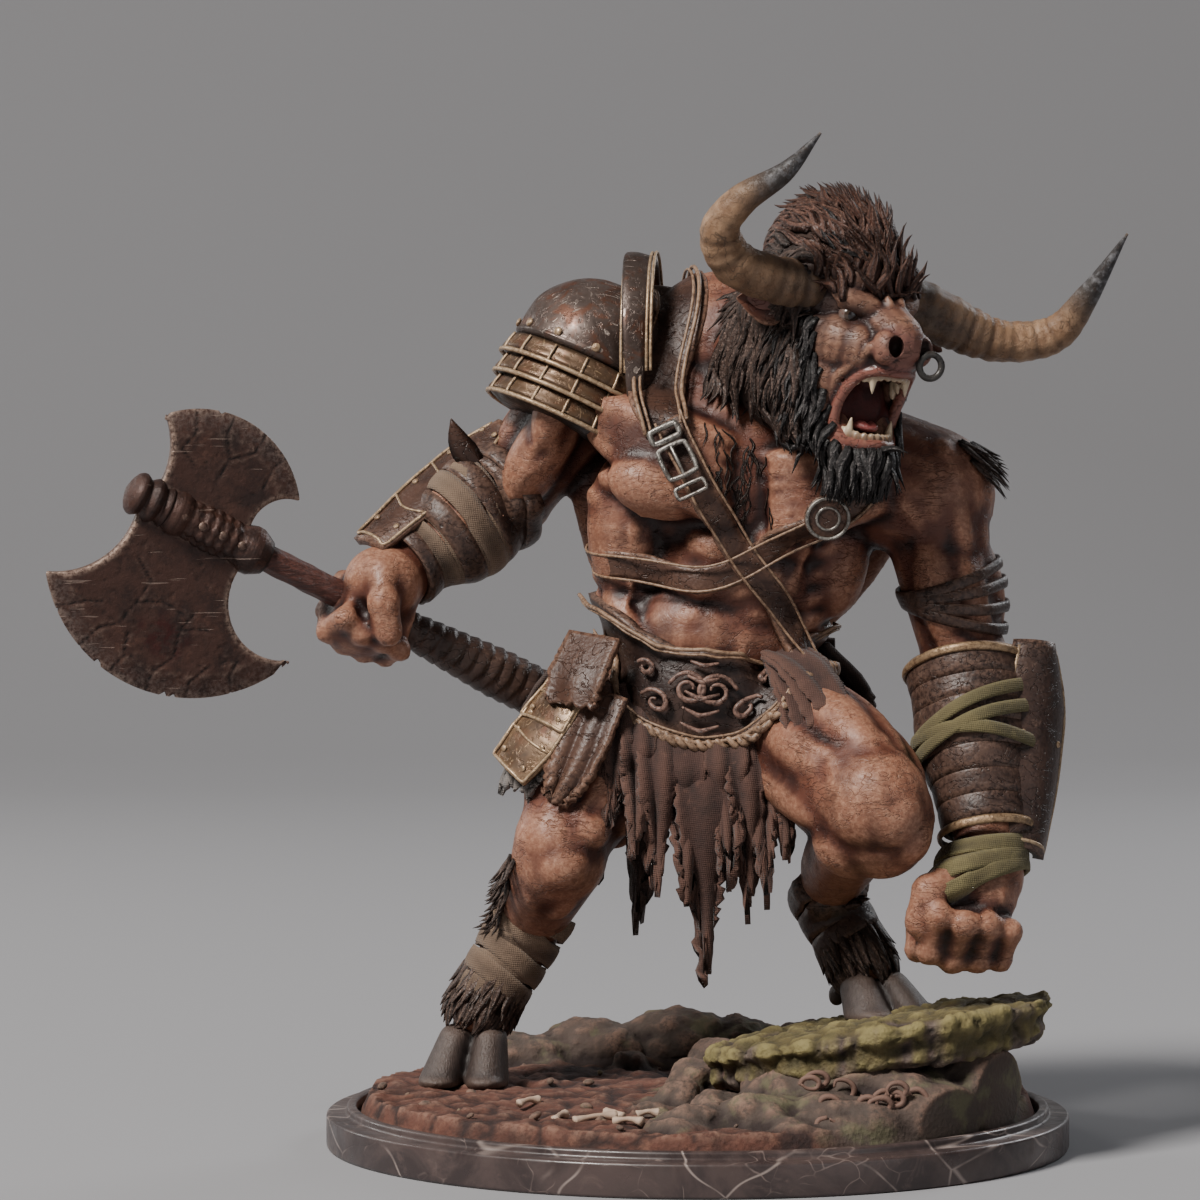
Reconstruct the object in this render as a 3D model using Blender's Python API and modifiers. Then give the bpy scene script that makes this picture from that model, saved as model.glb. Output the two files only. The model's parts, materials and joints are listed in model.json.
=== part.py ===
"""Minotaur miniature: a cast resin figure that grips a double axe, on groundwork set in a round plinth.

Units are metres, +Z is up, and the figure's chest faces -Y. The origin is the centre of the plinth's underside.
"""

import math
import random

import bmesh
import bpy
from mathutils import Matrix, Vector, noise
from mathutils.bvhtree import BVHTree

# Plinth: a turned disc with a rounded shoulder and a raised lip that holds the groundwork
PLINTH_RADIUS = 0.0400
PLINTH_HEIGHT = 0.0036
PLINTH_ROUNDING = 0.0007
LIP_RADIUS = 0.0378
LIP_WIDTH = 0.0011
LIP_HEIGHT = 0.0009
RECESS_DEPTH = 0.0006
PLINTH_SIDES = 48

# Clearance between pieces that rest on, sit in or pass through one another
CLEARANCE = 0.0003

# Groundwork
GROUND_HEIGHT = 0.0024

# Axe
HAFT_RADIUS = 0.00148
GRIP_RADIUS = 0.00215
POMMEL_RADIUS = 0.0026
SOCKET_RADIUS = 0.0023
BLADE_THICKNESS = 0.0013
BLADE_BEVEL = 0.00045
HAFT_SIDES = 14

# Figure: its form is a share of its height, from the lower sole to the tip of the raised horn
FIGURE_HEIGHT = 0.1010
UNITS_HIGH = 101.0
U = FIGURE_HEIGHT / UNITS_HIGH

SOLE_LEVEL = PLINTH_HEIGHT + GROUND_HEIGHT

# Mesh fineness
FLESH_VOXEL = 0.00050
FIGURE_VOXEL = 0.00042
GROUND_VOXEL = 0.00050
FIGURE_TRIANGLES = 6500
GROUND_TRIANGLES = 1150
GENTLE = 0.2

# Joints of the figure, in units, with z counted from the lower sole. R is the figure's own right side
PELVIS = Vector((-0.7, 4.5, 41.0))
WAIST = Vector((1.6, 2.5, 54.0))
CHEST = Vector((4.8, 1.5, 66.0))
NECK = Vector((8.0, 2.0, 77.0))
HEAD = Vector((15.0, -13.5, 82.0))
SHOULDER_R = Vector((-10.7, 4.0, 77.5))
ELBOW_R = Vector((-20.4, 9.0, 64.0))
WRIST_R = Vector((-31.2, 2.6, 56.6))
FIST_R = Vector((-35.0, 0.9, 51.2))
SHOULDER_L = Vector((24.6, -2.0, 64.0))
ELBOW_L = Vector((28.4, -4.0, 46.6))
WRIST_L = Vector((30.4, -12.0, 27.4))
FIST_L = Vector((27.6, -15.0, 19.6))
HIP_R = Vector((-7.0, 4.0, 40.0))
KNEE_R = Vector((-14.8, -6.0, 27.0))
HOCK_R = Vector((-18.3, 6.0, 17.0))
FETLOCK_R = Vector((-23.6, 4.5, 7.9))
HOOF_R = Vector((-25.2, 2.8, 0.0))
HIP_L = Vector((7.5, 3.0, 40.5))
KNEE_L = Vector((18.2, -17.0, 32.0))
HOCK_L = Vector((13.9, 5.5, 20.5))
FETLOCK_L = Vector((18.0, 2.4, 13.0))
HOOF_L = Vector((20.4, -0.4, 7.6))
HEADING_R = Vector((-0.1, -1.0, 0.0))
HEADING_L = Vector((0.35, -1.0, 0.0))

# The head's own frame: x forward along the muzzle, y to its left, z to its crown
HEAD_FORWARD = Vector((0.60, -0.79, -0.12))
HEAD_UP = Vector((0.08, 0.0, 1.0))

# The haft's line, from the knob to the butt behind the hip
HAFT_START = Vector((-58.6, -8.2, 63.7))
HAFT_END = Vector((-12.4, 10.6, 39.6))


# Shaping tools


def turned(axis, facing=(1.0, 0.0, 0.0)):
    """A rotation whose Z follows axis and whose X lies as near facing as it can."""
    z = Vector(axis).normalized()
    x = Vector(facing) - z * z.dot(Vector(facing))
    if x.length < 1e-6:
        x = z.orthogonal()
    x.normalize()
    return Matrix((x, z.cross(x), z)).transposed().to_4x4()


def ball(clay, centre, radii, axis=(0.0, 0.0, 1.0), facing=(1.0, 0.0, 0.0)):
    size = Matrix.Diagonal((*radii, 1.0))
    bmesh.ops.create_uvsphere(
        clay,
        u_segments=16,
        v_segments=10,
        radius=1.0,
        matrix=Matrix.Translation(centre) @ turned(axis, facing) @ size,
    )


def bone(clay, start, end, start_radius, end_radius):
    """A tapered rod with round ends."""
    start, end = Vector(start), Vector(end)
    axis = end - start
    bmesh.ops.create_cone(
        clay,
        cap_ends=True,
        segments=16,
        radius1=start_radius,
        radius2=end_radius,
        depth=axis.length,
        matrix=Matrix.Translation((start + end) / 2) @ turned(axis),
    )
    ball(clay, start, (start_radius,) * 3)
    ball(clay, end, (end_radius,) * 3)


def muscle(clay, start, end, width, depth, facing=(1.0, 0.0, 0.0)):
    """An egg from start to end, width across facing's direction and depth square to it."""
    start, end = Vector(start), Vector(end)
    radii = (width / 2, depth / 2, (end - start).length / 2)
    ball(clay, (start + end) / 2, radii, end - start, facing)


def smooth_path(points, steps):
    """Points spread evenly by parameter along the Catmull-Rom curve through the given ones."""
    points = [Vector(p) for p in points]
    ends = [2 * points[0] - points[1], *points, 2 * points[-1] - points[-2]]
    path = []
    for step in range(steps + 1):
        t = step / steps * (len(points) - 1)
        i = min(int(t), len(points) - 2)
        t -= i
        a, b, c, d = ends[i : i + 4]
        path.append(
            0.5
            * (
                2 * b
                + (c - a) * t
                + (2 * a - 5 * b + 4 * c - d) * t**2
                + (3 * b - a - 3 * c + d) * t**3
            )
        )
    return path


def along(values, share):
    """The value at a share of the way through a list, with straight runs between its entries."""
    t = share * (len(values) - 1)
    i = min(int(t), len(values) - 2)
    return values[i] + (values[i + 1] - values[i]) * (t - i)


def tube(clay, points, radii, steps=12, sides=8):
    """A round rod along a smooth path, closed at both ends."""
    path = smooth_path(points, steps)
    rings = []
    for i, point in enumerate(path):
        ahead = path[min(i + 1, steps)] - path[max(i - 1, 0)]
        frame = turned(ahead)
        radius = along(radii, i / steps)
        rings.append(
            [
                clay.verts.new(
                    point
                    + frame.to_3x3()
                    @ Vector((math.cos(a) * radius, math.sin(a) * radius, 0.0))
                )
                for a in (math.tau * k / sides for k in range(sides))
            ]
        )
    bridge(clay, rings, closed=False)


def bridge(clay, rings, closed):
    """Joins each ring of points to the next with quads, and caps an open row of rings."""
    count = len(rings)
    for i in range(count if closed else count - 1):
        a, b = rings[i], rings[(i + 1) % count]
        for k in range(len(a)):
            n = (k + 1) % len(a)
            clay.faces.new((a[k], a[n], b[n], b[k]))
    if not closed:
        clay.faces.new(rings[0][::-1])
        clay.faces.new(rings[-1])


def ribbon(clay, path, normals, widths, thickness, closed=False, sink=0.5):
    """A flat band along a path. Its outer face is thickness above the path, and its inner one sink below."""
    count = len(path)
    rings = []
    for i, (point, normal) in enumerate(zip(path, normals)):
        if closed:
            ahead = path[(i + 1) % count] - path[i - 1]
        else:
            ahead = path[min(i + 1, count - 1)] - path[max(i - 1, 0)]
        side = ahead.cross(normal).normalized()
        half = along(widths, i / max(count - 1, 1)) / 2
        corners = ((-1, -sink), (1, -sink), (1, thickness * 0.55), (0.8, thickness))
        corners += ((-0.8, thickness), (-1, thickness * 0.55))
        rings.append(
            [clay.verts.new(point + side * half * s + normal * h) for s, h in corners]
        )
    bridge(clay, rings, closed)


def strap(clay, skin, points, widths, thickness, steps=24):
    """A band laid on the surface of the flesh, near the given points."""
    path, normals = [], []
    for point in smooth_path(points, steps):
        near, normal, _, _ = skin.find_nearest(point)
        path.append(near)
        normals.append(normal)
    ribbon(clay, path, normals, widths, thickness)


def wrap(clay, skin, centre, axis, width, thickness, reach=16.0, sides=24):
    """A band all round a limb or the trunk, square to axis, lying on the surface of the flesh."""
    frame = turned(axis).to_3x3()
    path, normals = [], []
    for k in range(sides):
        angle = math.tau * k / sides
        outward = frame @ Vector((math.cos(angle), math.sin(angle), 0.0))
        hit, _, _, _ = skin.ray_cast(centre, outward, reach)
        path.append(hit if hit else centre + outward * reach)
        normals.append(outward)
    ribbon(clay, path, normals, [width, width], thickness, closed=True)


def sheet(clay, points, widths, thickness, facing=(0.0, -1.0, 0.0), steps=8):
    """A hanging strip of cloth along a smooth path, facing one way."""
    path = smooth_path(points, steps)
    ribbon(clay, path, [Vector(facing)] * len(path), widths, thickness / 2, sink=thickness / 2)


# The flesh


def trunk(clay):
    lean = CHEST - PELVIS
    ball(clay, PELVIS, (11.0, 8.5, 8.0))
    ball(clay, PELVIS.lerp(WAIST, 0.6), (11.0, 8.0, 9.0), lean)
    ball(clay, WAIST + Vector((0.4, 0.2, 2.0)), (12.2, 8.6, 8.0), lean)
    ball(clay, CHEST, (15.0, 11.0, 13.0), lean)
    ball(clay, Vector((3.8, 5.0, 79.0)), (10.5, 9.5, 9.5))
    bone(clay, SHOULDER_R, SHOULDER_L, 7.4, 7.6)
    bone(clay, NECK, HEAD + Vector((-2.0, 3.5, 0.5)), 9.5, 7.5)
    # chest muscles
    muscle(clay, (-11.0, -3.0, 72.0), (4.6, -8.2, 64.6), 11.5, 8.5, (0, 0, 1))
    muscle(clay, (21.0, -5.6, 64.6), (6.6, -9.0, 63.6), 11.5, 8.5, (0, 0, 1))
    # belly blocks, in rows down the mid line
    for row in range(3):
        middle = Vector((5.0 - 1.9 * row, -6.4 + 0.7 * row, 58.6 - 4.4 * row))
        for side in (-1, 1):
            ball(clay, middle + Vector((side * 3.5, 0.2, 0.3 * side)), (3.6, 2.6, 2.5))
    # flanks
    for row in range(4):
        ball(clay, (-8.2 - 0.5 * row, -2.6 + 0.8 * row, 63.0 - 3.4 * row), (3.8, 3.8, 1.9), (0.5, 0, 1))
        ball(clay, (15.4 - 1.1 * row, -3.4 + 0.8 * row, 59.8 - 3.2 * row), (3.6, 3.8, 1.8), (-0.4, 0, 1))
    # back: broad muscles under the arms, the blades and the two columns beside the spine
    muscle(clay, (-11.0, 7.0, 74.0), (-6.0, 7.0, 50.0), 12.0, 8.0, (0, 1, 0))
    muscle(clay, (23.0, 4.0, 64.0), (9.5, 6.5, 49.0), 12.0, 8.0, (0, 1, 0))
    ball(clay, (-4.5, 11.0, 74.0), (6.5, 3.6, 6.0))
    ball(clay, (14.0, 9.0, 68.0), (6.5, 3.6, 6.0))
    for side in (-1, 1):
        muscle(clay, (7.5 + 3.2 * side, 11.5, 74.0), (0.4 + 3.2 * side, 10.0, 44.0), 5.5, 5.0)
    ball(clay, (-6.4, 10.2, 40.0), (6.4, 6.0, 7.0))
    ball(clay, (6.2, 9.6, 40.6), (6.4, 6.0, 7.0))


def right_arm(clay):
    bone(clay, SHOULDER_R, ELBOW_R, 6.4, 5.4)
    ball(clay, SHOULDER_R + Vector((-2.6, -0.6, 0.4)), (7.2, 7.4, 7.4))
    muscle(clay, (-12.6, 0.0, 75.0), (-20.6, 4.4, 63.0), 8.6, 8.0)
    muscle(clay, (-13.6, 8.4, 76.0), (-23.0, 11.0, 64.0), 8.6, 8.0)
    bone(clay, ELBOW_R, WRIST_R, 6.2, 4.0)
    muscle(clay, ELBOW_R + Vector((-1.2, -2.0, 3.2)), (-29.0, 1.6, 59.0), 8.6, 8.6)
    muscle(clay, ELBOW_R + Vector((0.4, -1.0, -3.0)), (-28.0, 2.4, 56.4), 8.4, 8.4)


def left_arm(clay):
    bone(clay, SHOULDER_L, ELBOW_L, 6.2, 4.8)
    ball(clay, SHOULDER_L + Vector((0.8, -0.4, -0.6)), (6.6, 7.0, 7.4))
    muscle(clay, (24.4, -5.2, 61.5), (28.0, -7.2, 47.6), 8.8, 8.0)
    muscle(clay, (27.6, 1.0, 62.0), (30.4, -0.6, 48.0), 8.6, 8.0)
    bone(clay, ELBOW_L, WRIST_L, 5.0, 3.9)
    muscle(clay, (31.4, -3.6, 46.6), (32.4, -9.6, 30.0), 8.0, 8.0)
    muscle(clay, (26.6, -4.6, 45.6), (28.4, -10.0, 30.6), 7.0, 8.0)


def right_leg(clay):
    bone(clay, HIP_R, KNEE_R, 8.6, 5.6)
    muscle(clay, (-11.5, 1.0, 42.0), (-16.8, -7.4, 28.4), 8.6, 8.0)
    muscle(clay, (-6.0, -1.5, 41.0), (-9.8, -7.6, 27.8), 8.8, 8.0)
    muscle(clay, (-7.5, 8.6, 40.0), (-15.0, 2.5, 25.5), 9.0, 8.0)
    ball(clay, KNEE_R + Vector((-0.6, -3.2, -2.4)), (3.6, 2.8, 3.4))
    bone(clay, KNEE_R + Vector((0.0, 0.4, -1.5)), HOCK_R, 5.6, 4.0)
    muscle(clay, KNEE_R + Vector((1.0, 6.0, -0.5)), HOCK_R + Vector((1.2, 1.4, 1.5)), 7.6, 7.4)
    bone(clay, HOCK_R, FETLOCK_R, 4.0, 3.4)


def left_leg(clay):
    bone(clay, HIP_L, KNEE_L, 8.8, 6.2)
    muscle(clay, (7.5, 0.0, 44.5), (18.6, -18.6, 35.6), 8.6, 8.6)
    muscle(clay, (13.0, 3.0, 41.0), (22.6, -15.4, 33.0), 8.8, 8.4)
    muscle(clay, (5.6, -2.5, 39.0), (14.6, -18.2, 30.0), 8.6, 8.0)
    muscle(clay, (8.6, 8.0, 38.0), (19.6, -10.0, 27.0), 9.0, 8.4)
    ball(clay, KNEE_L + Vector((2.2, -3.0, -3.0)), (4.0, 3.4, 4.2))
    bone(clay, KNEE_L + Vector((-0.6, 2.5, -1.4)), HOCK_L, 5.2, 3.4)
    muscle(clay, KNEE_L + Vector((-2.4, 6.0, -3.0)), HOCK_L + Vector((-0.2, 1.6, 0.6)), 7.8, 7.6)
    bone(clay, HOCK_L, FETLOCK_L, 3.7, 3.4)


def hoof(clay, fetlock, sole, heading):
    """Two horny toes side by side below the fetlock, flat on the ground, pointing along heading."""
    across = heading.normalized().cross(Vector((0, 0, 1)))
    height = fetlock.z - sole.z - 1.4
    for side in (-1, 1):
        foot = sole + across * side * 2.75 + Vector((0, 0, height / 2))
        top_shift = (fetlock - sole) * 0.35
        size = Matrix.Diagonal((0.62, 1.0, 1.0, 1.0))
        shape = bmesh.ops.create_cone(
            clay,
            cap_ends=True,
            segments=16,
            radius1=4.3,
            radius2=3.5,
            depth=height,
            matrix=Matrix.Translation(foot) @ turned((0, 0, 1), across) @ size,
        )
        for vert in shape["verts"]:
            if vert.co.z > foot.z:
                vert.co += Vector((top_shift.x, top_shift.y, 0.0)) * 0.9


def fist(clay, centre, grip, knuckles, size, thumb):
    """A closed hand. grip runs along the row of fingers, knuckles points from the palm to them."""
    grip = Vector(grip).normalized()
    knuckles = (Vector(knuckles) - grip * grip.dot(Vector(knuckles))).normalized()
    inward = grip.cross(knuckles)
    palm = Vector((3.1, 3.0, 4.1)) * size
    ball(clay, centre + knuckles * 0.4, palm, grip, knuckles)
    for finger in range(4):
        middle = centre + grip * (finger - 1.5) * 1.95 * size
        thick = (1.22 - 0.05 * abs(finger - 1.2)) * size
        joints = [
            middle + (knuckles * math.cos(a) + inward * math.sin(a)) * 3.1 * size
            for a in (-0.9, 0.15, 1.15, 2.2)
        ]
        for start, end in zip(joints, joints[1:]):
            bone(clay, start, end, thick, thick * 0.94)
    for start, end in zip(thumb, thumb[1:]):
        bone(clay, start, end, 1.45 * size, 1.3 * size)


def hands(clay):
    haft = HAFT_END - HAFT_START
    bone(clay, WRIST_R, FIST_R + Vector((0.8, 0.3, 2.0)), 3.9, 4.2)
    thumb_r = ((-34.0, -2.6, 55.6), (-33.2, -4.9, 52.0), (-32.8, -4.4, 48.2))
    fist(clay, FIST_R, haft, (-0.55, -0.1, -0.8), 1.2, thumb_r)
    bone(clay, WRIST_L, FIST_L + Vector((1.6, 0.8, 2.6)), 3.9, 4.4)
    thumb_l = ((26.0, -17.6, 23.4), (23.6, -19.0, 21.4), (22.6, -19.4, 18.8))
    fist(clay, FIST_L, (0.95, 0.2, -0.12), (-0.15, -0.6, -0.85), 1.3, thumb_l)


def head_frame():
    forward = HEAD_FORWARD.normalized()
    left = HEAD_UP.cross(forward).normalized()
    up = forward.cross(left)
    return Matrix.Translation(HEAD) @ Matrix((forward, left, up)).transposed().to_4x4()


def head(clay):
    """The head is modelled in its own frame, then set in place."""
    face = bmesh.new()
    ball(face, Vector((-1.6, 0.0, 2.4)), (7.2, 6.2, 6.6))
    ball(face, Vector((4.4, 0.0, 3.0)), (2.6, 5.0, 2.0))
    bone(face, (4.2, 0.0, 0.6), (8.6, 0.0, -2.2), 2.9, 2.7)
    ball(face, Vector((7.2, 0.0, -3.6)), (3.8, 4.0, 2.5))
    ball(face, Vector((10.1, 0.0, -2.4)), (1.7, 3.0, 1.8))
    ball(face, Vector((8.6, 0.0, -5.2)), (2.5, 3.6, 1.2))
    ball(face, Vector((6.2, 0.0, -12.2)), (3.0, 2.9, 1.8))
    for side in (-1, 1):
        muscle(face, (6.6, 0.9 * side, 1.4), (4.0, 5.8 * side, 3.6), 2.4, 2.4)
        ball(face, Vector((3.6, 4.3 * side, -1.8)), (3.0, 2.3, 2.8))
        bone(face, (-2.0, 4.2 * side, -3.2), (5.6, 2.5 * side, -12.0), 2.7, 2.0)
        muscle(face, (3.6, 4.4 * side, -3.2), (3.4, 3.9 * side, -10.8), 3.0, 3.2)
        muscle(face, (10.0, 2.3 * side, -1.2), (10.2, 2.6 * side, -4.4), 1.9, 1.8)
        tube(face, ((8.8, 1.9 * side, -5.4), (9.2, 2.0 * side, -7.6)), (0.7, 0.2), steps=4, sides=6)
    face.transform(head_frame())
    spare = bpy.data.meshes.new("face")
    face.to_mesh(spare)
    face.free()
    clay.from_mesh(spare)
    bpy.data.meshes.remove(spare)


def flesh(clay):
    trunk(clay)
    right_arm(clay)
    left_arm(clay)
    right_leg(clay)
    left_leg(clay)
    hands(clay)
    head(clay)


# Horns and hair

RIGHT_HORN = (
    ((15.0, -13.0, 86.6), (11.6, -16.4, 86.0), (7.6, -18.8, 86.3), (3.3, -21.2, 88.0), (1.8, -23.4, 91.2),
     (4.0, -25.0, 94.2), (8.4, -26.5, 97.0), (11.9, -28.0, 100.8)),
    (2.8, 2.7, 2.5, 2.3, 2.05, 1.6, 0.95, 0.2),
)
LEFT_HORN = (
    ((19.0, -12.0, 85.6), (25.6, -9.0, 82.6), (31.6, -6.8, 80.4), (37.6, -6.4, 81.0),
     (41.0, -8.6, 85.0), (44.8, -12.4, 91.4)),
    (3.0, 2.8, 2.3, 1.9, 1.3, 0.2),
)
MANE_SEED = 11
MANE_ROWS = 7
MANE_LOCKS = 9
BEARD_LOCKS = 13


def horns(clay):
    for points, radii in (RIGHT_HORN, LEFT_HORN):
        tube(clay, points, radii, steps=20, sides=10)


def lock(clay, root, tip, bow, radius):
    """A pointed lock of hair from root to tip that bows out between them."""
    middle = (root + tip) / 2 + bow
    tube(clay, (root, middle, tip), (radius * 0.7, radius, radius * 0.8, 0.18), steps=7, sides=6)


def crest(clay, frame, dice):
    """The crown of hair, combed back from the brow in three ranks."""
    turn = frame.to_3x3()
    ball(clay, frame @ Vector((-4.0, 0.0, 7.0)), (6.4, 4.8, 4.6), turn @ Vector((0, 0, 1)), turn @ Vector((1, 0, 0)))
    for row in range(9):
        share = row / 8
        angle = math.radians(22 + 122 * share)
        spine = Vector((7.6 * math.cos(angle) - 1.6, 0.0, 3.6 + 7.6 * math.sin(angle)))
        for side in (-1, 0, 1):
            root = spine + Vector((0.0, 2.5 * side, -0.9 * abs(side)))
            tip = root + Vector((-3.6, 0.8 * side + dice.uniform(-0.4, 0.4), 2.2 - 3.2 * share))
            lock(clay, frame @ root, frame @ tip, turn @ Vector((0.4, 0, 1.0)), 1.35)


def mane(clay, frame, dice):
    """Locks in rows from behind the face, down the neck to the chest and the back."""
    turn = frame.to_3x3()
    for row in range(MANE_ROWS):
        back = row / (MANE_ROWS - 1)
        for k in range(MANE_LOCKS):
            angle = math.radians(-128 + 256 * k / (MANE_LOCKS - 1))
            side = math.sin(angle)
            if row < 2 and abs(side) < 0.45 and math.cos(angle) > 0:
                continue
            root = frame @ Vector((0.5 - 12.5 * back, 6.8 * side, 4.2 * math.cos(angle) + 1.2 - 2.4 * back))
            stray = Vector([dice.uniform(-1, 1) for _ in range(3)])
            fall = Vector((-1.6 + 1.2 * side, 0.8, -6.0 - 4.5 * abs(side)))
            lock(clay, root, root + fall + stray, turn @ Vector((0.0, 1.3 * side, 1.0)), 1.6)


def beard(clay, frame):
    """Hair along the jaw, and the longer hair that falls to the chest beside the near cheek."""
    turn = frame.to_3x3()
    for k in range(BEARD_LOCKS):
        share = k / (BEARD_LOCKS - 1) * 2 - 1
        root = frame @ Vector((7.0 - 7.0 * share**2, 4.6 * share, -12.6 + 3.4 * share**2))
        fall = Vector((-1.2 + 0.8 * share, -0.6, -7.0 + 2.6 * abs(share)))
        lock(clay, root, root + fall, turn @ Vector((0.9, 0.6 * share, 0.0)), 1.2)
    for k in range(8):
        share = k / 7
        root = frame @ Vector((0.4 - 4.0 * share, -6.0, -3.4 - 2.0 * share))
        tip = root + Vector((-1.6 - 2.4 * share, 0.8 - 1.0 * share, -10.0 + 3.0 * share))
        lock(clay, root, tip, turn @ Vector((0.4, -1.4, 0.0)), 1.4)


def hair(clay):
    frame = head_frame()
    dice = random.Random(MANE_SEED)
    crest(clay, frame, dice)
    mane(clay, frame, dice)
    beard(clay, frame)
    for side, tip in ((-1, (4.4, -15.4, 84.0)), (1, (24.6, -5.0, 79.4))):
        root = frame @ Vector((-2.6, 5.0 * side, 1.2))
        tube(clay, (root, root.lerp(Vector(tip), 0.5), Vector(tip)), (1.2, 1.9, 1.2, 0.3), steps=7)


def fur_cuff(clay, centre, axis, radius, length, count, thickness=1.0):
    """A ring of short pointed tufts round a leg, hanging along axis."""
    frame = turned(axis).to_3x3()
    down = Vector(axis).normalized()
    for k in range(count):
        angle = math.tau * k / count
        outward = frame @ Vector((math.cos(angle), math.sin(angle), 0.0))
        reach = length * (1.0 + 0.22 * math.sin(5.0 * k))
        root = centre + outward * (radius - 0.5)
        tip = centre + outward * (radius + 0.9) + down * reach
        lock(clay, root - down * 0.8, tip, outward * 0.9, thickness)


def leg_fur(clay):
    for fetlock, hock in ((FETLOCK_R, HOCK_R), (FETLOCK_L, HOCK_L)):
        down = (fetlock - hock).normalized()
        fur_cuff(clay, fetlock - down * 2.4, down, 3.7, 4.4, 16, 1.15)
    # tufts behind and beside the near knee
    for k in range(7):
        share = k / 6
        root = KNEE_R.lerp(HOCK_R, 0.15 + 0.75 * share) + Vector((-4.6 + 0.6 * share, 0.5 - 2.0 * share, 0.6))
        lock(clay, root, root + Vector((-2.2, 0.6, -2.4)), Vector((-0.6, 0, 0.4)), 1.2)
    # tufts on the bare shoulder
    for k in range(12):
        angle = math.radians(-70 + 23 * (k % 6))
        high = 1.0 if k < 6 else -1.6
        root = SHOULDER_L + Vector((0.6 + 4.2 * math.cos(angle), 5.0 * math.sin(angle), 4.6 + high))
        fall = Vector((2.0, 0.6 * math.sin(angle), -2.2 + 0.7 * high))
        lock(clay, root, root + fall, Vector((0.3, 0, 0.6)), 1.1)


# Armour, leather and cloth


def pauldron(clay):
    """A domed shoulder plate over lames, with an upright guard at the neck side."""
    middle = Vector((-11.4, 2.6, 78.6))
    down_arm = Vector((-0.42, -0.1, -0.9))
    ball(clay, middle, (8.5, 8.4, 8.6), down_arm)
    for row in range(3):
        centre = middle + down_arm * (1.4 + 1.8 * row)
        ball(clay, centre, (8.3 - 0.4 * row, 8.2 - 0.4 * row, 5.6), down_arm)
    outward = Vector((0.97, -0.22, 0.1))
    inner = middle + Vector((4.6, 0.0, 0.2))
    guard = [
        inner + Vector((0.8 + 0.8 * math.cos(a), 9.0 * math.cos(a), -0.8 + 12.0 * math.sin(a)))
        for a in (math.radians(d) for d in range(-20, 201, 20))
    ]
    ribbon(clay, guard, [(p - inner + outward * 8).normalized() for p in guard], [2.0, 3.4, 3.4, 2.0], 0.8)
    ball(clay, inner, (1.4, 8.8, 11.0), outward, (1, 0, 0))


def harness(clay, skin):
    """The shoulder belt with its broad upper part, the chest strap and their buckle and ring."""
    shoulder_belt = (
        (-2.0, 14.0, 70.0), (-3.2, 8.0, 86.0), (-3.0, -2.0, 87.0), (-4.4, -8.0, 78.0), (-3.4, -10.0, 71.0),
    )
    strap(clay, skin, shoulder_belt, [5.0, 6.4, 6.4, 6.2, 5.0], 1.2, steps=18)
    lower_belt = ((-3.4, -10.0, 72.0), (-1.0, -12.0, 67.0), (3.0, -12.0, 60.0), (8.0, -10.0, 53.0), (12.6, -7.0, 48.0))
    strap(clay, skin, lower_belt, [3.2, 3.2], 1.1)
    chest_strap = (
        (-12.0, 4.0, 57.0), (-10.0, -4.0, 56.6), (-4.0, -9.0, 55.4), (1.6, -10.0, 55.0), (7.0, -11.0, 57.4),
        (13.0, -11.0, 61.0), (19.0, -7.0, 66.0), (20.0, 0.0, 72.0), (15.0, 9.0, 74.0),
    )
    strap(clay, skin, chest_strap, [3.0, 3.0], 1.0, steps=30)
    back_strap = ((15.0, 9.0, 74.0), (8.0, 14.0, 68.0), (-2.0, 13.0, 60.0), (-10.0, 8.0, 56.6), (-12.0, 4.0, 57.0))
    strap(clay, skin, back_strap, [3.0, 3.0], 1.0)
    back_belt = ((-2.0, 14.0, 72.0), (3.0, 14.0, 64.0), (9.0, 11.0, 54.0), (12.6, 4.0, 48.0), (12.6, -7.0, 48.0))
    strap(clay, skin, back_belt, [3.4, 3.2], 1.0)
    buckle, normal, _, _ = skin.find_nearest(Vector((-2.2, -12.0, 68.0)))
    ball(clay, buckle + normal * 0.8, (2.3, 2.6, 0.9), normal, (1, 0, 0))
    ring, normal, _, _ = skin.find_nearest(Vector((13.4, -13.0, 61.4)))
    ball(clay, ring + normal * 0.8, (2.8, 2.8, 0.9), normal, (1, 0, 0))


BELT_FRONT = (
    (-13.0, 3.0, 50.0), (-11.6, -5.0, 47.6), (-6.6, -9.0, 44.6), (0.2, -10.0, 42.6), (7.0, -8.6, 43.4),
    (12.0, -3.0, 46.4), (12.8, 4.0, 48.6),
)


def belt(clay, skin):
    """A girdle that is deep in front and narrow behind, with a corded lower edge."""
    strap(clay, skin, BELT_FRONT, [5.0, 6.2, 8.4, 10.4, 8.6, 6.0, 5.0], 1.3, steps=26)
    behind = ((12.8, 4.0, 48.6), (8.0, 12.0, 48.0), (0.0, 13.0, 47.0), (-8.0, 11.0, 48.0), (-13.0, 3.0, 50.0))
    strap(clay, skin, behind, [5.0, 5.0], 1.1)
    cord = [
        skin.find_nearest(Vector(p))[0]
        for p in ((-13.0, -1.0, 47.0), (-9.0, -7.0, 43.0), (-3.6, -10.0, 38.6), (0.6, -10.5, 37.0),
                  (6.0, -9.6, 38.4), (11.6, -6.0, 43.0))
    ]
    tube(clay, [p + Vector((0.0, -1.2, 0.0)) for p in cord], [0.8, 0.8], steps=20)


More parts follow.
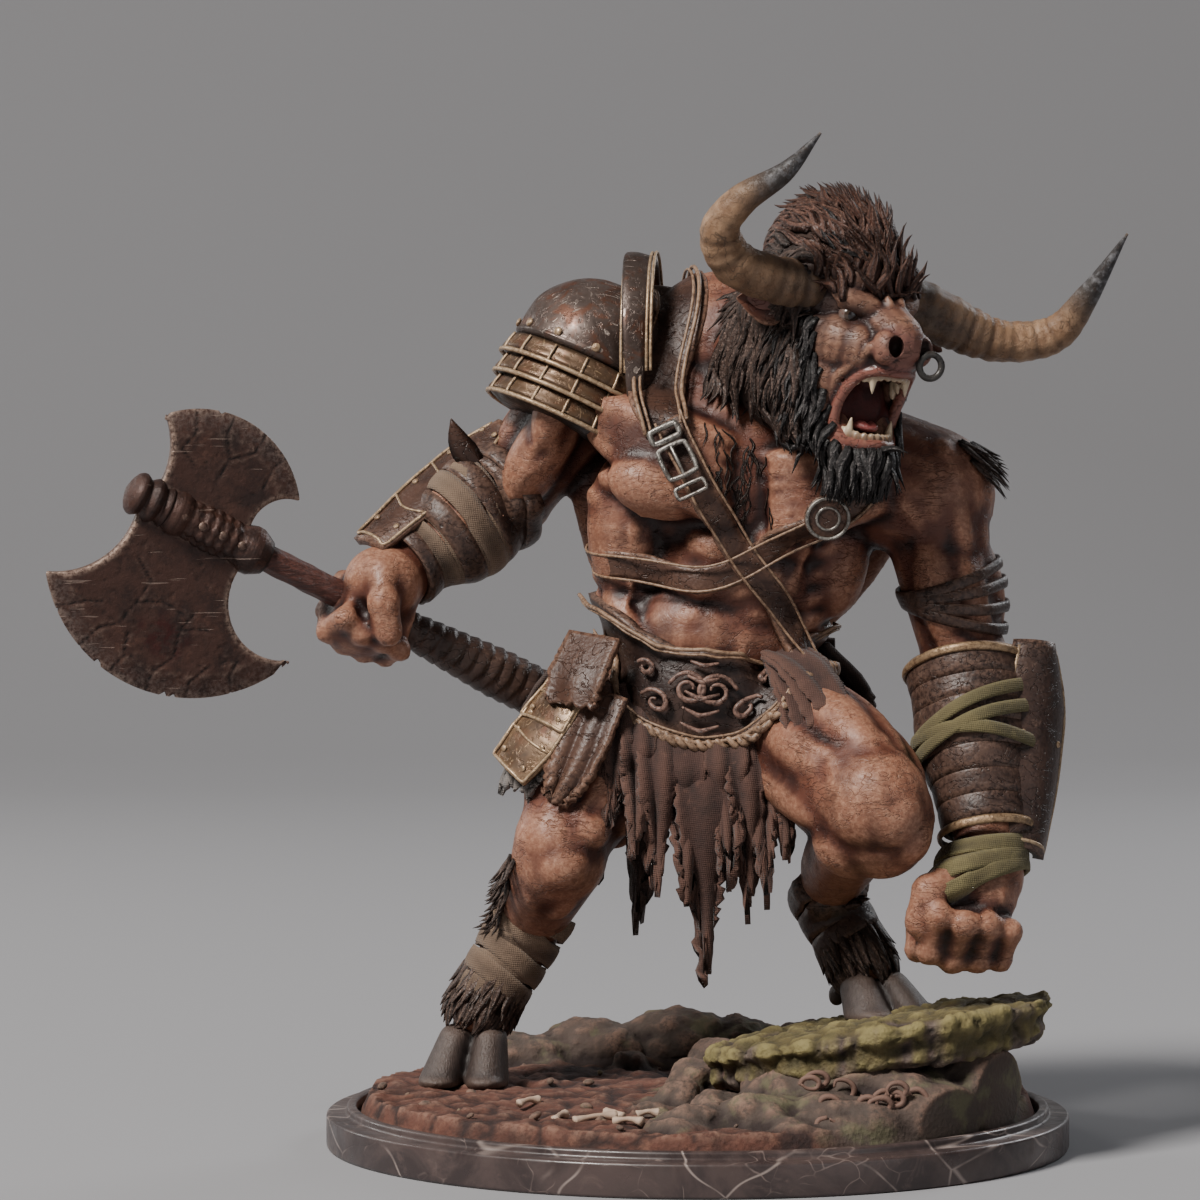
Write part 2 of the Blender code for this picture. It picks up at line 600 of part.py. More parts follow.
def tassets(clay):
    """Hinged hip plates over the near thigh, with torn leather below."""
    hang = ((-12.6, -3.4, 46.0), (-15.4, -5.4, 42.0), (-18.4, -6.0, 37.0), (-20.2, -5.8, 34.6))
    sheet(clay, hang, [5.6, 7.0, 6.6, 5.4], 1.5, (-0.72, -0.68, 0.1))
    side = ((-14.4, 1.6, 46.6), (-17.4, 1.4, 41.0), (-20.0, 1.2, 35.8), (-21.6, 0.8, 31.8))
    sheet(clay, side, [6.0, 6.6, 5.0, 1.2], 1.3, (-0.97, 0.0, 0.2))
    torn = ((-9.0, -7.4, 42.4), (-12.0, -9.4, 37.0), (-14.2, -9.8, 33.6), (-15.8, -9.6, 31.0))
    sheet(clay, torn, [4.6, 5.0, 4.4, 1.6], 1.2, (-0.4, -0.9, 0.1))


# Hanging strips of the kilt: the place at the belt, the tip, the width there and the depth of the fold
KILT_STRIPS = (
    ((-7.6, -8.6, 40.6), (-8.0, -10.0, 26.6), 3.4, 0.4),
    ((-4.4, -9.6, 39.4), (-5.0, -10.6, 21.6), 4.2, -0.6),
    ((-0.6, -10.2, 38.6), (0.4, -9.4, 11.4), 6.4, 0.6),
    ((3.4, -10.0, 39.0), (3.6, -10.8, 21.0), 4.6, -0.5),
    ((6.4, -9.0, 40.4), (6.6, -10.6, 19.6), 4.0, 0.5),
    ((8.8, -7.6, 41.6), (9.2, -11.4, 23.4), 3.6, -0.4),
)
BACK_STRIPS = (
    ((-9.0, 11.0, 45.0), (-10.6, 12.6, 20.0), 6.0, 0.5),
    ((-4.0, 13.4, 45.0), (-6.4, 13.6, 14.6), 7.4, -0.6),
    ((1.6, 14.0, 45.0), (-0.6, 14.2, 18.0), 7.4, 0.6),
    ((7.0, 12.6, 46.0), (6.4, 13.6, 22.0), 6.6, -0.5),
    ((11.6, 9.0, 46.0), (13.0, 11.0, 26.0), 5.4, 0.4),
)


def kilt(clay):
    for rows, facing in ((KILT_STRIPS, (0.0, -1.0, 0.0)), (BACK_STRIPS, (0.0, 1.0, 0.0))):
        for top, tip, width, fold in rows:
            top, tip = Vector(top), Vector(tip)
            out = Vector(facing)
            points = (
                top - out * 1.5 + Vector((0, 0, 2.0)),
                top.lerp(tip, 0.35) + out * fold,
                top.lerp(tip, 0.7) - out * fold,
                tip,
            )
            sheet(clay, points, [width, width, width * 0.86, width * 0.6, 0.9], 1.5, facing)
    # the panel that covers the raised thigh, torn along its edge
    for k in range(4):
        share = k / 3
        start = Vector((8.0 + 1.6 * share, -3.0 - 2.0 * share, 47.6 - 1.0 * share))
        end = Vector((14.6 - 3.2 * share, -13.4 + 0.4 * share, 40.6 - 4.6 * share))
        sheet(clay, (start, (start + end) / 2 + Vector((0, -1.0, 1.6)), end), [4.6, 4.6, 3.0], 1.3, (0.1, -0.5, 0.86), 6)


def wrappings(clay, skin):
    """Bandages and bracers on the arms and legs."""
    forearm = WRIST_R - ELBOW_R
    for k in range(5):
        share = 0.22 + 0.17 * k
        tilt = forearm.normalized() + Vector((0.12, 0.0, 0.22 * (-1) ** k))
        wrap(clay, skin, ELBOW_R.lerp(WRIST_R, share), tilt, 3.6, 0.9)
    ridge = [
        ELBOW_R.lerp(WRIST_R, t) + Vector((-3.6 - 1.4 * t, -1.6, 7.2 - 4.6 * t)) for t in (-0.3, 0.1, 0.5, 0.98)
    ]
    sheet(clay, ridge, [0.6, 3.6, 4.0, 3.2], 1.4, (-0.6, -0.3, 0.72), 10)
    lock(clay, Vector((-23.8, 3.4, 67.0)), Vector((-26.6, 2.0, 72.2)), Vector((-0.6, 0.0, 0.0)), 1.5)
    shin = FETLOCK_R - HOCK_R
    for k in range(4):
        wrap(clay, skin, HOCK_R.lerp(FETLOCK_R, 0.02 + 0.22 * k), shin.normalized() + Vector((0.16 * (-1) ** k, 0, 0)), 3.2, 0.8)
    shin = FETLOCK_L - HOCK_L
    for k in range(3):
        wrap(clay, skin, HOCK_L.lerp(FETLOCK_L, 0.05 + 0.24 * k), shin.normalized() + Vector((0.14 * (-1) ** k, 0, 0)), 3.0, 0.8)
    wrap(clay, skin, HIP_R.lerp(KNEE_R, 0.42), (KNEE_R - HIP_R).normalized() + Vector((0.3, 0, 0)), 4.4, 0.9, 11.0)
    for share in (0.55, 0.66):
        wrap(clay, skin, SHOULDER_L.lerp(ELBOW_L, share), Vector((0.12, 0.1, -1.0)), 1.8, 0.7, 9.0)
    # far bracer: a flared cuff with a raised plate on its outer side
    forearm = WRIST_L - ELBOW_L
    for k in range(6):
        share = 0.16 + 0.14 * k
        wrap(clay, skin, ELBOW_L.lerp(WRIST_L, share), forearm, 3.4, 1.9 - 0.18 * k)
    plate = [
        ELBOW_L.lerp(WRIST_L, t) + Vector((8.0 - 4.4 * t, -1.0, 2.2 - 1.2 * t)) for t in (-0.1, 0.3, 0.7, 1.04)
    ]
    sheet(clay, plate, [6.0, 8.4, 7.0, 5.4], 2.0, (0.92, -0.4, 0.1), 10)
    wrap(clay, skin, WRIST_L.lerp(FIST_L, 0.35), (FIST_L - WRIST_L).normalized() + Vector((0.5, 0, -0.3)), 2.4, 0.8, 8.0)


def nose_ring(clay):
    frame = head_frame()
    ring = [
        frame @ Vector((13.6 + 0.5 * math.cos(a), 0.8 + 1.7 * math.cos(a), -3.2 + 1.6 * math.sin(a)))
        for a in (math.tau * k / 12 for k in range(13))
    ]
    tube(clay, ring, [0.62, 0.62], steps=18, sides=6)


# Castings


def clay_object(name, clay):
    """An object holding the clay, in metres, with the figure's sole level at z 0 of its table."""
    clay.transform(Matrix.Translation((0, 0, SOLE_LEVEL)) @ Matrix.Scale(U, 4))
    bmesh.ops.recalc_face_normals(clay, faces=clay.faces)
    mesh = bpy.data.meshes.new(name)
    clay.to_mesh(mesh)
    clay.free()
    obj = bpy.data.objects.new(name, mesh)
    bpy.context.scene.collection.objects.link(obj)
    return obj


def fused(obj, voxel, rounds):
    """Runs all the shapes in obj together into one surface, and softens it."""
    remesh = obj.modifiers.new("one_surface", "REMESH")
    remesh.mode = "VOXEL"
    remesh.voxel_size = voxel
    soften = obj.modifiers.new("soften", "SMOOTH")
    soften.factor = 0.5
    soften.iterations = rounds
    graph = bpy.context.evaluated_depsgraph_get()
    mesh = bpy.data.meshes.new_from_object(obj.evaluated_get(graph))
    obj.modifiers.clear()
    obj.data = mesh
    return obj


def biggest_part(mesh):
    """Keeps the largest connected piece, and drops specks left inside by the voxels."""
    bm = bmesh.new()
    bm.from_mesh(mesh)
    seen, islands = set(), []
    for vert in bm.verts:
        if vert in seen:
            continue
        island, queue = [], [vert]
        seen.add(vert)
        while queue:
            at = queue.pop()
            island.append(at)
            for edge in at.link_edges:
                other = edge.other_vert(at)
                if other not in seen:
                    seen.add(other)
                    queue.append(other)
        islands.append(island)
    islands.sort(key=len)
    for island in islands[:-1]:
        bmesh.ops.delete(bm, geom=island, context="VERTS")
    bm.to_mesh(mesh)
    bm.free()


def reduced(obj, triangles, kept=()):
    """Lowers the triangle count to about the number wanted. kept lists (place, reach) to treat gently."""
    group = obj.vertex_groups.new(name="worn")
    for vert in obj.data.vertices:
        place = vert.co / U - Vector((0, 0, SOLE_LEVEL / U))
        near = max([1.0 - (place - spot).length / reach for spot, reach in kept], default=0.0)
        group.add([vert.index], 1.0 - GENTLE * min(1.0, max(0.0, near * 2.0)), "REPLACE")
    count = sum(len(p.vertices) - 2 for p in obj.data.polygons)
    fewer = obj.modifiers.new("fewer_faces", "DECIMATE")
    fewer.ratio = min(1.0, triangles / count)
    fewer.use_collapse_triangulate = True
    if kept:
        fewer.vertex_group = group.name
        fewer.vertex_group_factor = 1.0


def cut(obj, cutter):
    hole = obj.modifiers.new("cut_" + cutter.name, "BOOLEAN")
    hole.operation = "DIFFERENCE"
    hole.object = cutter
    cutter.hide_render = True
    cutter.display_type = "WIRE"


def painted(obj, name, colour, roughness, metallic=0.0):
    material = bpy.data.materials.new(name)
    material.use_nodes = True
    shader = material.node_tree.nodes["Principled BSDF"]
    shader.inputs["Base Color"].default_value = (*colour, 1.0)
    shader.inputs["Roughness"].default_value = roughness
    shader.inputs["Metallic"].default_value = metallic
    obj.data.materials.clear()
    obj.data.materials.append(material)


def tree_of(obj):
    """A search tree of the object's surface, in the figure's own units."""
    to_units = Matrix.Scale(1 / U, 4) @ Matrix.Translation((0, 0, -SOLE_LEVEL))
    points = [to_units @ v.co for v in obj.data.vertices]
    return BVHTree.FromPolygons(points, [p.vertices[:] for p in obj.data.polygons])


def make_figure():
    clay = bmesh.new()
    flesh(clay)
    body = fused(clay_object("flesh", clay), FLESH_VOXEL, 5)
    skin = tree_of(body)
    dress = bmesh.new()
    horns(dress)
    hair(dress)
    leg_fur(dress)
    hoof(dress, FETLOCK_R, HOOF_R, HEADING_R)
    hoof(dress, FETLOCK_L, HOOF_L, HEADING_L)
    pauldron(dress)
    harness(dress, skin)
    belt(dress, skin)
    tassets(dress)
    kilt(dress)
    wrappings(dress, skin)
    nose_ring(dress)
    figure = clay_object("figure", dress)
    both = bmesh.new()
    both.from_mesh(figure.data)
    both.from_mesh(body.data)
    both.to_mesh(figure.data)
    both.free()
    bpy.data.objects.remove(body)
    fused(figure, FIGURE_VOXEL, 1)
    biggest_part(figure.data)
    muzzle = HEAD + HEAD_FORWARD * 5.0
    kept = [(muzzle, 15.0), (FIST_R, 8.0), (FIST_L, 8.0)]
    kept += [(Vector(spot), 6.0) for points, _ in (RIGHT_HORN, LEFT_HORN) for spot in points[2:]]
    reduced(figure, FIGURE_TRIANGLES, kept)
    painted(figure, "painted_resin", (0.24, 0.13, 0.09), 0.5)
    return figure


# Axe


def arc(start, end, bulge, steps):
    """Points on the circular arc from start to end whose middle stands bulge to the left of the chord."""
    start, end = Vector(start), Vector(end)
    chord = end - start
    left = Vector((-chord.y, chord.x)).normalized()
    radius = (chord.length**2 / 4 + bulge**2) / (2 * abs(bulge))
    centre = (start + end) / 2 + left * (bulge - math.copysign(radius, bulge))
    first = math.atan2(start.y - centre.y, start.x - centre.x)
    sweep = 2 * math.atan2(chord.length / 2, radius - abs(bulge))
    if abs(bulge) > radius:
        sweep = math.tau - sweep
    turn = -sweep if bulge > 0 else sweep
    return [
        centre + Vector((math.cos(first + turn * k / steps), math.sin(first + turn * k / steps))) * radius
        for k in range(steps + 1)
    ]


# Blade outlines in units, u along the haft from the knob and v across it. The larger bit points down
LOWER_BIT = {
    "tips": ((-6.2, 11.6), (22.6, 8.6)),
    "edge": 8.4,
    "necks": ((-0.2, 1.6), (12.8, 1.6)),
    "hollows": (2.2, 4.2),
}
UPPER_BIT = {
    "tips": ((-2.2, -8.8), (15.4, -7.0)),
    "edge": 4.2,
    "necks": ((0.6, -1.6), (11.8, -1.6)),
    "hollows": (1.0, 1.6),
}


def bit_outline(bit, side):
    first, last = bit["tips"]
    near, far = bit["necks"]
    outline = arc(first, last, side * bit["edge"], 12)[:-1]
    outline += arc(last, far, side * -bit["hollows"][1], 7)
    outline += arc(near, first, side * -bit["hollows"][0], 6)[:-1]
    return outline


def haft_frame():
    """u runs along the haft, v across it in the blades' plane, w square to the blades."""
    along_haft = (HAFT_END - HAFT_START).normalized()
    square = Vector((0.12, -1.0, 0.0))
    square = (square - along_haft * along_haft.dot(square)).normalized()
    across = square.cross(along_haft)
    if across.z > 0:
        across = -across
    frame = Matrix((along_haft, across, along_haft.cross(across))).transposed().to_4x4()
    place = Matrix.Translation(HAFT_START * U + Vector((0, 0, SOLE_LEVEL)))
    return place @ frame


def blade(name, bit, side):
    curve = bpy.data.curves.new(name, "CURVE")
    curve.dimensions = "2D"
    curve.fill_mode = "BOTH"
    curve.extrude = BLADE_THICKNESS / 2 - BLADE_BEVEL
    curve.bevel_depth = BLADE_BEVEL
    curve.bevel_resolution = 0
    outline = bit_outline(bit, side)
    spline = curve.splines.new("POLY")
    spline.points.add(len(outline) - 1)
    for point, place in zip(spline.points, outline):
        point.co = (place.x * U, place.y * U, 0.0, 1.0)
    spline.use_cyclic_u = True
    obj = bpy.data.objects.new(name, curve)
    obj.matrix_world = haft_frame()
    bpy.context.scene.collection.objects.link(obj)
    return meshed(obj)


def meshed(obj):
    """The object as a welded mesh in the same place."""
    bpy.context.view_layer.update()
    graph = bpy.context.evaluated_depsgraph_get()
    mesh = bpy.data.meshes.new_from_object(obj.evaluated_get(graph))
    bm = bmesh.new()
    bm.from_mesh(mesh)
    bmesh.ops.remove_doubles(bm, verts=bm.verts, dist=1e-6)
    bmesh.ops.recalc_face_normals(bm, faces=bm.faces)
    bm.to_mesh(mesh)
    bm.free()
    made = bpy.data.objects.new(obj.name + "_mesh", mesh)
    made.matrix_world = obj.matrix_world.copy()
    bpy.context.scene.collection.objects.link(made)
    bpy.data.objects.remove(obj)
    return made


def lathe(name, profile, sides):
    """A solid turned about z from a profile of (radius, height) pairs that starts and ends on the axis."""
    bm = bmesh.new()
    verts = [bm.verts.new((radius, 0.0, height)) for radius, height in profile]
    for a, b in zip(verts, verts[1:]):
        bm.edges.new((a, b))
    mesh = bpy.data.meshes.new(name)
    bm.to_mesh(mesh)
    bm.free()
    obj = bpy.data.objects.new(name, mesh)
    screw = obj.modifiers.new("turn", "SCREW")
    screw.steps = screw.render_steps = sides
    screw.use_merge_vertices = True
    screw.merge_threshold = 1e-5
    screw.use_smooth_shade = True
    bpy.context.scene.collection.objects.link(obj)
    return obj


def turned_piece(name, profile):
    """A solid turned about the haft's line, from (distance along the haft, radius) pairs."""
    obj = lathe(name, [(radius, -distance) for distance, radius in profile], HAFT_SIDES)
    # z is laid along the haft, pointing back to the knob
    obj.matrix_world = haft_frame() @ Matrix.Rotation(math.radians(-90), 4, "Y")
    return obj


def haft_profile(spare=0.0):
    """The haft, its grip and its pommel, grown by spare."""
    length = (HAFT_END - HAFT_START).length * U
    grip_start = 27.0 * U
    grip_end = length - 2.5 * U
    return [
        (-0.5 * U - spare, 0.0),
        (-0.5 * U - spare, HAFT_RADIUS + spare),
        (grip_start, HAFT_RADIUS + spare),
        (grip_start + 3.5 * U, GRIP_RADIUS * 0.9 + spare),
        (grip_end, GRIP_RADIUS + spare),
        (grip_end + 0.6 * U, POMMEL_RADIUS + spare),
        (length - 0.4 * U, POMMEL_RADIUS + spare),
        (length + spare, POMMEL_RADIUS * 0.6 + spare),
        (length + spare, 0.0),
    ]


def socket_profile():
    """The tube that the blades spring from, with a ringed knob at its end."""
    knob = SOCKET_RADIUS
    return [
        (-2.2 * U, 0.0),
        (-2.2 * U, knob * 0.55),
        (-1.5 * U, knob * 0.92),
        (-0.6 * U, knob),
        (-0.3 * U, knob * 0.84),
        (0.1 * U, knob * 1.06),
        (1.0 * U, knob * 1.06),
        (1.4 * U, knob * 0.86),
        (2.2 * U, knob * 0.9),
        (12.6 * U, knob),
        (13.4 * U, knob * 1.12),
        (14.4 * U, knob * 1.12),
        (15.0 * U, HAFT_RADIUS * 0.9),
        (15.0 * U, 0.0),
    ]


def make_axe():
    axe = turned_piece("axe", haft_profile())
    parts = (
        turned_piece("socket", socket_profile()),
        blade("lower_bit", LOWER_BIT, 1),
        blade("upper_bit", UPPER_BIT, -1),
    )
    for number, part in enumerate(parts):
        join = axe.modifiers.new(f"join_{number}", "BOOLEAN")
        join.operation = "UNION"
        join.object = part
        part.hide_render = True
        part.display_type = "WIRE"
    painted(axe, "painted_iron", (0.10, 0.06, 0.05), 0.4, 0.4)
    return axe


# Plinth and groundwork


def make_plinth():
    """A turned disc. Its lip stands above the shoulder and leaves a shallow recess for the groundwork."""
    rounding = PLINTH_ROUNDING
    edge = [
        (PLINTH_RADIUS - rounding + rounding * math.cos(a), PLINTH_HEIGHT - rounding + rounding * math.sin(a))
        for a in (math.radians(d) for d in (90, 45, 0))
    ]
    lip_top = PLINTH_HEIGHT + LIP_HEIGHT
    inner = LIP_RADIUS - LIP_WIDTH
    profile = [
        (0.0, PLINTH_HEIGHT - RECESS_DEPTH),
        (inner, PLINTH_HEIGHT - RECESS_DEPTH),
        (inner, lip_top),
        (LIP_RADIUS - LIP_WIDTH * 0.3, lip_top),
        (LIP_RADIUS, PLINTH_HEIGHT),
        *edge,
        (PLINTH_RADIUS, 0.0),
        (0.0, 0.0),
    ]
    obj = lathe("plinth", profile, PLINTH_SIDES)
    painted(obj, "veined_resin", (0.12, 0.08, 0.08), 0.3)
    return obj


def plinth_room():
    """What the groundwork must keep clear of: the recess floor, the lip and all below them."""
    far = 2 * PLINTH_RADIUS
    floor = PLINTH_HEIGHT - RECESS_DEPTH + CLEARANCE
    inner = LIP_RADIUS - LIP_WIDTH - CLEARANCE
    top = PLINTH_HEIGHT + LIP_HEIGHT + CLEARANCE
    profile = [(0.0, floor), (inner, floor), (inner, top), (far, top), (far, -far), (0.0, -far)]
    return lathe("plinth_room", profile, PLINTH_SIDES)


# Rocks: the middle and the radii, in units
ROCKS = (
    ((-20.0, 23.0, 0.6), (6.0, 4.4, 3.0)),
    ((-11.0, 25.0, 1.0), (7.0, 4.6, 3.6)),
    ((-2.0, 26.0, 1.4), (7.0, 4.6, 4.4)),
    ((6.0, 25.0, 1.0), (5.0, 4.6, 3.6)),
    ((13.0, 22.0, 1.0), (6.0, 4.6, 3.4)),
    ((21.0, 17.0, 1.0), (6.0, 4.6, 4.0)),
    ((-2.6, -12.6, -0.4), (3.0, 3.0, 2.6)),
    ((-1.0, -26.6, -0.6), (3.6, 3.2, 2.8)),
    ((1.4, -20.0, -0.2), (3.4, 3.6, 3.0)),
    ((0.0, -3.0, 0.6), (3.6, 3.6, 3.0)),
    ((3.0, 3.0, 1.6), (4.4, 4.0, 3.4)),
    ((6.4, -26.4, -0.4), (5.0, 4.4, 3.4)),
    ((14.0, -27.0, -0.6), (7.0, 5.0, 4.0)),
    ((22.0, -23.0, 0.0), (7.0, 6.0, 4.6)),
    ((26.0, -12.0, 2.0), (8.0, 9.0, 5.4)),
)
# The slab's outline seen from above, and the plane of its top: height = base + east * x + north * y
SLAB = ((0.5, -9.0), (4.0, -18.0), (11.0, -24.0), (22.0, -26.0), (31.0, -21.5), (37.4, -13.5), (36.0, -4.0),
        (30.0, 4.0), (21.0, 8.5), (11.0, 7.0), (3.0, 0.0))
SLAB_TOP = (4.4, 0.16, -0.07)
SLAB_THICKNESS = 4.2


def groundwork_clay():
    clay = bmesh.new()
    radius = (LIP_RADIUS - LIP_WIDTH - CLEARANCE) / U
    floor = -(GROUND_HEIGHT + RECESS_DEPTH - CLEARANCE) / U
    bmesh.ops.create_cone(
        clay,
        cap_ends=True,
        segments=48,
        radius1=radius,
        radius2=radius - 1.2,
        depth=-floor,
        matrix=Matrix.Translation((0, 0, floor / 2)),
    )
    for centre, radii in ROCKS:
        stone = bmesh.ops.create_icosphere(clay, subdivisions=3, radius=1.0)
        for vert in stone["verts"]:
            rough = 1.0 + 0.22 * noise.noise(vert.co * 1.7 + Vector(centre))
            vert.co = Vector(centre) + Vector([r * c * rough for r, c in zip(radii, vert.co)])
    slab(clay)
    return clay, floor, radius


def slab(clay):
    """A tilted flat stone that carries the raised hoof and juts over the plinth's edge."""
    base, east, north = SLAB_TOP
    middle = sum((Vector(p) for p in SLAB), Vector((0.0, 0.0))) / len(SLAB)
    outline = [p.xy for p in smooth_path([(*p, 0.0) for p in (*SLAB, SLAB[0])], 44)[:-1]]
    shares = ((0.0, 0.0), (0.5, 0.0), (0.85, -0.1), (1.0, -0.8), (1.0, -3.0), (0.86, -SLAB_THICKNESS))
    rings = []
    for spread, drop in shares:
        ring = []
        for k, corner in enumerate(outline):
            place = middle.lerp(corner, max(spread, 0.02) * (1.0 + 0.05 * noise.noise(Vector((k * 0.4, drop, 3.0)))))
            rough = 0.7 * noise.noise(Vector((place.x * 0.22, place.y * 0.22, drop)))
            height = base + east * place.x + north * place.y + drop + rough
            ring.append(clay.verts.new((place.x, place.y, height)))
        rings.append(ring)
    bridge(clay, rings, closed=False)


def make_groundwork():
    clay, floor, radius = groundwork_clay()
    ground = fused(clay_object("groundwork", clay), GROUND_VOXEL, 2)
    biggest_part(ground.data)
    rim = ground.data
    bm = bmesh.new()
    bm.from_mesh(rim)
    for vert in bm.verts:
        away = math.hypot(vert.co.x, vert.co.y) / U
        high = (vert.co.z - SOLE_LEVEL) / U
        if high > floor + 1.2:
            swell = 0.55 * noise.noise(Vector((vert.co.x, vert.co.y, 0.0)) / U * 0.16)
            swell += 0.3 * noise.noise(Vector((vert.co.x, vert.co.y, vert.co.z)) / U * 0.5)
            fade = min(1.0, max(0.0, (radius - away) / 4.0))
            vert.co.z += swell * fade * U
    bm.to_mesh(rim)
    bm.free()
    reduced(ground, GROUND_TRIANGLES)
    return ground


def box_cutter(name, low, high):
    bm = bmesh.new()
    centre = (Vector(low) + Vector(high)) / 2
    size = Vector(high) - Vector(low)
    bmesh.ops.create_cube(bm, size=1.0, matrix=Matrix.Translation(centre) @ Matrix.Diagonal((*size, 1.0)))
    mesh = bpy.data.meshes.new(name)
    bm.to_mesh(mesh)
    bm.free()
    obj = bpy.data.objects.new(name, mesh)
    bpy.context.scene.collection.objects.link(obj)
    return obj


def footprint(name, sole, heading):
    """The room that a hoof needs in the groundwork: its outline, open above."""
    across = heading.normalized().cross(Vector((0, 0, 1)))
    middle = sole * U + Vector((0, 0, SOLE_LEVEL + 7.0 * U - CLEARANCE))
    bm = bmesh.new()
    bmesh.ops.create_cone(
        bm,
        cap_ends=True,
        segments=24,
        radius1=5.2 * U,
        radius2=6.0 * U,
        depth=14.0 * U,
        matrix=Matrix.Translation(middle) @ turned((0, 0, 1), across) @ Matrix.Diagonal((1.18, 1.0, 1.0, 1.0)),
    )
    mesh = bpy.data.meshes.new(name)
    bm.to_mesh(mesh)
    bm.free()
    obj = bpy.data.objects.new(name, mesh)
    bpy.context.scene.collection.objects.link(obj)
    return obj


def main():
    for obj in list(bpy.data.objects):
        bpy.data.objects.remove(obj)
    figure = make_figure()
    axe = make_axe()
    plinth = make_plinth()
    ground = make_groundwork()
    # the fist and the hip leave room for the haft
    cut(figure, turned_piece("haft_room", haft_profile(CLEARANCE)))
    # the soles are flat, and the groundwork is flat below them and keeps clear of the plinth
    span = 3 * PLINTH_RADIUS
    cut(figure, box_cutter("below_soles", (-span, -span, -span), (span, span, SOLE_LEVEL)))
    cut(ground, plinth_room())
    cut(ground, footprint("right_footprint", HOOF_R, HEADING_R))
    cut(ground, footprint("left_footprint", HOOF_L, HEADING_L))
    painted(ground, "painted_earth", (0.16, 0.09, 0.07), 0.7)
    part = bpy.data.collections.new("minotaur_miniature")
    cutters = bpy.data.collections.new("cutters")
    for collection in (part, cutters):
        bpy.context.scene.collection.children.link(collection)
    for obj in list(bpy.context.scene.collection.objects):
        kept = obj in (figure, axe, plinth, ground)
        (part if kept else cutters).objects.link(obj)
        bpy.context.scene.collection.objects.unlink(obj)


main()
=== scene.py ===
"""The looks of the minotaur miniature: flesh, face, horns, hair, armour, cloth, axe, groundwork and plinth.

The sculpting tables are in millimetres, with z counted from the lower sole. Finished pieces move to metres.
R is the figure's own right side, which is on the left in the picture. The figure faces -Y.
"""

import json
import math
import random

import bmesh
import bpy
import numpy as np
from mathutils import Matrix, Vector, noise
from mathutils.bvhtree import BVHTree

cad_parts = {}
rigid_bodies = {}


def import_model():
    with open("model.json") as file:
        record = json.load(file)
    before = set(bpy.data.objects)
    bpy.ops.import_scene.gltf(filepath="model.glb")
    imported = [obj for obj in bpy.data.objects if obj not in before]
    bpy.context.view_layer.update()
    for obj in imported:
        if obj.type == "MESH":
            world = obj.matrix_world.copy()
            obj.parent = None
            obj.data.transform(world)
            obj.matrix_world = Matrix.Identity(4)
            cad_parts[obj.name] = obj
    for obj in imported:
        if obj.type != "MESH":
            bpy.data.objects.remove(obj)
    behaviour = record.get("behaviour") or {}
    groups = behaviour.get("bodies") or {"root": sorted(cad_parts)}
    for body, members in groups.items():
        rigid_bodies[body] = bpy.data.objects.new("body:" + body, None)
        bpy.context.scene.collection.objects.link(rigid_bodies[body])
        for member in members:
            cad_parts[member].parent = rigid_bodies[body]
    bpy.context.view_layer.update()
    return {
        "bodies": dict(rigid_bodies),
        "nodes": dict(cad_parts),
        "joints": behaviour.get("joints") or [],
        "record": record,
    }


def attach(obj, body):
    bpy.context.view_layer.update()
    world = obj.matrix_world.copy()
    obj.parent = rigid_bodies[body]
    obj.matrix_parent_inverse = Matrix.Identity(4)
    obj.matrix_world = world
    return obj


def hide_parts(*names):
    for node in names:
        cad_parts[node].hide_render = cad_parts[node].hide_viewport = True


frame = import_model()

MM = 0.001
SOLE_LEVEL = 6.0
PLINTH_RADIUS = 40.0
PLINTH_HEIGHT = 3.6
LIP_RADIUS = 37.8
LIP_WIDTH = 1.1
LIP_HEIGHT = 0.9
RECESS_DEPTH = 0.6

PELVIS = Vector((-0.7, 4.5, 41.0))
WAIST = Vector((1.6, 2.5, 54.0))
CHEST = Vector((4.8, 1.5, 66.0))
NECK = Vector((8.0, 2.0, 77.0))
HEAD = Vector((15.0, -13.5, 82.0))
SHOULDER_R = Vector((-10.7, 4.0, 77.5))
ELBOW_R = Vector((-20.4, 9.0, 64.0))
WRIST_R = Vector((-31.2, 2.6, 56.6))
FIST_R = Vector((-35.0, 0.9, 51.2))
SHOULDER_L = Vector((24.6, -2.0, 64.0))
ELBOW_L = Vector((28.4, -4.0, 46.6))
WRIST_L = Vector((30.4, -12.0, 27.4))
FIST_L = Vector((27.6, -15.0, 19.6))
HIP_R = Vector((-7.0, 4.0, 40.0))
KNEE_R = Vector((-14.8, -6.0, 27.0))
HOCK_R = Vector((-18.3, 6.0, 17.0))
FETLOCK_R = Vector((-23.6, 4.5, 7.9))
HOOF_R = Vector((-25.2, 2.8, 0.0))
HIP_L = Vector((7.5, 3.0, 40.5))
KNEE_L = Vector((18.2, -17.0, 32.0))
HOCK_L = Vector((13.9, 5.5, 20.5))
FETLOCK_L = Vector((18.0, 2.4, 13.0))
HOOF_L = Vector((20.4, -0.4, 7.6))
HEADING_R = Vector((-0.1, -1.0, 0.0))
HEADING_L = Vector((0.35, -1.0, 0.0))
HEAD_FORWARD = Vector((0.60, -0.79, -0.12))
HEAD_UP = Vector((0.08, 0.0, 1.0))
HAFT_START = Vector((-58.6, -8.2, 63.7))
HAFT_END = Vector((-12.4, 10.6, 39.6))

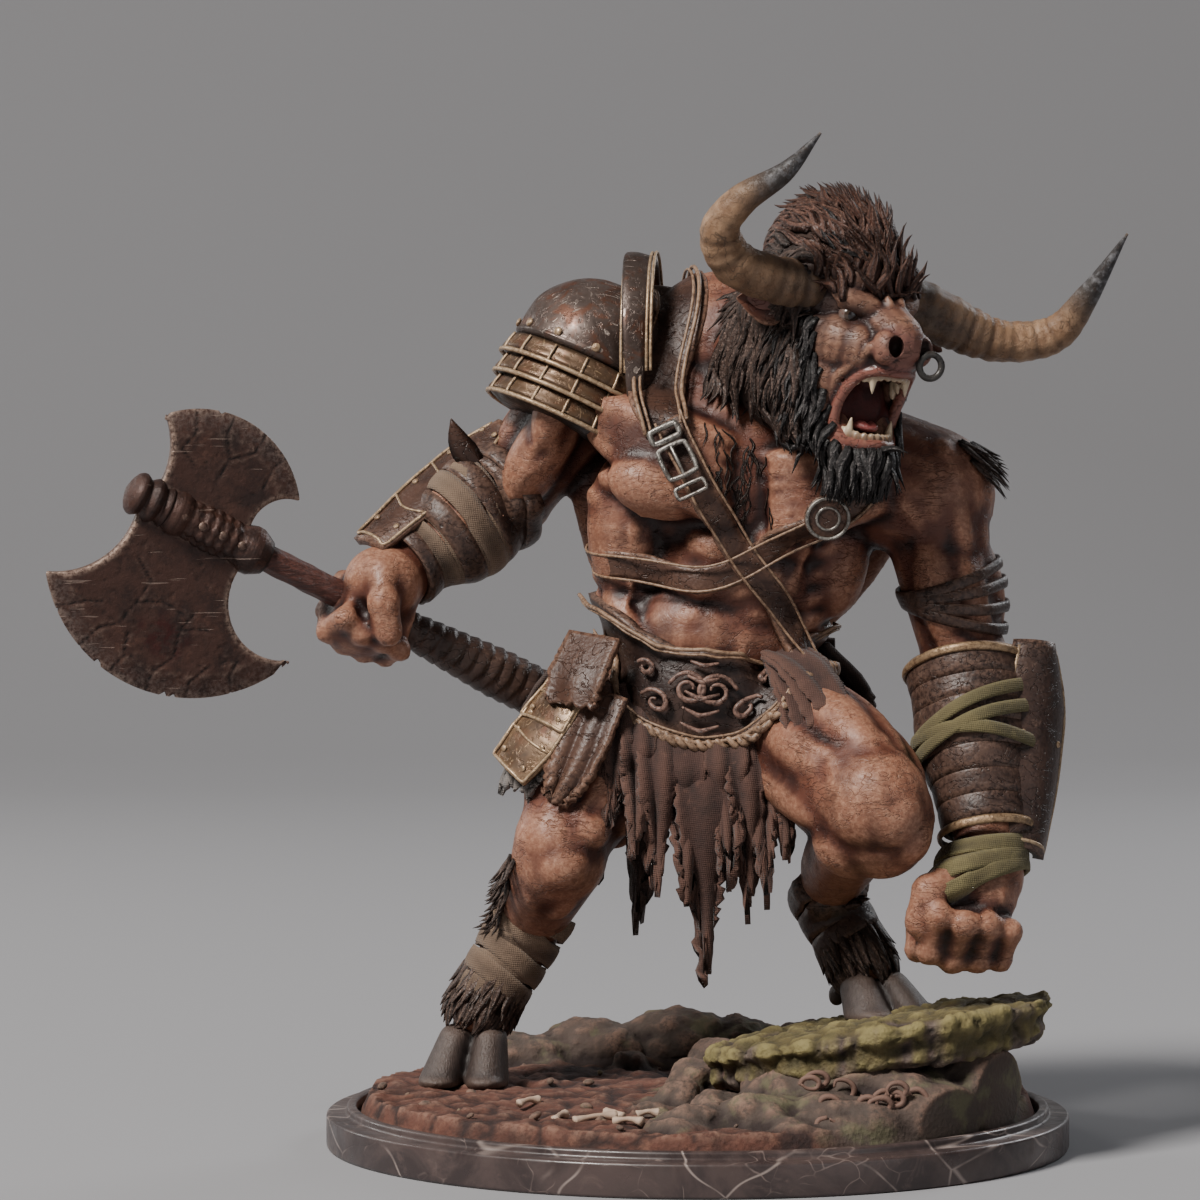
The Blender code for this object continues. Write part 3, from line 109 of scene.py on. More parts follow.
SKIN_VOXEL = 0.51
FACE_VOXEL = 0.205
WRAP_CELLS = (52, 4)
FLOOR_FRONT = -1.6
FLOOR_DEPTH = 2.2
FLOOR_HALF_WIDTH = 2.5
SWEEP = 0.5
QUARTER_ARC = 0.5 * math.pi * SWEEP
CAMERA_LENS = 139.3
CAMERA_PLACE = (-0.0105, -0.5, 0.072)
CAMERA_DROP = 1.53


# Camera, floor and light


def aim(obj, place, target):
    obj.location = place
    obj.rotation_euler = (Vector(target) - Vector(place)).to_track_quat("-Z", "Y").to_euler()


def softbox(name, place, target, size, watts, colour=(1.0, 1.0, 1.0)):
    light = bpy.data.lights.new(name, "AREA")
    light.shape = "RECTANGLE"
    light.size, light.size_y = size
    light.energy = watts
    light.color = colour
    obj = bpy.data.objects.new(name, light)
    bpy.context.scene.collection.objects.link(obj)
    aim(obj, place, target)


def studio():
    camera = bpy.data.cameras.new("camera")
    camera.sensor_width = 36.0
    camera.lens = CAMERA_LENS
    camera.clip_start = 0.01
    eye = bpy.data.objects.new("camera", camera)
    eye.location = CAMERA_PLACE
    eye.rotation_euler = (math.radians(90 - CAMERA_DROP), 0.0, 0.0)
    bpy.context.scene.collection.objects.link(eye)
    bpy.context.scene.camera = eye
    middle = (0.0, 0.0, 0.055)
    softbox("key", (-0.68, -0.72, 1.05), middle, (0.34, 0.34), 33.0, (1.0, 0.96, 0.91))
    softbox("fill", (0.40, -0.42, 0.14), middle, (0.40, 0.40), 0.42, (0.93, 0.96, 1.0))
    softbox("rim", (0.40, 0.46, 0.36), middle, (0.20, 0.30), 1.2, (0.95, 0.97, 1.0))
    softbox("rim_right", (-0.46, 0.34, 0.26), middle, (0.16, 0.30), 0.7, (1.0, 0.98, 0.95))
    world = bpy.data.worlds.new("studio")
    world.use_nodes = True
    world.node_tree.nodes["Background"].inputs["Color"].default_value = (0.62, 0.63, 0.66, 1.0)
    world.node_tree.nodes["Background"].inputs["Strength"].default_value = 0.085
    bpy.context.scene.world = world


def backdrop():
    """A pale floor that sweeps up into a wall behind."""
    bpy.ops.object.select_all(action="DESELECT")
    bpy.ops.mesh.primitive_grid_add(x_subdivisions=2, y_subdivisions=60, size=2.0)
    floor = bpy.context.object
    floor.name = "floor"
    places = points_of(floor)
    reach = (places[:, 1] + 1.0) / 2.0 * 5.0
    turn = np.clip((reach - FLOOR_DEPTH) / QUARTER_ARC, 0.0, 1.0) * math.pi / 2
    places[:, 0] *= FLOOR_HALF_WIDTH
    places[:, 1] = FLOOR_FRONT + np.minimum(reach, FLOOR_DEPTH) + SWEEP * np.sin(turn)
    places[:, 2] = SWEEP * (1 - np.cos(turn)) + np.clip(reach - FLOOR_DEPTH - QUARTER_ARC, 0.0, None)
    move_points(floor, places)
    bpy.ops.object.shade_smooth()
    paint = bpy.data.materials.new("pale_floor")
    paint.use_nodes = True
    shader = paint.node_tree.nodes["Principled BSDF"]
    shader.inputs["Base Color"].default_value = (0.30, 0.30, 0.315, 1.0)
    shader.inputs["Roughness"].default_value = 0.9
    floor.data.materials.append(paint)


# Paint: one recipe for a miniature painter's base coat, dark wash of painted shade in the hollows, painted
# highlight on raised places, and glaze


class Paint:
    """A material made of layers, each laid over the last by a mask."""

    def __init__(self, name, roughness=0.6, metallic=0.0, coat=0.0, sheen=0.0, specular=0.5):
        self.material = bpy.data.materials.new(name)
        self.material.use_nodes = True
        self.nodes = self.material.node_tree.nodes
        self.shader = self.nodes["Principled BSDF"]
        self.shader.inputs["Roughness"].default_value = roughness
        self.shader.inputs["Metallic"].default_value = metallic
        self.shader.inputs["Coat Weight"].default_value = coat
        self.shader.inputs["Sheen Weight"].default_value = sheen
        self.shader.inputs["Specular IOR Level"].default_value = specular
        self.place = self.node("ShaderNodeTexCoord").outputs["Object"]
        self.colour = None
        self.height = None

    def node(self, kind, **settings):
        made = self.nodes.new(kind)
        for key, value in settings.items():
            setattr(made, key, value)
        return made

    def link(self, source, target):
        self.material.node_tree.links.new(source, target)

    def feed(self, socket, value):
        if isinstance(value, bpy.types.NodeSocket):
            self.link(value, socket)
        else:
            socket.default_value = value

    def math(self, operation, a, b=0.0):
        node = self.node("ShaderNodeMath", operation=operation)
        self.feed(node.inputs[0], a)
        self.feed(node.inputs[1], b)
        return node.outputs[0]

    def stretched(self, scale=(1.0, 1.0, 1.0), turn=(0.0, 0.0, 0.0)):
        """The place on the piece, turned and stretched, for a pattern that runs one way."""
        mapping = self.node("ShaderNodeMapping")
        self.link(self.place, mapping.inputs["Vector"])
        mapping.inputs["Rotation"].default_value = [math.radians(a) for a in turn]
        mapping.inputs["Scale"].default_value = scale
        return mapping.outputs["Vector"]

    def noise(self, size_mm, detail=4.0, roughness=0.6, distortion=0.0, at=None):
        node = self.node("ShaderNodeTexNoise")
        self.link(at or self.place, node.inputs["Vector"])
        node.inputs["Scale"].default_value = 1.0 / (size_mm * MM)
        node.inputs["Detail"].default_value = detail
        node.inputs["Roughness"].default_value = roughness
        node.inputs["Distortion"].default_value = distortion
        return node.outputs["Fac"]

    def cells(self, size_mm, feature="F1", at=None, wander=0.0):
        """Cell pattern. DISTANCE_TO_EDGE gives 0 on the cracks between cells."""
        node = self.node("ShaderNodeTexVoronoi", feature=feature)
        place = at or self.place
        if wander:
            bend = self.node("ShaderNodeTexNoise")
            self.link(place, bend.inputs["Vector"])
            bend.inputs["Scale"].default_value = 0.6 / (size_mm * MM)
            shift = self.node("ShaderNodeVectorMath", operation="SCALE")
            self.link(bend.outputs["Color"], shift.inputs[0])
            shift.inputs["Scale"].default_value = wander * size_mm * MM
            added = self.node("ShaderNodeVectorMath", operation="ADD")
            self.link(place, added.inputs[0])
            self.link(shift.outputs[0], added.inputs[1])
            place = added.outputs[0]
        self.link(place, node.inputs["Vector"])
        node.inputs["Scale"].default_value = 1.0 / (size_mm * MM)
        return node.outputs["Distance"]

    def lines(self, size_mm, width, stretch=(1.0, 1.0, 1.0), turn=(0.0, 0.0, 0.0)):
        """Thin lines that flow and fork, as creases in skin do."""
        field = self.noise(size_mm, 3.0, 0.55, 0.6, self.stretched(stretch, turn))
        gap = self.math("ABSOLUTE", self.math("SUBTRACT", field, 0.5))
        return self.ramp(gap, 0.0, width, flip=True)

    def waves(self, size_mm, distortion=2.0, at=None, direction="X", detail=2.0):
        node = self.node("ShaderNodeTexWave", bands_direction=direction)
        self.link(at or self.place, node.inputs["Vector"])
        node.inputs["Scale"].default_value = 0.314 / (size_mm * MM)
        node.inputs["Distortion"].default_value = distortion
        node.inputs["Detail"].default_value = detail
        return node.outputs["Fac"]

    def value(self, name):
        """A number painted on the piece's points."""
        return self.node("ShaderNodeAttribute", attribute_name=name).outputs["Fac"]

    def ramp(self, source, low, high, flip=False):
        """0 below low and 1 above high, or the other way round."""
        node = self.node("ShaderNodeMapRange")
        node.interpolation_type = "SMOOTHSTEP"
        self.link(source, node.inputs["Value"])
        node.inputs["From Min"].default_value = low
        node.inputs["From Max"].default_value = high
        node.inputs["To Min"].default_value = 1.0 if flip else 0.0
        node.inputs["To Max"].default_value = 0.0 if flip else 1.0
        return node.outputs["Result"]

    def coat(self, colour, mask=None, strength=1.0):
        """Lays a colour over what is there, where the mask is 1."""
        colour = (*colour, 1.0)
        if self.colour is None:
            self.colour = self.node("ShaderNodeRGB").outputs[0]
            self.colour.default_value = colour
            return
        mix = self.node("ShaderNodeMix", data_type="RGBA", blend_type="MIX")
        if mask is None:
            mix.inputs["Factor"].default_value = strength
        elif strength == 1.0:
            self.link(mask, mix.inputs["Factor"])
        else:
            self.link(self.math("MULTIPLY", mask, strength), mix.inputs["Factor"])
        self.link(self.colour, mix.inputs["A"])
        mix.inputs["B"].default_value = colour
        self.colour = mix.outputs["Result"]

    def raise_by(self, mask, strength):
        """Adds to the fine relief."""
        part = self.math("MULTIPLY", mask, strength)
        self.height = part if self.height is None else self.math("ADD", self.height, part)

    def gloss(self, mask, low, high):
        """Roughness from low, where the mask is 0, to high."""
        node = self.node("ShaderNodeMapRange")
        self.link(mask, node.inputs["Value"])
        node.inputs["To Min"].default_value = low
        node.inputs["To Max"].default_value = high
        self.link(node.outputs["Result"], self.shader.inputs["Roughness"])

    def done(self, depth_mm=0.12):
        self.link(self.colour, self.shader.inputs["Base Color"])
        if self.height is not None:
            bump = self.node("ShaderNodeBump")
            bump.inputs["Distance"].default_value = depth_mm * MM
            bump.inputs["Strength"].default_value = 1.0
            self.link(self.height, bump.inputs["Height"])
            self.link(bump.outputs["Normal"], self.shader.inputs["Normal"])
        return self.material


def skin_paint():
    """Reddish brown flesh: a dark wash of painted shade in the folds, painted highlight in pale tan on the
    tops of the muscles, and fine creases darkened with painted shade.
    """
    p = Paint("skin_wash_and_shade", roughness=0.42, specular=0.42)
    fine = p.noise(0.5, 6.0, 0.7)
    p.coat((0.118, 0.041, 0.026))
    p.coat((0.042, 0.014, 0.010), p.ramp(p.noise(8.0, 4.0, 0.6), 0.42, 0.66), 0.8)
    p.coat((0.215, 0.082, 0.049), p.ramp(p.noise(3.4, 5.0, 0.7), 0.50, 0.70), 0.6)
    # Painted highlight: pale tan on the raised places.
    p.coat((0.37, 0.165, 0.098), p.value("ridge"), 0.5)
    # Brighter painted highlight in spots on the raised places.
    high = p.math("MULTIPLY", p.value("ridge"), p.ramp(fine, 0.34, 0.80))
    p.coat((0.66, 0.375, 0.245), high, 0.5)
    # Fine creases: dark lines of painted shade in patches, also pressed into the relief.
    creases = (
        p.lines(5.0, 0.012, (1.0, 1.0, 2.6), (0.0, 30.0, 0.0)),
        p.lines(3.4, 0.014, (1.0, 1.0, 3.0), (0.0, -38.0, 20.0)),
        p.lines(2.2, 0.018, (1.0, 1.0, 2.2), (0.0, 75.0, -15.0)),
    )
    patches = p.ramp(p.noise(4.6, 3.0), 0.40, 0.58)
    for crease, strength in zip(creases, (0.42, 0.34, 0.2)):
        here = p.math("MULTIPLY", crease, patches)
        p.coat((0.050, 0.016, 0.012), here, strength)
        p.raise_by(here, -0.8 * strength)
    # Painted shade: near black in the hollows.
    p.coat((0.012, 0.004, 0.004), p.value("cavity"), 0.93)
    p.raise_by(fine, 0.2)
    p.raise_by(p.noise(2.0, 4.0, 0.6, 1.2), 0.6)
    p.gloss(p.ramp(p.noise(2.4, 4.0), 0.35, 0.7), 0.40, 0.60)
    return p.done(0.20)


# Sculpting tools


def only(obj):
    if bpy.context.object and bpy.context.object.mode != "OBJECT":
        bpy.ops.object.mode_set(mode="OBJECT")
    bpy.ops.object.select_all(action="DESELECT")
    obj.select_set(True)
    bpy.context.view_layer.objects.active = obj


def applied(obj, kind, **settings):
    """Adds a modifier to obj and applies it."""
    only(obj)
    modifier = obj.modifiers.new(kind.lower(), kind)
    for key, value in settings.items():
        setattr(modifier, key, value)
    bpy.ops.object.modifier_apply(modifier=modifier.name)
    return obj


LUMPS = []
FORMS = {}


def model(name):
    """A new shape, to be built up from lumps until closed() is called."""
    LUMPS.clear()
    obj = bpy.data.objects.new(name, bpy.data.meshes.new(name))
    bpy.context.scene.collection.objects.link(obj)
    LUMPS.append(obj)
    return obj


def closed():
    """Joins the lumps into the shape they were added to."""
    only(LUMPS[0])
    if len(LUMPS) > 1:
        for lump in LUMPS[1:]:
            lump.select_set(True)
        bpy.ops.object.join()
    LUMPS.clear()


def form(kind, segments):
    """The round form that lumps are copied from, modelled once."""
    key = (kind, segments)
    if key not in FORMS:
        bpy.ops.object.select_all(action="DESELECT")
        if kind == "ball":
            bpy.ops.mesh.primitive_uv_sphere_add(
                segments=segments, ring_count=max(segments * 5 // 8, 4), radius=1.0
            )
        else:
            bpy.ops.mesh.primitive_cylinder_add(vertices=segments, radius=1.0, depth=1.0)
        made = bpy.context.object
        FORMS[key] = made.data
        bpy.data.objects.remove(made)
    return FORMS[key]


def lump(mesh, matrix):
    mesh.transform(matrix)
    obj = bpy.data.objects.new("lump", mesh)
    bpy.context.scene.collection.objects.link(obj)
    LUMPS.append(obj)


def turned(axis, facing=(1.0, 0.0, 0.0)):
    """A rotation whose Z follows axis and whose X lies as near facing as it can."""
    z = Vector(axis).normalized()
    x = Vector(facing) - z * z.dot(Vector(facing))
    if x.length < 1e-6:
        x = z.orthogonal()
    x.normalize()
    return Matrix((x, z.cross(x), z)).transposed()


def ball(centre, radii, axis=(0.0, 0.0, 1.0), facing=(1.0, 0.0, 0.0), segments=16):
    scale = Matrix.Diagonal((*radii, 1.0))
    place = Matrix.Translation(Vector(centre)) @ turned(axis, facing).to_4x4() @ scale
    lump(form("ball", segments).copy(), place)


def bone(start, end, start_radius, end_radius):
    """A tapered rod with round ends."""
    start, end = Vector(start), Vector(end)
    axis = end - start
    rod_mesh = form("rod", 16).copy()
    for vertex in rod_mesh.vertices:
        size = start_radius if vertex.co.z < 0 else end_radius
        vertex.co = (vertex.co.x * size, vertex.co.y * size, vertex.co.z * axis.length)
    lump(rod_mesh, Matrix.Translation((start + end) / 2) @ turned(axis).to_4x4())
    ball(start, (start_radius,) * 3)
    ball(end, (end_radius,) * 3)


def muscle(start, end, width, depth, facing=(1.0, 0.0, 0.0)):
    """An egg from start to end, width across facing's direction and depth square to it."""
    start, end = Vector(start), Vector(end)
    ball((start + end) / 2, (width / 2, depth / 2, (end - start).length / 2), end - start, facing)


def smooth_path(points, steps, loop=False):
    """Points along the Catmull-Rom curve through the given ones."""
    points = [Vector(p) for p in points]
    if loop:
        ends = [points[-1], *points, points[0], points[1]]
        spans = len(points)
    else:
        ends = [2 * points[0] - points[1], *points, 2 * points[-1] - points[-2]]
        spans = len(points) - 1
    path = []
    for step in range(steps if loop else steps + 1):
        t = step / steps * spans
        i = min(int(t), spans - 1)
        t -= i
        a, b, c, d = ends[i : i + 4]
        path.append(
            0.5 * (2 * b + (c - a) * t + (2 * a - 5 * b + 4 * c - d) * t**2 + (3 * b - a - 3 * c + d) * t**3)
        )
    return path


def along(values, share):
    """The value at a share of the way through a list, with straight runs between its entries."""
    t = min(max(share, 0.0), 1.0) * (len(values) - 1)
    i = min(int(t), len(values) - 2)
    return values[i] + (values[i + 1] - values[i]) * (t - i)


def cord(name, points, radii, steps=24, sides=8, loop=False):
    """A round rod along a smooth path: a bevelled curve, made a mesh."""
    curve = bpy.data.curves.new(name, "CURVE")
    curve.dimensions = "3D"
    curve.bevel_depth = 1.0
    curve.bevel_resolution = max(0, (sides - 4) // 2)
    curve.use_fill_caps = not loop
    path = smooth_path(points, steps, loop)
    spline = curve.splines.new("POLY")
    spline.points.add(len(path) - 1)
    spline.use_cyclic_u = loop
    for i, (spot, place) in enumerate(zip(spline.points, path)):
        spot.co = (*place, 1.0)
        spot.radius = along(radii, i / max(len(path) - 1, 1))
    obj = bpy.data.objects.new(name, curve)
    bpy.context.scene.collection.objects.link(obj)
    only(obj)
    bpy.ops.object.convert(target="MESH")
    obj = bpy.context.object
    bpy.ops.object.mode_set(mode="EDIT")
    bpy.ops.mesh.select_all(action="SELECT")
    bpy.ops.mesh.remove_doubles(threshold=0.001)
    bpy.ops.mesh.normals_make_consistent(inside=False)
    bpy.ops.object.mode_set(mode="OBJECT")
    return obj


def copied(template, name):
    obj = template.copy()
    obj.data = template.data.copy()
    obj.name = name
    bpy.context.scene.collection.objects.link(obj)
    return obj


def joined(name, parts):
    """Several objects made one."""
    only(parts[0])
    for part in parts[1:]:
        part.select_set(True)
    if len(parts) > 1:
        bpy.ops.object.join()
    obj = bpy.context.object
    obj.name = name
    obj.data.name = name
    return obj


def points_of(obj):
    """The mesh's points as an array."""
    array = np.empty(len(obj.data.vertices) * 3, dtype=np.float32)
    obj.data.vertices.foreach_get("co", array)
    return array.reshape(-1, 3)


def move_points(obj, array):
    obj.data.vertices.foreach_set("co", np.ascontiguousarray(array, dtype=np.float32).ravel())
    obj.data.update()


def normals_of(obj):
    array = np.empty(len(obj.data.vertices) * 3, dtype=np.float32)
    obj.data.vertex_normals.foreach_get("vector", array)
    return array.reshape(-1, 3)


def edges_of(obj):
    array = np.empty(len(obj.data.edges) * 2, dtype=np.int32)
    obj.data.edges.foreach_get("vertices", array)
    return array.reshape(-1, 2)


def paint_points(obj, name, values):
    """Stores a number on each point, for the paint to read."""
    layer = obj.data.attributes.get(name) or obj.data.attributes.new(name, "FLOAT", "POINT")
    layer.data.foreach_set("value", np.ascontiguousarray(values, dtype=np.float32))


def spread(edges, values, rounds):
    """Values evened out over neighbouring points."""
    count = np.maximum(np.bincount(edges.ravel(), minlength=len(values)), 1).astype(np.float32)
    shape = (-1, 1) if values.ndim > 1 else (-1,)
    for _ in range(rounds):
        total = np.zeros_like(values)
        if values.ndim > 1:
            for k in range(values.shape[1]):
                total[:, k] = np.bincount(edges[:, 0], values[edges[:, 1], k], len(values))
                total[:, k] += np.bincount(edges[:, 1], values[edges[:, 0], k], len(values))
        else:
            total = np.bincount(edges[:, 0], values[edges[:, 1]], len(values))
            total += np.bincount(edges[:, 1], values[edges[:, 0]], len(values))
        values = 0.4 * values + 0.6 * (total / count.reshape(shape)).astype(np.float32)
    return values


def weather(obj, fine=3, broad=16, strength=1.0):
    """Marks hollows with cavity and raised places with ridge: the masks for painted shade (the dark wash) in
    the hollows and painted highlight on the raised places.
    """
    places, normals, edges = points_of(obj), normals_of(obj), edges_of(obj)
    near = spread(edges, places, fine)
    far = spread(edges, near, broad)
    small = np.einsum("ij,ij->i", places - near, normals)
    large = np.einsum("ij,ij->i", near - far, normals)
    bend = small / max(small.std(), 1e-6) * 0.55 + large / max(large.std(), 1e-6) * 0.6
    bend = spread(edges, bend.astype(np.float32), 1) * strength
    # cavity: where painted shade goes; ridge: where painted highlight goes.
    paint_points(obj, "cavity", np.clip((-bend - 0.35) / 1.5, 0.0, 1.0))
    paint_points(obj, "ridge", np.clip((bend - 0.25) / 1.6, 0.0, 1.0))


def put(obj, paint, node="figure", angle=None):
    """Moves a finished shape from the sculpting table to its place in metres, attaches it to the root body
    and hides the model part it stands for.
    """
    obj.data.name = obj.name
    only(obj)
    obj.data.transform(Matrix.Translation((0, 0, SOLE_LEVEL * MM)) @ Matrix.Scale(MM, 4))
    if angle:
        bpy.ops.object.shade_smooth_by_angle(angle=math.radians(angle))
    else:
        bpy.ops.object.shade_smooth()
    obj.data.materials.clear()
    obj.data.materials.append(paint)
    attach(obj, "root")
    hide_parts(node)


def surface(obj):
    """A search tree of the shape."""
    return BVHTree.FromPolygons(
        [v.co[:] for v in obj.data.vertices], [p.vertices[:] for p in obj.data.polygons]
    )


def head_frame():
    forward = HEAD_FORWARD.normalized()
    left = HEAD_UP.cross(forward).normalized()
    up = forward.cross(left)
    return Matrix.Translation(HEAD) @ Matrix((forward, left, up)).transposed().to_4x4()


def face_outwards(obj):
    """Turns every face of a shape to its outside."""
    only(obj)
    bpy.ops.object.mode_set(mode="EDIT")
    bpy.ops.mesh.select_all(action="SELECT")
    bpy.ops.mesh.normals_make_consistent(inside=False)
    bpy.ops.object.mode_set(mode="OBJECT")


def eased(stops):
    """A path with each stop drawn toward its neighbours, except the two ends."""
    threes = zip(stops, stops[1:], stops[2:])
    return [stops[0], *[(a + 2 * b + c) / 4 for a, b, c in threes], stops[-1]]


# Flesh


def trunk():
    lean = CHEST - PELVIS
    ball(PELVIS, (11.0, 8.5, 8.0))
    ball(PELVIS.lerp(WAIST, 0.6), (10.6, 7.6, 9.0), lean)
    ball(WAIST + Vector((0.4, 0.6, 2.0)), (11.6, 7.8, 8.0), lean)
    ball(CHEST, (14.6, 10.4, 12.4), lean)
    ball((3.8, 5.0, 79.0), (10.5, 9.5, 9.5))
    bone(SHOULDER_R, SHOULDER_L, 7.2, 7.4)
    bone(NECK, HEAD + Vector((-2.0, 3.5, 0.5)), 9.0, 6.6)
    ball((0.6, -2.4, 42.6), (8.6, 6.4, 6.8))


def chest_muscles():
    """Each breast is a fan of bundles from the arm to the breastbone."""
    for k in range(6):
        t = k / 5
        muscle(
            (-12.0, -2.6, 74.6 - 3.4 * t), (4.2 - 1.0 * t, -8.4 - 0.8 * t, 69.4 - 8.4 * t), 3.9, 7.6,
            (0, 0, 1)
        )
        muscle(
            (21.6, -5.4, 66.6 - 3.0 * t), (6.8 + 0.4 * t, -9.0 - 0.6 * t, 68.0 - 7.6 * t), 3.7, 7.6, (0, 0, 1)
        )
    ball((-4.4, -7.6, 64.8), (5.6, 3.6, 3.4), (0.3, 0, 1))
    ball((13.2, -8.4, 62.6), (5.2, 3.4, 3.2), (-0.3, 0, 1))


def belly_muscles():
    """Blocks in rows down the mid line, ribs' teeth beside them, and the flanks' slanting bands."""
    ball((4.4, -1.4, 56.0), (9.2, 7.0, 7.0))
    ball((1.6, -0.6, 48.6), (9.6, 7.2, 7.6))
    ball((-7.4, -0.6, 60.6), (4.6, 4.6, 8.4))
    ball((14.2, -1.4, 58.6), (4.4, 4.4, 8.0))
    for row in range(4):
        middle = Vector((5.4 - 1.5 * row, -6.6 + 0.8 * row, 58.8 - 3.8 * row))
        for side in (-1, 1):
            ball(middle + Vector((side * 2.9, 0.0, 0.35 * side)), (2.9, 2.3, 1.95), (0.1 * side, 0, 1))
            ball(middle + Vector((side * 4.6, 0.5, -0.1)), (2.3, 1.9, 1.8))
    for row in range(5):
        ball((-7.6 + 0.3 * row, -3.2 + 0.6 * row, 64.6 - 2.8 * row), (3.6, 2.7, 1.5), (0.55, 0, 1))
        ball((-9.8 + 0.2 * row, -0.6 + 0.6 * row, 63.2 - 2.8 * row), (2.5, 3.4, 1.4), (0.55, 0, 1))
        ball((14.4 - 0.9 * row, -4.2 + 0.6 * row, 61.0 - 2.7 * row), (3.4, 2.7, 1.5), (-0.45, 0, 1))
        ball((16.0 - 1.0 * row, -1.4 + 0.6 * row, 59.6 - 2.7 * row), (2.4, 3.4, 1.4), (-0.45, 0, 1))
    for k in range(4):
        muscle((-10.0, -1.0 + 2.2 * k, 54.0), (-4.6 - 0.8 * k, -5.2 + 2.4 * k, 45.6), 3.2, 4.0)
        muscle((12.0, -1.4 + 2.2 * k, 52.0), (7.0 + 0.8 * k, -4.6 + 2.4 * k, 45.0), 3.2, 4.0)


def back_muscles():
    for k in range(5):
        t = k / 4
        muscle(
            (-13.0 + 3.0 * t, 7.0 + 1.6 * t, 76.0 - 2.0 * t), (-7.4 + 2.0 * t, 8.0, 50.0 - 2.0 * t), 4.2, 6.6,
            (0, 1, 0)
        )
        muscle(
            (23.0 - 3.6 * t, 4.4 + 2.4 * t, 65.0), (10.6 - 2.4 * t, 7.6, 48.0 - 1.0 * t), 4.2, 6.6, (0, 1, 0)
        )
    for start, end in (
        ((-11, 8, 80), (-2, 12, 70)), ((-10, 9, 76), (-2, 12, 66)), ((-6, 8, 86), (2, 12, 76))
    ):
        muscle(start, end, 5.0, 4.4)
    for start, end in (((20, 6, 71), (9, 11, 66)), ((19, 7, 67), (9, 11, 62)), ((14, 7, 80), (8, 12, 72))):
        muscle(start, end, 5.0, 4.4)
    for side in (-1, 1):
        muscle((7.2 + 2.7 * side, 11.4, 74.0), (0.4 + 2.8 * side, 10.6, 44.0), 4.6, 5.0)
    ball((-6.4, 10.2, 40.0), (6.4, 6.0, 7.0))
    ball((6.2, 9.6, 40.6), (6.4, 6.0, 7.0))


def right_arm():
    bone(SHOULDER_R, ELBOW_R, 6.0, 4.8)
    for k in range(5):
        a = math.radians(-80 + 40 * k)
        spot = Vector((-13.6, 3.4 + 5.4 * math.sin(a), 76.4))
        muscle(spot + Vector((0.6, 0, 4.4)), spot + Vector((-3.4, 0.4, -7.6)), 4.6, 6.4)
    muscle((-12.6, -0.8, 75.0), (-20.8, 3.4, 63.2), 6.0, 6.4)
    muscle((-13.6, 0.8, 73.0), (-20.6, 5.0, 62.0), 5.4, 6.0)
    muscle((-14.0, 8.0, 77.0), (-22.6, 10.4, 66.0), 5.6, 6.4)
    muscle((-13.0, 9.4, 74.0), (-21.4, 11.0, 62.4), 5.4, 6.0)
    bone(ELBOW_R, WRIST_R, 5.0, 3.5)
    muscle(ELBOW_R + Vector((-2.0, -2.6, 4.4)), (-29.6, 1.0, 58.8), 6.0, 6.4)
    muscle(ELBOW_R + Vector((-1.0, -4.2, 1.4)), (-29.0, 0.4, 57.2), 5.6, 6.0)
    muscle(ELBOW_R + Vector((0.6, -2.0, -3.4)), (-28.0, 1.6, 56.2), 6.0, 6.4)
    muscle(ELBOW_R + Vector((0.0, 1.0, -2.0)), (-28.6, 4.4, 56.6), 6.0, 6.0)


def left_arm():
    bone(SHOULDER_L, ELBOW_L, 5.8, 4.4)
    for k in range(6):
        a = math.radians(-110 + 40 * k)
        spot = SHOULDER_L + Vector((1.4 + 3.0 * math.cos(a), 4.4 * math.sin(a), 0.0))
        muscle(spot + Vector((-1.4, 0, 6.2)), spot + Vector((1.4, 0.2, -8.2)), 4.2, 5.6)
    muscle((24.0, -5.2, 61.5), (27.0, -7.4, 47.4), 5.6, 6.6)
    muscle((26.6, -5.6, 60.0), (29.6, -7.0, 47.0), 5.2, 6.0)
    muscle((29.4, -2.4, 60.0), (31.6, -2.6, 48.6), 4.6, 5.6)
    muscle((27.0, 2.2, 62.0), (29.6, -0.2, 48.0), 5.4, 6.4)
    muscle((24.4, 1.6, 60.0), (27.4, 0.0, 48.4), 4.8, 5.6)
    for start, end in (((25.2, -7.6, 50.0), (31.6, -6.4, 44.0)), ((26.4, -8.0, 47.6), (32.4, -7.6, 41.6))):
        muscle(start, end, 4.2, 4.6)
    bone(ELBOW_L, WRIST_L, 4.8, 3.6)
    muscle((31.2, -4.4, 46.6), (32.2, -10.0, 30.0), 6.4, 6.6)
    muscle((28.4, -7.4, 46.0), (29.6, -12.4, 31.0), 5.6, 5.4)
    muscle((26.4, -4.6, 45.6), (28.2, -10.0, 30.6), 5.8, 6.6)


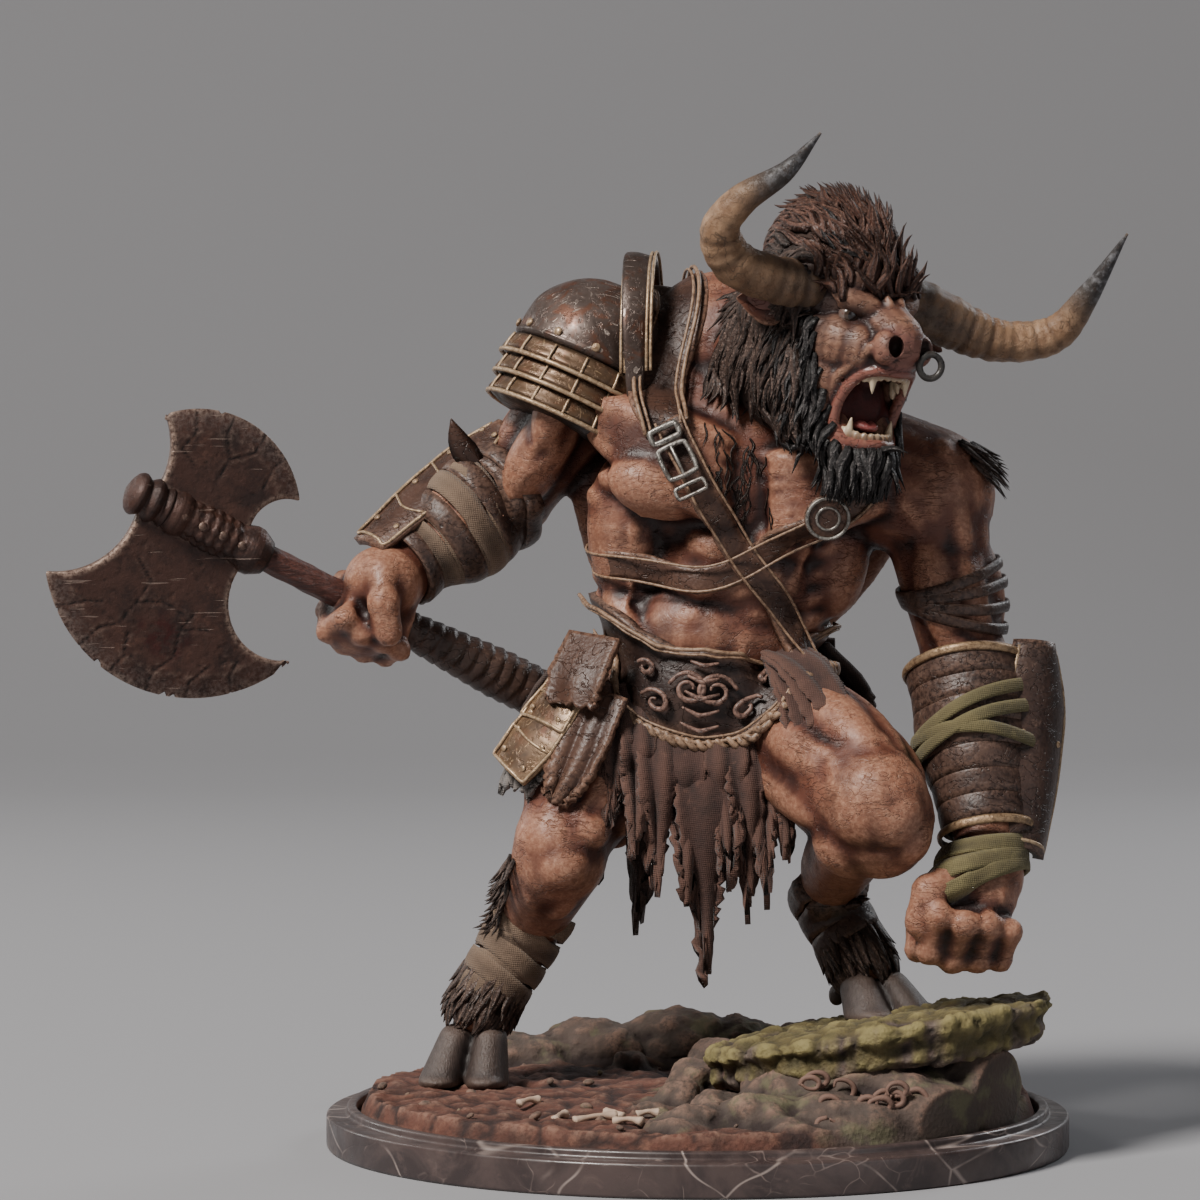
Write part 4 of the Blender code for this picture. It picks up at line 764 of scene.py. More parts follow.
def right_leg():
    bone(HIP_R, KNEE_R, 8.0, 5.0)
    muscle((-12.0, 1.0, 42.0), (-17.4, -6.0, 29.0), 6.4, 7.4)
    muscle((-10.0, -2.0, 42.0), (-14.6, -8.4, 29.4), 5.6, 6.0)
    muscle((-7.0, -2.4, 41.0), (-11.6, -8.6, 29.6), 5.6, 5.8)
    muscle((-4.4, 0.0, 38.0), (-9.0, -6.4, 27.8), 6.0, 6.4)
    muscle((-3.6, 4.0, 37.0), (-10.0, -1.0, 26.0), 6.4, 6.4)
    muscle((-7.5, 8.6, 40.0), (-15.0, 2.5, 25.5), 8.4, 7.6)
    ball((-12.0, -8.4, 28.4), (2.6, 2.2, 2.4))
    ball((-16.2, -7.6, 27.8), (2.2, 2.4, 2.6))
    ball(KNEE_R + Vector((0.4, -3.4, -2.2)), (2.8, 2.0, 2.6))
    for start, end in (
        ((-17.6, -7.4, 26.6), (-17.4, -4.0, 19.6)), ((-12.4, -8.4, 25.4), (-15.6, -3.4, 18.6))
    ):
        muscle(start, end, 3.4, 4.2)
    bone(KNEE_R + Vector((0.0, 0.4, -1.5)), HOCK_R, 5.2, 3.6)
    muscle(KNEE_R + Vector((1.6, 5.0, -0.5)), HOCK_R + Vector((1.4, 0.8, 1.5)), 5.6, 6.4)
    muscle(KNEE_R + Vector((-1.6, 5.8, -0.5)), HOCK_R + Vector((-0.8, 1.4, 1.5)), 5.2, 6.4)
    bone(HOCK_R, FETLOCK_R, 3.7, 3.2)


def left_leg():
    bone(HIP_L, KNEE_L, 8.4, 5.8)
    muscle((7.5, 0.0, 44.5), (18.6, -18.8, 36.2), 7.4, 8.0)
    muscle((10.6, 1.0, 43.5), (21.2, -17.0, 35.2), 6.6, 7.4)
    muscle((13.0, 3.0, 41.0), (23.0, -15.0, 33.0), 6.8, 7.6)
    muscle((5.6, -2.5, 41.0), (15.4, -19.0, 33.4), 6.4, 7.0)
    muscle((5.6, -1.5, 38.0), (14.2, -17.4, 29.6), 7.0, 7.0)
    muscle((8.6, 6.0, 38.0), (19.6, -10.0, 28.0), 7.4, 8.0)
    muscle((7.6, 9.0, 37.0), (16.4, -6.0, 27.0), 7.0, 7.6)
    ball(KNEE_L + Vector((0.6, 1.4, -1.8)), (5.8, 5.6, 6.4))
    ball(KNEE_L + Vector((1.4, -2.6, -1.0)), (3.6, 3.2, 3.8))
    ball(KNEE_L + Vector((3.0, -0.8, -3.0)), (3.0, 3.4, 3.6))
    ball(KNEE_L + Vector((-2.2, 2.4, -4.0)), (4.4, 4.4, 4.2))
    bone(KNEE_L + Vector((-0.6, 2.5, -1.4)), HOCK_L, 4.9, 3.1)
    muscle(KNEE_L + Vector((-2.4, 6.0, -3.0)), HOCK_L + Vector((-0.2, 1.6, 0.6)), 7.0, 7.0)
    bone(HOCK_L, FETLOCK_L, 3.4, 3.1)


def fist(centre, grip, knuckles, size, thumb):
    """A closed hand. grip runs along the row of fingers, knuckles points from the palm to them."""
    grip = Vector(grip).normalized()
    knuckles = (Vector(knuckles) - grip * grip.dot(Vector(knuckles))).normalized()
    inward = grip.cross(knuckles)
    ball(centre + knuckles * 0.2, Vector((2.8, 2.8, 3.9)) * size, grip, knuckles)
    for finger, (reach, stray) in enumerate(((3.1, -0.10), (3.35, 0.04), (3.2, 0.0), (2.85, 0.12))):
        middle = centre + grip * (finger - 1.5) * 2.05 * size
        thick = (1.16 - 0.07 * abs(finger - 1.2)) * size
        joints = [
            middle + (knuckles * math.cos(a + stray) + inward * math.sin(a + stray)) * reach * size
            for a in (-1.0, 0.1, 1.15, 2.2)
        ]
        for start, end in zip(joints, joints[1:]):
            bone(start, end, thick, thick * 0.94)
        for joint in joints[:3]:
            ball(joint + (joint - middle) * 0.06, (thick * 1.1,) * 3)
        muscle(joints[0] + (joints[0] - middle) * 0.1, middle - knuckles * 3.2 * size, 0.9 * size, 1.1 * size)
    for start, end in zip(thumb, thumb[1:]):
        bone(start, end, 1.45 * size, 1.25 * size)
    ball(Vector(thumb[1]), (1.6 * size,) * 3)


def hands():
    haft = HAFT_END - HAFT_START
    bone(WRIST_R, FIST_R + Vector((0.8, 0.3, 2.0)), 3.5, 4.0)
    fist(
        FIST_R, haft, (-0.55, -0.1, -0.8), 1.2,
        ((-33.8, -2.8, 55.8), (-33.6, -4.6, 52.4), (-33.0, -4.4, 49.2))
    )
    ball((-33.8, -0.2, 54.6), (4.4, 4.2, 4.0))
    ball((-36.4, 0.8, 49.6), (3.8, 4.0, 3.0))
    for k in range(4):
        muscle(
            WRIST_R + Vector((-2.6 + 1.0 * k, -3.0, -0.2)), FIST_R + Vector((-2.4 + 1.6 * k, -3.4, 2.4)), 0.8,
            1.0
        )
    bone(WRIST_L, FIST_L + Vector((1.6, 0.8, 2.6)), 3.6, 4.2)
    thumb = ((26.6, -16.8, 24.6), (23.8, -18.4, 22.8), (22.6, -18.6, 19.6))
    fist(FIST_L, (0.95, 0.2, -0.12), (-0.15, -0.6, -0.85), 1.3, thumb)
    ball((29.6, -13.0, 24.0), (4.6, 4.2, 4.6))
    for k in range(4):
        muscle((31.6 - 1.2 * k, -15.6, 27.0), (31.4 - 2.4 * k, -18.0, 21.4), 0.8, 1.2)


def veins(obj_surface):
    """Raised veins that wander over the arms, the belly's flanks and the thighs."""
    dice = random.Random(5)
    routes = (
        ((23.6, -7.0, 60.0), (26.0, -9.0, 46.0)), ((29.6, -6.0, 58.0), (31.0, -8.0, 44.0)),
        ((21.0, -7.0, 66.0), (24.6, -8.0, 57.0)), ((-14.0, -3.0, 72.0), (-21.0, -1.0, 63.0)),
        ((-17.0, -4.0, 70.0), (-22.0, 2.0, 58.0)), ((10.0, -14.0, 40.0), (19.0, -22.0, 30.0)),
        ((16.0, -16.0, 40.0), (23.0, -18.0, 32.0)), ((-9.0, -8.0, 38.0), (-13.0, -11.0, 30.0)),
        ((-14.0, -6.0, 38.0), (-17.0, -9.0, 29.0)), ((6.0, -9.0, 50.0), (3.0, -9.0, 44.0)),
        ((-6.0, -8.0, 62.0), (-8.0, -7.0, 52.0)), ((12.0, -9.0, 60.0), (10.0, -8.0, 50.0)),
    )
    parts = []
    for start, end in routes:
        start, end = Vector(start), Vector(end)
        stops = []
        for k in range(6):
            stray = Vector([dice.uniform(-0.9, 0.9) for _ in range(3)]) if 0 < k < 5 else Vector()
            near = obj_surface.find_nearest(start.lerp(end, k / 5) + stray)
            stops.append(near[0] + near[1] * 0.05)
        parts.append(cord("vein", stops, [0.1, 0.34, 0.3, 0.26, 0.1], 18, 6))
    return parts


def make_skin():
    clay = model("skin")
    trunk()
    chest_muscles()
    belly_muscles()
    back_muscles()
    right_arm()
    left_arm()
    right_leg()
    left_leg()
    hands()
    closed()
    rough = copied(clay, "rough")
    applied(rough, "REMESH", mode="VOXEL", voxel_size=0.8)
    clay = joined("skin", [clay, *veins(surface(rough))])
    bpy.data.objects.remove(rough)
    applied(clay, "REMESH", mode="VOXEL", voxel_size=SKIN_VOXEL)
    applied(clay, "SMOOTH", factor=0.5, iterations=4)
    return clay


# Shapes bent along a path


def rod(name, sides, rings):
    """A closed cylinder one long and one in radius, cut into rings, to be bent along a path."""
    bpy.ops.object.select_all(action="DESELECT")
    bpy.ops.mesh.primitive_cylinder_add(
        vertices=sides, radius=1.0, depth=1.0, location=(0.0, 0.0, 0.0), end_fill_type="TRIFAN"
    )
    obj = bpy.context.object
    obj.name = name
    obj.data.transform(Matrix.Translation((0.0, 0.0, 0.5)))
    only(obj)
    bpy.ops.object.mode_set(mode="EDIT")
    mesh = bmesh.from_edit_mesh(obj.data)
    bpy.ops.mesh.select_all(action="DESELECT")
    bpy.ops.mesh.select_mode(type="EDGE")
    for edge in mesh.edges:
        edge.select_set(abs(edge.verts[0].co.z - edge.verts[1].co.z) > 0.5)
    bmesh.update_edit_mesh(obj.data)
    bpy.ops.mesh.subdivide(number_cuts=rings - 1)
    bpy.ops.mesh.select_mode(type="VERT")
    bpy.ops.object.mode_set(mode="OBJECT")
    return obj


def bent(template, name, path, normals, widths, flat=1.0, twist=0.0, ridge=None):
    """A copy of a rod laid along a path: its X goes across the path and its Y along the normals."""
    obj = copied(template, name)
    local = points_of(obj)
    place = np.array([p[:] for p in path], dtype=np.float64)
    up = np.array([n[:] for n in normals], dtype=np.float64)
    share = np.linspace(0.0, 1.0, len(place))
    tangent = np.gradient(place, axis=0)
    tangent /= np.linalg.norm(tangent, axis=1, keepdims=True) + 1e-9
    up -= tangent * np.sum(up * tangent, axis=1, keepdims=True)
    up /= np.linalg.norm(up, axis=1, keepdims=True) + 1e-9
    across = np.cross(tangent, up)
    t = np.clip(local[:, 2].astype(np.float64), 0.0, 1.0)
    at = [np.stack([np.interp(t, share, a[:, k]) for k in range(3)], axis=1) for a in (place, across, up)]
    wide = np.interp(t, np.linspace(0.0, 1.0, len(widths)), widths)
    if ridge is not None:
        wide = wide * ridge(t, np.arctan2(local[:, 1], local[:, 0]))
    x, y = local[:, 0].astype(np.float64), local[:, 1].astype(np.float64)
    if twist:
        turn = twist * t
        x, y = x * np.cos(turn) - y * np.sin(turn), x * np.sin(turn) + y * np.cos(turn)
    move_points(obj, at[0] + at[1] * (x * wide)[:, None] + at[2] * (y * wide * flat)[:, None])
    return obj


def steady_normals(path, hint):
    """The hint carried along a path without turning about it."""
    normals, last = [], Vector(hint)
    for i in range(len(path)):
        ahead = path[min(i + 1, len(path) - 1)] - path[max(i - 1, 0)]
        ahead.normalize()
        last = (last - ahead * ahead.dot(last)).normalized()
        normals.append(last.copy())
    return normals


def lock_template(name, sides=8, rings=8):
    """A pointed lock of hair with grooves between its strands."""
    obj = rod(name, sides, rings)
    local = points_of(obj)
    t = local[:, 2]
    angle = np.arctan2(local[:, 1], local[:, 0])
    crown = np.cos(angle * sides / 2) * 0.5 + 0.5
    swell = 0.62 + 0.38 * np.clip(t / 0.3, 0, 1)
    taper = np.clip(1.0 - np.clip((t - 0.3) / 0.7, 0, 1) ** 1.7, 0.05, 1.0)
    size = swell * taper * (0.66 + 0.34 * crown)
    centre = np.hypot(local[:, 0], local[:, 1]) < 0.01
    local[:, 0] *= size
    local[:, 1] *= size
    local[centre, 2] += np.where(local[centre, 2] > 0.5, 0.02, 0.0)
    move_points(obj, local)
    paint_points(obj, "groove", crown)
    paint_points(obj, "reach", t)
    return obj


# Head


def face_forms():
    """The head in its own axes: X forward, Y to its left, Z up."""
    ball((-1.6, 0.0, 2.4), (7.2, 6.2, 6.6))
    ball((3.6, 0.0, 4.6), (3.6, 5.8, 3.2))
    bone((5.0, 0.0, 1.0), (8.6, 0.0, -0.9), 3.0, 2.9)
    ball((9.5, 0.0, -1.5), (2.0, 3.3, 2.1))
    ball((8.9, 0.0, -3.1), (1.9, 2.9, 1.2))
    ball((6.0, 0.0, -13.2), (2.8, 2.8, 1.8))
    for side in (-1, 1):
        muscle((7.4, 0.9 * side, 1.5), (4.0, 5.7 * side, 3.7), 2.4, 3.0)
        muscle((6.6, 1.0 * side, 3.5), (3.6, 5.3 * side, 5.4), 1.7, 1.3)
        ball((7.7, 0.7 * side, 2.0), (0.8, 0.55, 1.6), (-0.2, 0.15 * side, 1))
        ball((9.7, 2.3 * side, -1.8), (1.7, 1.35, 1.8))
        ball((5.4, 3.0 * side, -2.4), (3.4, 2.3, 3.0))
        muscle((9.0, 0.4 * side, -3.1), (5.2, 4.0 * side, -4.8), 3.0, 2.8)
        ball((3.6, 4.1 * side, -2.0), (3.4, 2.2, 3.0))
        ball((3.0, 4.3 * side, -5.4), (2.6, 1.7, 3.4))
        muscle((6.8, 3.5 * side, -1.0), (0.4, 6.0 * side, -0.2), 2.0, 2.4)
        bone((8.9, 3.3 * side, -1.9), (5.4, 4.6 * side, -5.4), 0.62, 0.6)
        bone((5.4, 4.6 * side, -5.4), (3.9, 4.6 * side, -9.0), 0.6, 0.5)
        for k in range(4):
            start = (7.0 - 1.0 * k, (4.3 + 0.30 * k) * side, -1.6 - 0.3 * k)
            bone(start, (3.9 - 0.9 * k, (5.0 + 0.10 * k) * side, -6.0 - 0.2 * k), 0.40, 0.34)
        for k in range(3):
            muscle(
                (7.3 - 0.2 * k, 3.0 * side, -0.4 - 0.65 * k), (3.4, (5.1 + 0.2 * k) * side, 0.0 - 0.75 * k),
                0.7, 0.9
            )
        for k in range(6):
            top = (6.2 + 0.66 * k, 0.0, 3.9 - 0.66 * k)
            muscle(top, (6.0 + 0.66 * k, 3.0 * side, 1.2 - 0.62 * k), 0.55, 0.62)
        muscle((6.6, 2.2 * side, 1.75), (4.3, 5.0 * side, 1.85), 0.8, 1.2)
        muscle((6.5, 2.3 * side, 0.30), (4.3, 5.0 * side, 0.50), 0.6, 0.9)
        bone((-2.0, 4.2 * side, -3.2), (5.4, 2.5 * side, -13.0), 2.6, 1.7)
        muscle((0.4, 5.0 * side, -2.2), (1.2, 4.2 * side, -9.6), 3.8, 3.4)
        ball((0.0, 5.4 * side, 4.8), (2.6, 2.0, 2.6))


LIP = (
    (9.7, 0.0, -4.3), (9.0, -2.1, -4.3), (7.4, -3.4, -5.1), (5.6, -4.0, -7.6), (5.0, -3.8, -10.4),
    (6.2, -3.0, -11.9), (7.9, 0.0, -12.0), (6.2, 3.0, -11.9), (5.0, 3.8, -10.4), (5.6, 4.0, -7.6),
    (7.4, 3.4, -5.1), (9.0, 2.1, -4.3),
)


def make_face():
    clay = model("face")
    face_forms()
    closed()
    lips = cord("lips", LIP, [0.62, 0.62], 60, 10, loop=True)
    clay = joined("face", [clay, lips])
    applied(clay, "REMESH", mode="VOXEL", voxel_size=FACE_VOXEL)
    applied(clay, "SMOOTH", factor=0.5, iterations=5)
    holes = model("nostrils")
    for side in (-1, 1):
        ball((11.2, 2.1 * side, -1.5), (1.15, 0.85, 1.9), (0.75, 0.6 * side, 0.25), (0, 0, 1))
    closed()
    applied(clay, "BOOLEAN", operation="DIFFERENCE", object=holes, solver="EXACT")
    bpy.data.objects.remove(holes)
    local = points_of(clay).copy()
    lip_path = np.array([p[:] for p in smooth_path(LIP, 80, loop=True)])
    gap = np.min(np.linalg.norm(local[:, None, :] - lip_path[None, ::2, :], axis=2), axis=1)
    paint_points(clay, "lip", np.clip(1.5 - gap / 0.85, 0, 1))
    pad = np.linalg.norm((local - (10.2, 0.0, -2.0)) / (1.9, 3.4, 2.3), axis=1)
    paint_points(clay, "pad", np.clip((1.35 - pad) / 0.5, 0, 1))
    behind = (5.0 - local[:, 0] + 0.10 * (local[:, 2] + 2.0)) / 2.4
    under = (-12.1 - local[:, 2]) / 0.8
    hair_line = 0.75 * np.clip((local[:, 2] - 2.6) / 2.2, 0, 1)
    paint_points(clay, "shade", np.clip(np.maximum.reduce([np.clip(behind, 0, 1), under, hair_line]), 0, 1))
    hole = np.min([np.linalg.norm(local - (10.6, 2.1 * s, -1.5), axis=1) for s in (-1, 1)], axis=0)
    eye = np.min([np.linalg.norm(local - (5.8, 3.6 * s, 1.0), axis=1) for s in (-1, 1)], axis=0)
    clay.data.transform(head_frame())
    weather(clay, 3, 14, 1.6)
    # Painted shade inside the nostrils and round the eye sockets, merged into the cavity values.
    dark = np.maximum(np.clip((1.35 - hole) / 0.5, 0, 1), np.clip((2.3 - eye) / 1.2, 0, 1) * 0.85)
    cavity = np.empty(len(local), dtype=np.float32)
    clay.data.attributes["cavity"].data.foreach_get("value", cavity)
    paint_points(clay, "cavity", np.maximum(cavity, dark))
    return clay


def make_eyes():
    balls = model("eyes")
    for side in (-1, 1):
        ball((4.9, 3.6 * side, 1.05), (1.12, 1.12, 1.12), (1.0, 0.12 * side, -0.05), segments=24)
    closed()
    local = points_of(balls)
    gaze = Vector((0.93, -0.36, -0.05)).normalized()
    turn = [local - (4.9, 3.6 * s, 1.05) for s in (-1, 1)]
    nearer = np.where((local[:, 1] < 0)[:, None], turn[0], turn[1])
    paint_points(balls, "iris", nearer @ np.array(gaze) / 1.12)
    balls.data.transform(head_frame())
    return balls


def make_mouth():
    throat = model("throat")
    ball((2.4, 0.0, -7.9), (3.7, 3.8, 4.4))
    bone((1.0, 0.0, -5.0), (7.6, 0.0, -3.6), 2.2, 1.6)
    bone((2.0, 0.0, -11.8), (6.4, 0.0, -12.6), 2.4, 1.6)
    for side in (-1, 1):
        bone((2.0, 3.4 * side, -6.0), (4.4, 3.5 * side, -9.0), 1.0, 0.8)
    closed()
    applied(throat, "REMESH", mode="VOXEL", voxel_size=0.32)
    applied(throat, "SMOOTH", factor=0.5, iterations=3)
    throat.data.transform(head_frame())
    tongue = model("tongue")
    muscle((0.8, 0.0, -9.2), (5.4, 0.0, -10.4), 3.4, 1.8, (0, 1, 0))
    muscle((3.4, 0.0, -10.0), (7.0, 0.0, -10.4), 3.0, 1.4, (0, 1, 0))
    closed()
    applied(tongue, "REMESH", mode="VOXEL", voxel_size=0.2)
    applied(tongue, "SMOOTH", factor=0.5, iterations=3)
    local = points_of(tongue)
    local[:, 2] -= 0.35 * np.exp(-((local[:, 1] / 0.35) ** 2)) * (local[:, 2] > -10.1)
    move_points(tongue, local)
    tongue.data.transform(head_frame())
    return throat, tongue


def make_teeth():
    """Incisors and grinders in two rows, with four long canines."""
    fangs = model("teeth")
    upper = smooth_path([(5.2, -3.5, -6.4), (7.2, -3.1, -5.0), (8.6, -1.8, -4.5), (9.1, 0, -4.4),
                         (8.6, 1.8, -4.5),
                         (7.2, 3.1, -5.0), (5.2, 3.5, -6.4)], 14)
    lower = smooth_path([(4.6, -3.4, -10.4), (5.7, -3.0, -11.4), (7.1, -1.7, -11.7), (7.6, 0, -11.7),
                         (7.1, 1.7, -11.7),
                         (5.7, 3.0, -11.4), (4.6, 3.4, -10.4)], 14)
    for row, way, canines in ((upper, -1.0, (4, 10)), (lower, 1.0, (3, 11))):
        for k, root in enumerate(row):
            long = k in canines
            reach = (2.1 if long else 0.55) * way
            lean = Vector((0.25, 0.0, 0.0)) if long else Vector((0.05, 0.0, 0.0))
            tip = root + lean + Vector((0.0, 0.0, reach))
            wide = 0.62 if long else 0.5
            bone(root - Vector((0, 0, 0.8 * way)), root + Vector((0, 0, 0.0)), wide, wide)
            bone(root + Vector((0, 0, 0.1 * way)), tip, wide, 0.12 if long else 0.36)
    closed()
    applied(fangs, "REMESH", mode="VOXEL", voxel_size=0.15)
    applied(fangs, "SMOOTH", factor=0.5, iterations=2)
    local = points_of(fangs)
    edge = np.where(local[:, 2] > -8.0, (-4.4 - local[:, 2]) / 1.8, (local[:, 2] + 11.6) / 1.8)
    paint_points(fangs, "reach", np.clip(edge, 0, 1))
    fangs.data.transform(head_frame())
    return fangs


def make_ears():
    """A leaf shape with a hollow in front, on each side."""
    parts = []
    frame = head_frame()
    for side, tip, front in (
        (-1, (4.2, -15.8, 84.4), (0.1, -0.9, -0.35)), (1, (25.6, -4.6, 79.6), (0.5, -0.8, 0.1))
    ):
        root = frame @ Vector((-1.4, 5.0 * side, 1.6))
        tip = Vector(tip)
        ear = model("ear")
        ball((0, 0, 0), (1.0, 1.0, 1.0), segments=40)
        closed()
        local = points_of(ear)
        along_ear, across = local[:, 2].copy(), local[:, 0].copy()
        point = np.where(along_ear > 0, (1.0 - along_ear**2 * 0.75), 1.0)
        hollow = np.clip(1.0 - (across / 0.86) ** 2 - ((along_ear - 0.1) / 0.9) ** 2, 0, 1)
        local[:, 0] = across * point * 2.6
        local[:, 1] = local[:, 1] * 0.75 + np.where(local[:, 1] > 0, -1.5 * hollow, 0.35 * hollow)
        local[:, 1] += 0.35 * across**2 - 0.3 * along_ear
        local[:, 2] = along_ear * (tip - root).length * 0.56
        move_points(ear, local)
        axis = tip - root
        frame_z = turned(axis, Vector(front).cross(axis)).to_4x4()
        ear.data.transform(Matrix.Translation(root.lerp(tip, 0.52)) @ frame_z)
        paint_points(ear, "lip", hollow * 0.6)
        paint_points(ear, "pad", np.zeros(len(hollow)))
        parts.append(ear)
    ears = joined("ears", parts)
    face_outwards(ears)
    weather(ears, 2, 8)
    return ears


def face_paint():
    p = Paint("face_skin", roughness=0.45, specular=0.4)
    fine = p.noise(0.5, 6.0, 0.7)
    p.coat((0.125, 0.055, 0.036))
    p.coat((0.052, 0.022, 0.016), p.ramp(p.noise(4.0, 3.0), 0.4, 0.66), 0.75)
    # Painted highlight on the raised places, brighter in spots.
    p.coat((0.27, 0.135, 0.085), p.value("ridge"), 0.5)
    p.coat((0.50, 0.30, 0.20), p.math("MULTIPLY", p.value("ridge"), p.ramp(fine, 0.4, 0.7)), 0.35)
    p.coat((0.22, 0.088, 0.072), p.value("pad"), 0.65)
    p.coat((0.045, 0.030, 0.027), p.value("shade"), 0.85)
    p.coat((0.21, 0.070, 0.058), p.value("lip"), 0.85)
    # Fine creases of painted shade.
    line = p.lines(2.0, 0.022, (1.0, 1.0, 2.2), (0, 30, 0))
    p.coat((0.05, 0.018, 0.014), line, 0.5)
    # Painted shade in the hollows, nostrils and eye sockets.
    p.coat((0.022, 0.009, 0.008), p.value("cavity"), 0.95)
    p.raise_by(line, -0.6)
    p.raise_by(fine, 0.4)
    p.gloss(p.value("lip"), 0.48, 0.24)
    return p.done(0.10)


def plain_paint(name, base, dark, light, roughness=0.5, size=1.2):
    """A worn paint of three tones, with painted shade in the hollows and painted highlight on raised places,
    where the piece has them marked.
    """
    p = Paint(name, roughness=roughness)
    fine = p.noise(size, 6.0, 0.7)
    p.coat(base)
    p.coat(dark, p.ramp(p.noise(size * 4, 4.0), 0.40, 0.68), 0.8)
    p.coat(light, p.ramp(fine, 0.55, 0.8), 0.5)
    # Painted highlight on the raised places.
    p.coat(light, p.value("ridge"), 0.6)
    # Painted shade in the hollows.
    p.coat(tuple(c * 0.25 for c in dark), p.value("cavity"), 0.9)
    p.raise_by(fine, 1.0)
    return p.done(0.08)


def tooth_paint():
    p = Paint("tooth_ivory", roughness=0.3, coat=0.3)
    p.coat((0.16, 0.085, 0.05))
    p.coat((0.56, 0.44, 0.30), p.ramp(p.value("reach"), 0.05, 0.7))
    p.coat((0.30, 0.18, 0.10), p.ramp(p.noise(0.6, 4.0), 0.5, 0.75), 0.4)
    p.raise_by(p.noise(0.3, 3.0), 1.0)
    return p.done(0.04)


def eye_paint():
    p = Paint("eye_gloss", roughness=0.2, coat=0.4)
    p.coat((0.14, 0.10, 0.085))
    p.coat((0.12, 0.03, 0.02), p.ramp(p.noise(0.3, 4.0), 0.5, 0.7), 0.6)
    p.coat((0.045, 0.027, 0.018), p.ramp(p.value("iris"), 0.66, 0.74))
    p.coat((0.012, 0.008, 0.008), p.ramp(p.value("iris"), 0.89, 0.92))
    p.raise_by(p.noise(0.4, 2.0), 0.3)
    return p.done(0.02)


def gum_paint():
    p = Paint("wet_throat", roughness=0.55, specular=0.2)
    p.coat((0.050, 0.009, 0.008))
    p.coat((0.020, 0.005, 0.005), p.ramp(p.noise(1.6, 4.0), 0.4, 0.66), 0.8)
    p.raise_by(p.noise(0.5, 4.0), 1.0)
    return p.done(0.1)


def tongue_paint():
    p = Paint("tongue_pink", roughness=0.3, coat=0.4)
    p.coat((0.34, 0.095, 0.085))
    p.coat((0.14, 0.03, 0.03), p.ramp(p.noise(0.9, 4.0), 0.42, 0.7), 0.8)
    p.raise_by(p.cells(0.28), 1.0)
    return p.done(0.06)


# Horns

RIGHT_HORN = (
    (15.0, -13.0, 86.6), (11.6, -16.4, 86.0), (7.6, -18.8, 86.3), (3.3, -21.2, 88.0), (1.8, -23.4, 91.2),
    (4.0, -25.0, 94.2), (8.4, -26.5, 97.0), (11.9, -28.0, 100.8),
)
RIGHT_HORN_SIZE = (2.9, 2.75, 2.55, 2.35, 2.1, 1.65, 1.0, 0.14)
LEFT_HORN = (
    (19.0, -12.0, 85.6), (25.6, -9.0, 82.6), (31.6, -6.8, 80.4), (37.6, -6.4, 81.0),
    (41.0, -8.6, 85.0), (44.8, -12.4, 91.4),
)
LEFT_HORN_SIZE = (3.0, 2.8, 2.35, 1.95, 1.3, 0.12)


def make_horns():
    """Two horns, closely ringed at the root, with long grooves that fade out toward the tip."""
    stick = rod("horn_stick", 28, 120)
    parts = []
    for k, (points, sizes) in enumerate(((RIGHT_HORN, RIGHT_HORN_SIZE), (LEFT_HORN, LEFT_HORN_SIZE))):
        path = smooth_path(points, 60)

        def ridge(t, angle, k=k):
            rings = np.sin(t * 150 + 1.1 * np.sin(t * 21 + k)) * 0.022
            rings = rings + np.abs(np.sin(t * 37 + k)) ** 12 * -0.05
            grooves = np.sin(angle * 9 + t * 9) * 0.012 + np.sin(angle * 5 - t * 6) * 0.012
            fade = np.clip((0.82 - t) / 0.35, 0.0, 1.0)
            knots = 1.0 + 0.03 * np.sin(t * 13 + angle * 2)
            return knots + (rings + grooves) * fade

        horn = bent(stick, "horn", path, steady_normals(path, (0, -1, 0.3)), [*np.interp(
            np.linspace(0, 1, 40), np.linspace(0, 1, len(sizes)), sizes)], ridge=ridge)
        t = points_of(stick)[:, 2]
        paint_points(horn, "reach", t)
        rings = np.abs(np.sin(t * 37 + k)) ** 12 * np.clip((0.86 - t) / 0.3, 0, 1)
        paint_points(horn, "ring", rings)
        parts.append(horn)
    bpy.data.objects.remove(stick)
    horns = joined("horns", parts)
    face_outwards(horns)
    weather(horns, 1, 6)
    return horns


def horn_paint():
    """Dark ringed root, cream and tan middle, and a grey black tip."""
    p = Paint("horn_grain", roughness=0.46, specular=0.35)
    reach = p.value("reach")
    p.coat((0.060, 0.040, 0.032))
    p.coat((0.200, 0.112, 0.062), p.ramp(reach, 0.16, 0.46))
    p.coat(
        (0.38, 0.235, 0.140),
        p.math("MULTIPLY", p.ramp(reach, 0.30, 0.5), p.ramp(p.noise(2.6, 3.0), 0.4, 0.62)), 0.7
    )
    p.coat((0.13, 0.062, 0.032), p.ramp(p.noise(1.6, 5.0, 0.7), 0.47, 0.66), 0.7)
    p.coat((0.030, 0.027, 0.027), p.ramp(reach, 0.66, 0.84))
    grey = p.math("MULTIPLY", p.ramp(reach, 0.74, 0.86), p.ramp(p.noise(0.9, 5.0), 0.45, 0.7))
    p.coat((0.17, 0.17, 0.18), grey, 0.8)
    p.coat((0.05, 0.028, 0.018), p.value("ring"), 0.45)
    p.coat((0.03, 0.017, 0.012), p.lines(4.0, 0.012, (1.0, 1.0, 1.0)), 0.7)
    # Painted highlight on the raised places, and painted shade in the hollows.
    p.coat((0.44, 0.29, 0.17), p.value("ridge"), 0.25)
    p.coat((0.03, 0.018, 0.012), p.value("cavity"), 0.8)
    fine = p.noise(0.35, 5.0, 0.7)
    p.raise_by(fine, 1.0)
    p.raise_by(p.ramp(p.noise(1.0, 6.0, 0.7), 0.5, 0.6), 0.5)
    return p.done(0.08)


# Hair and fur

HAIR_SEED = 23


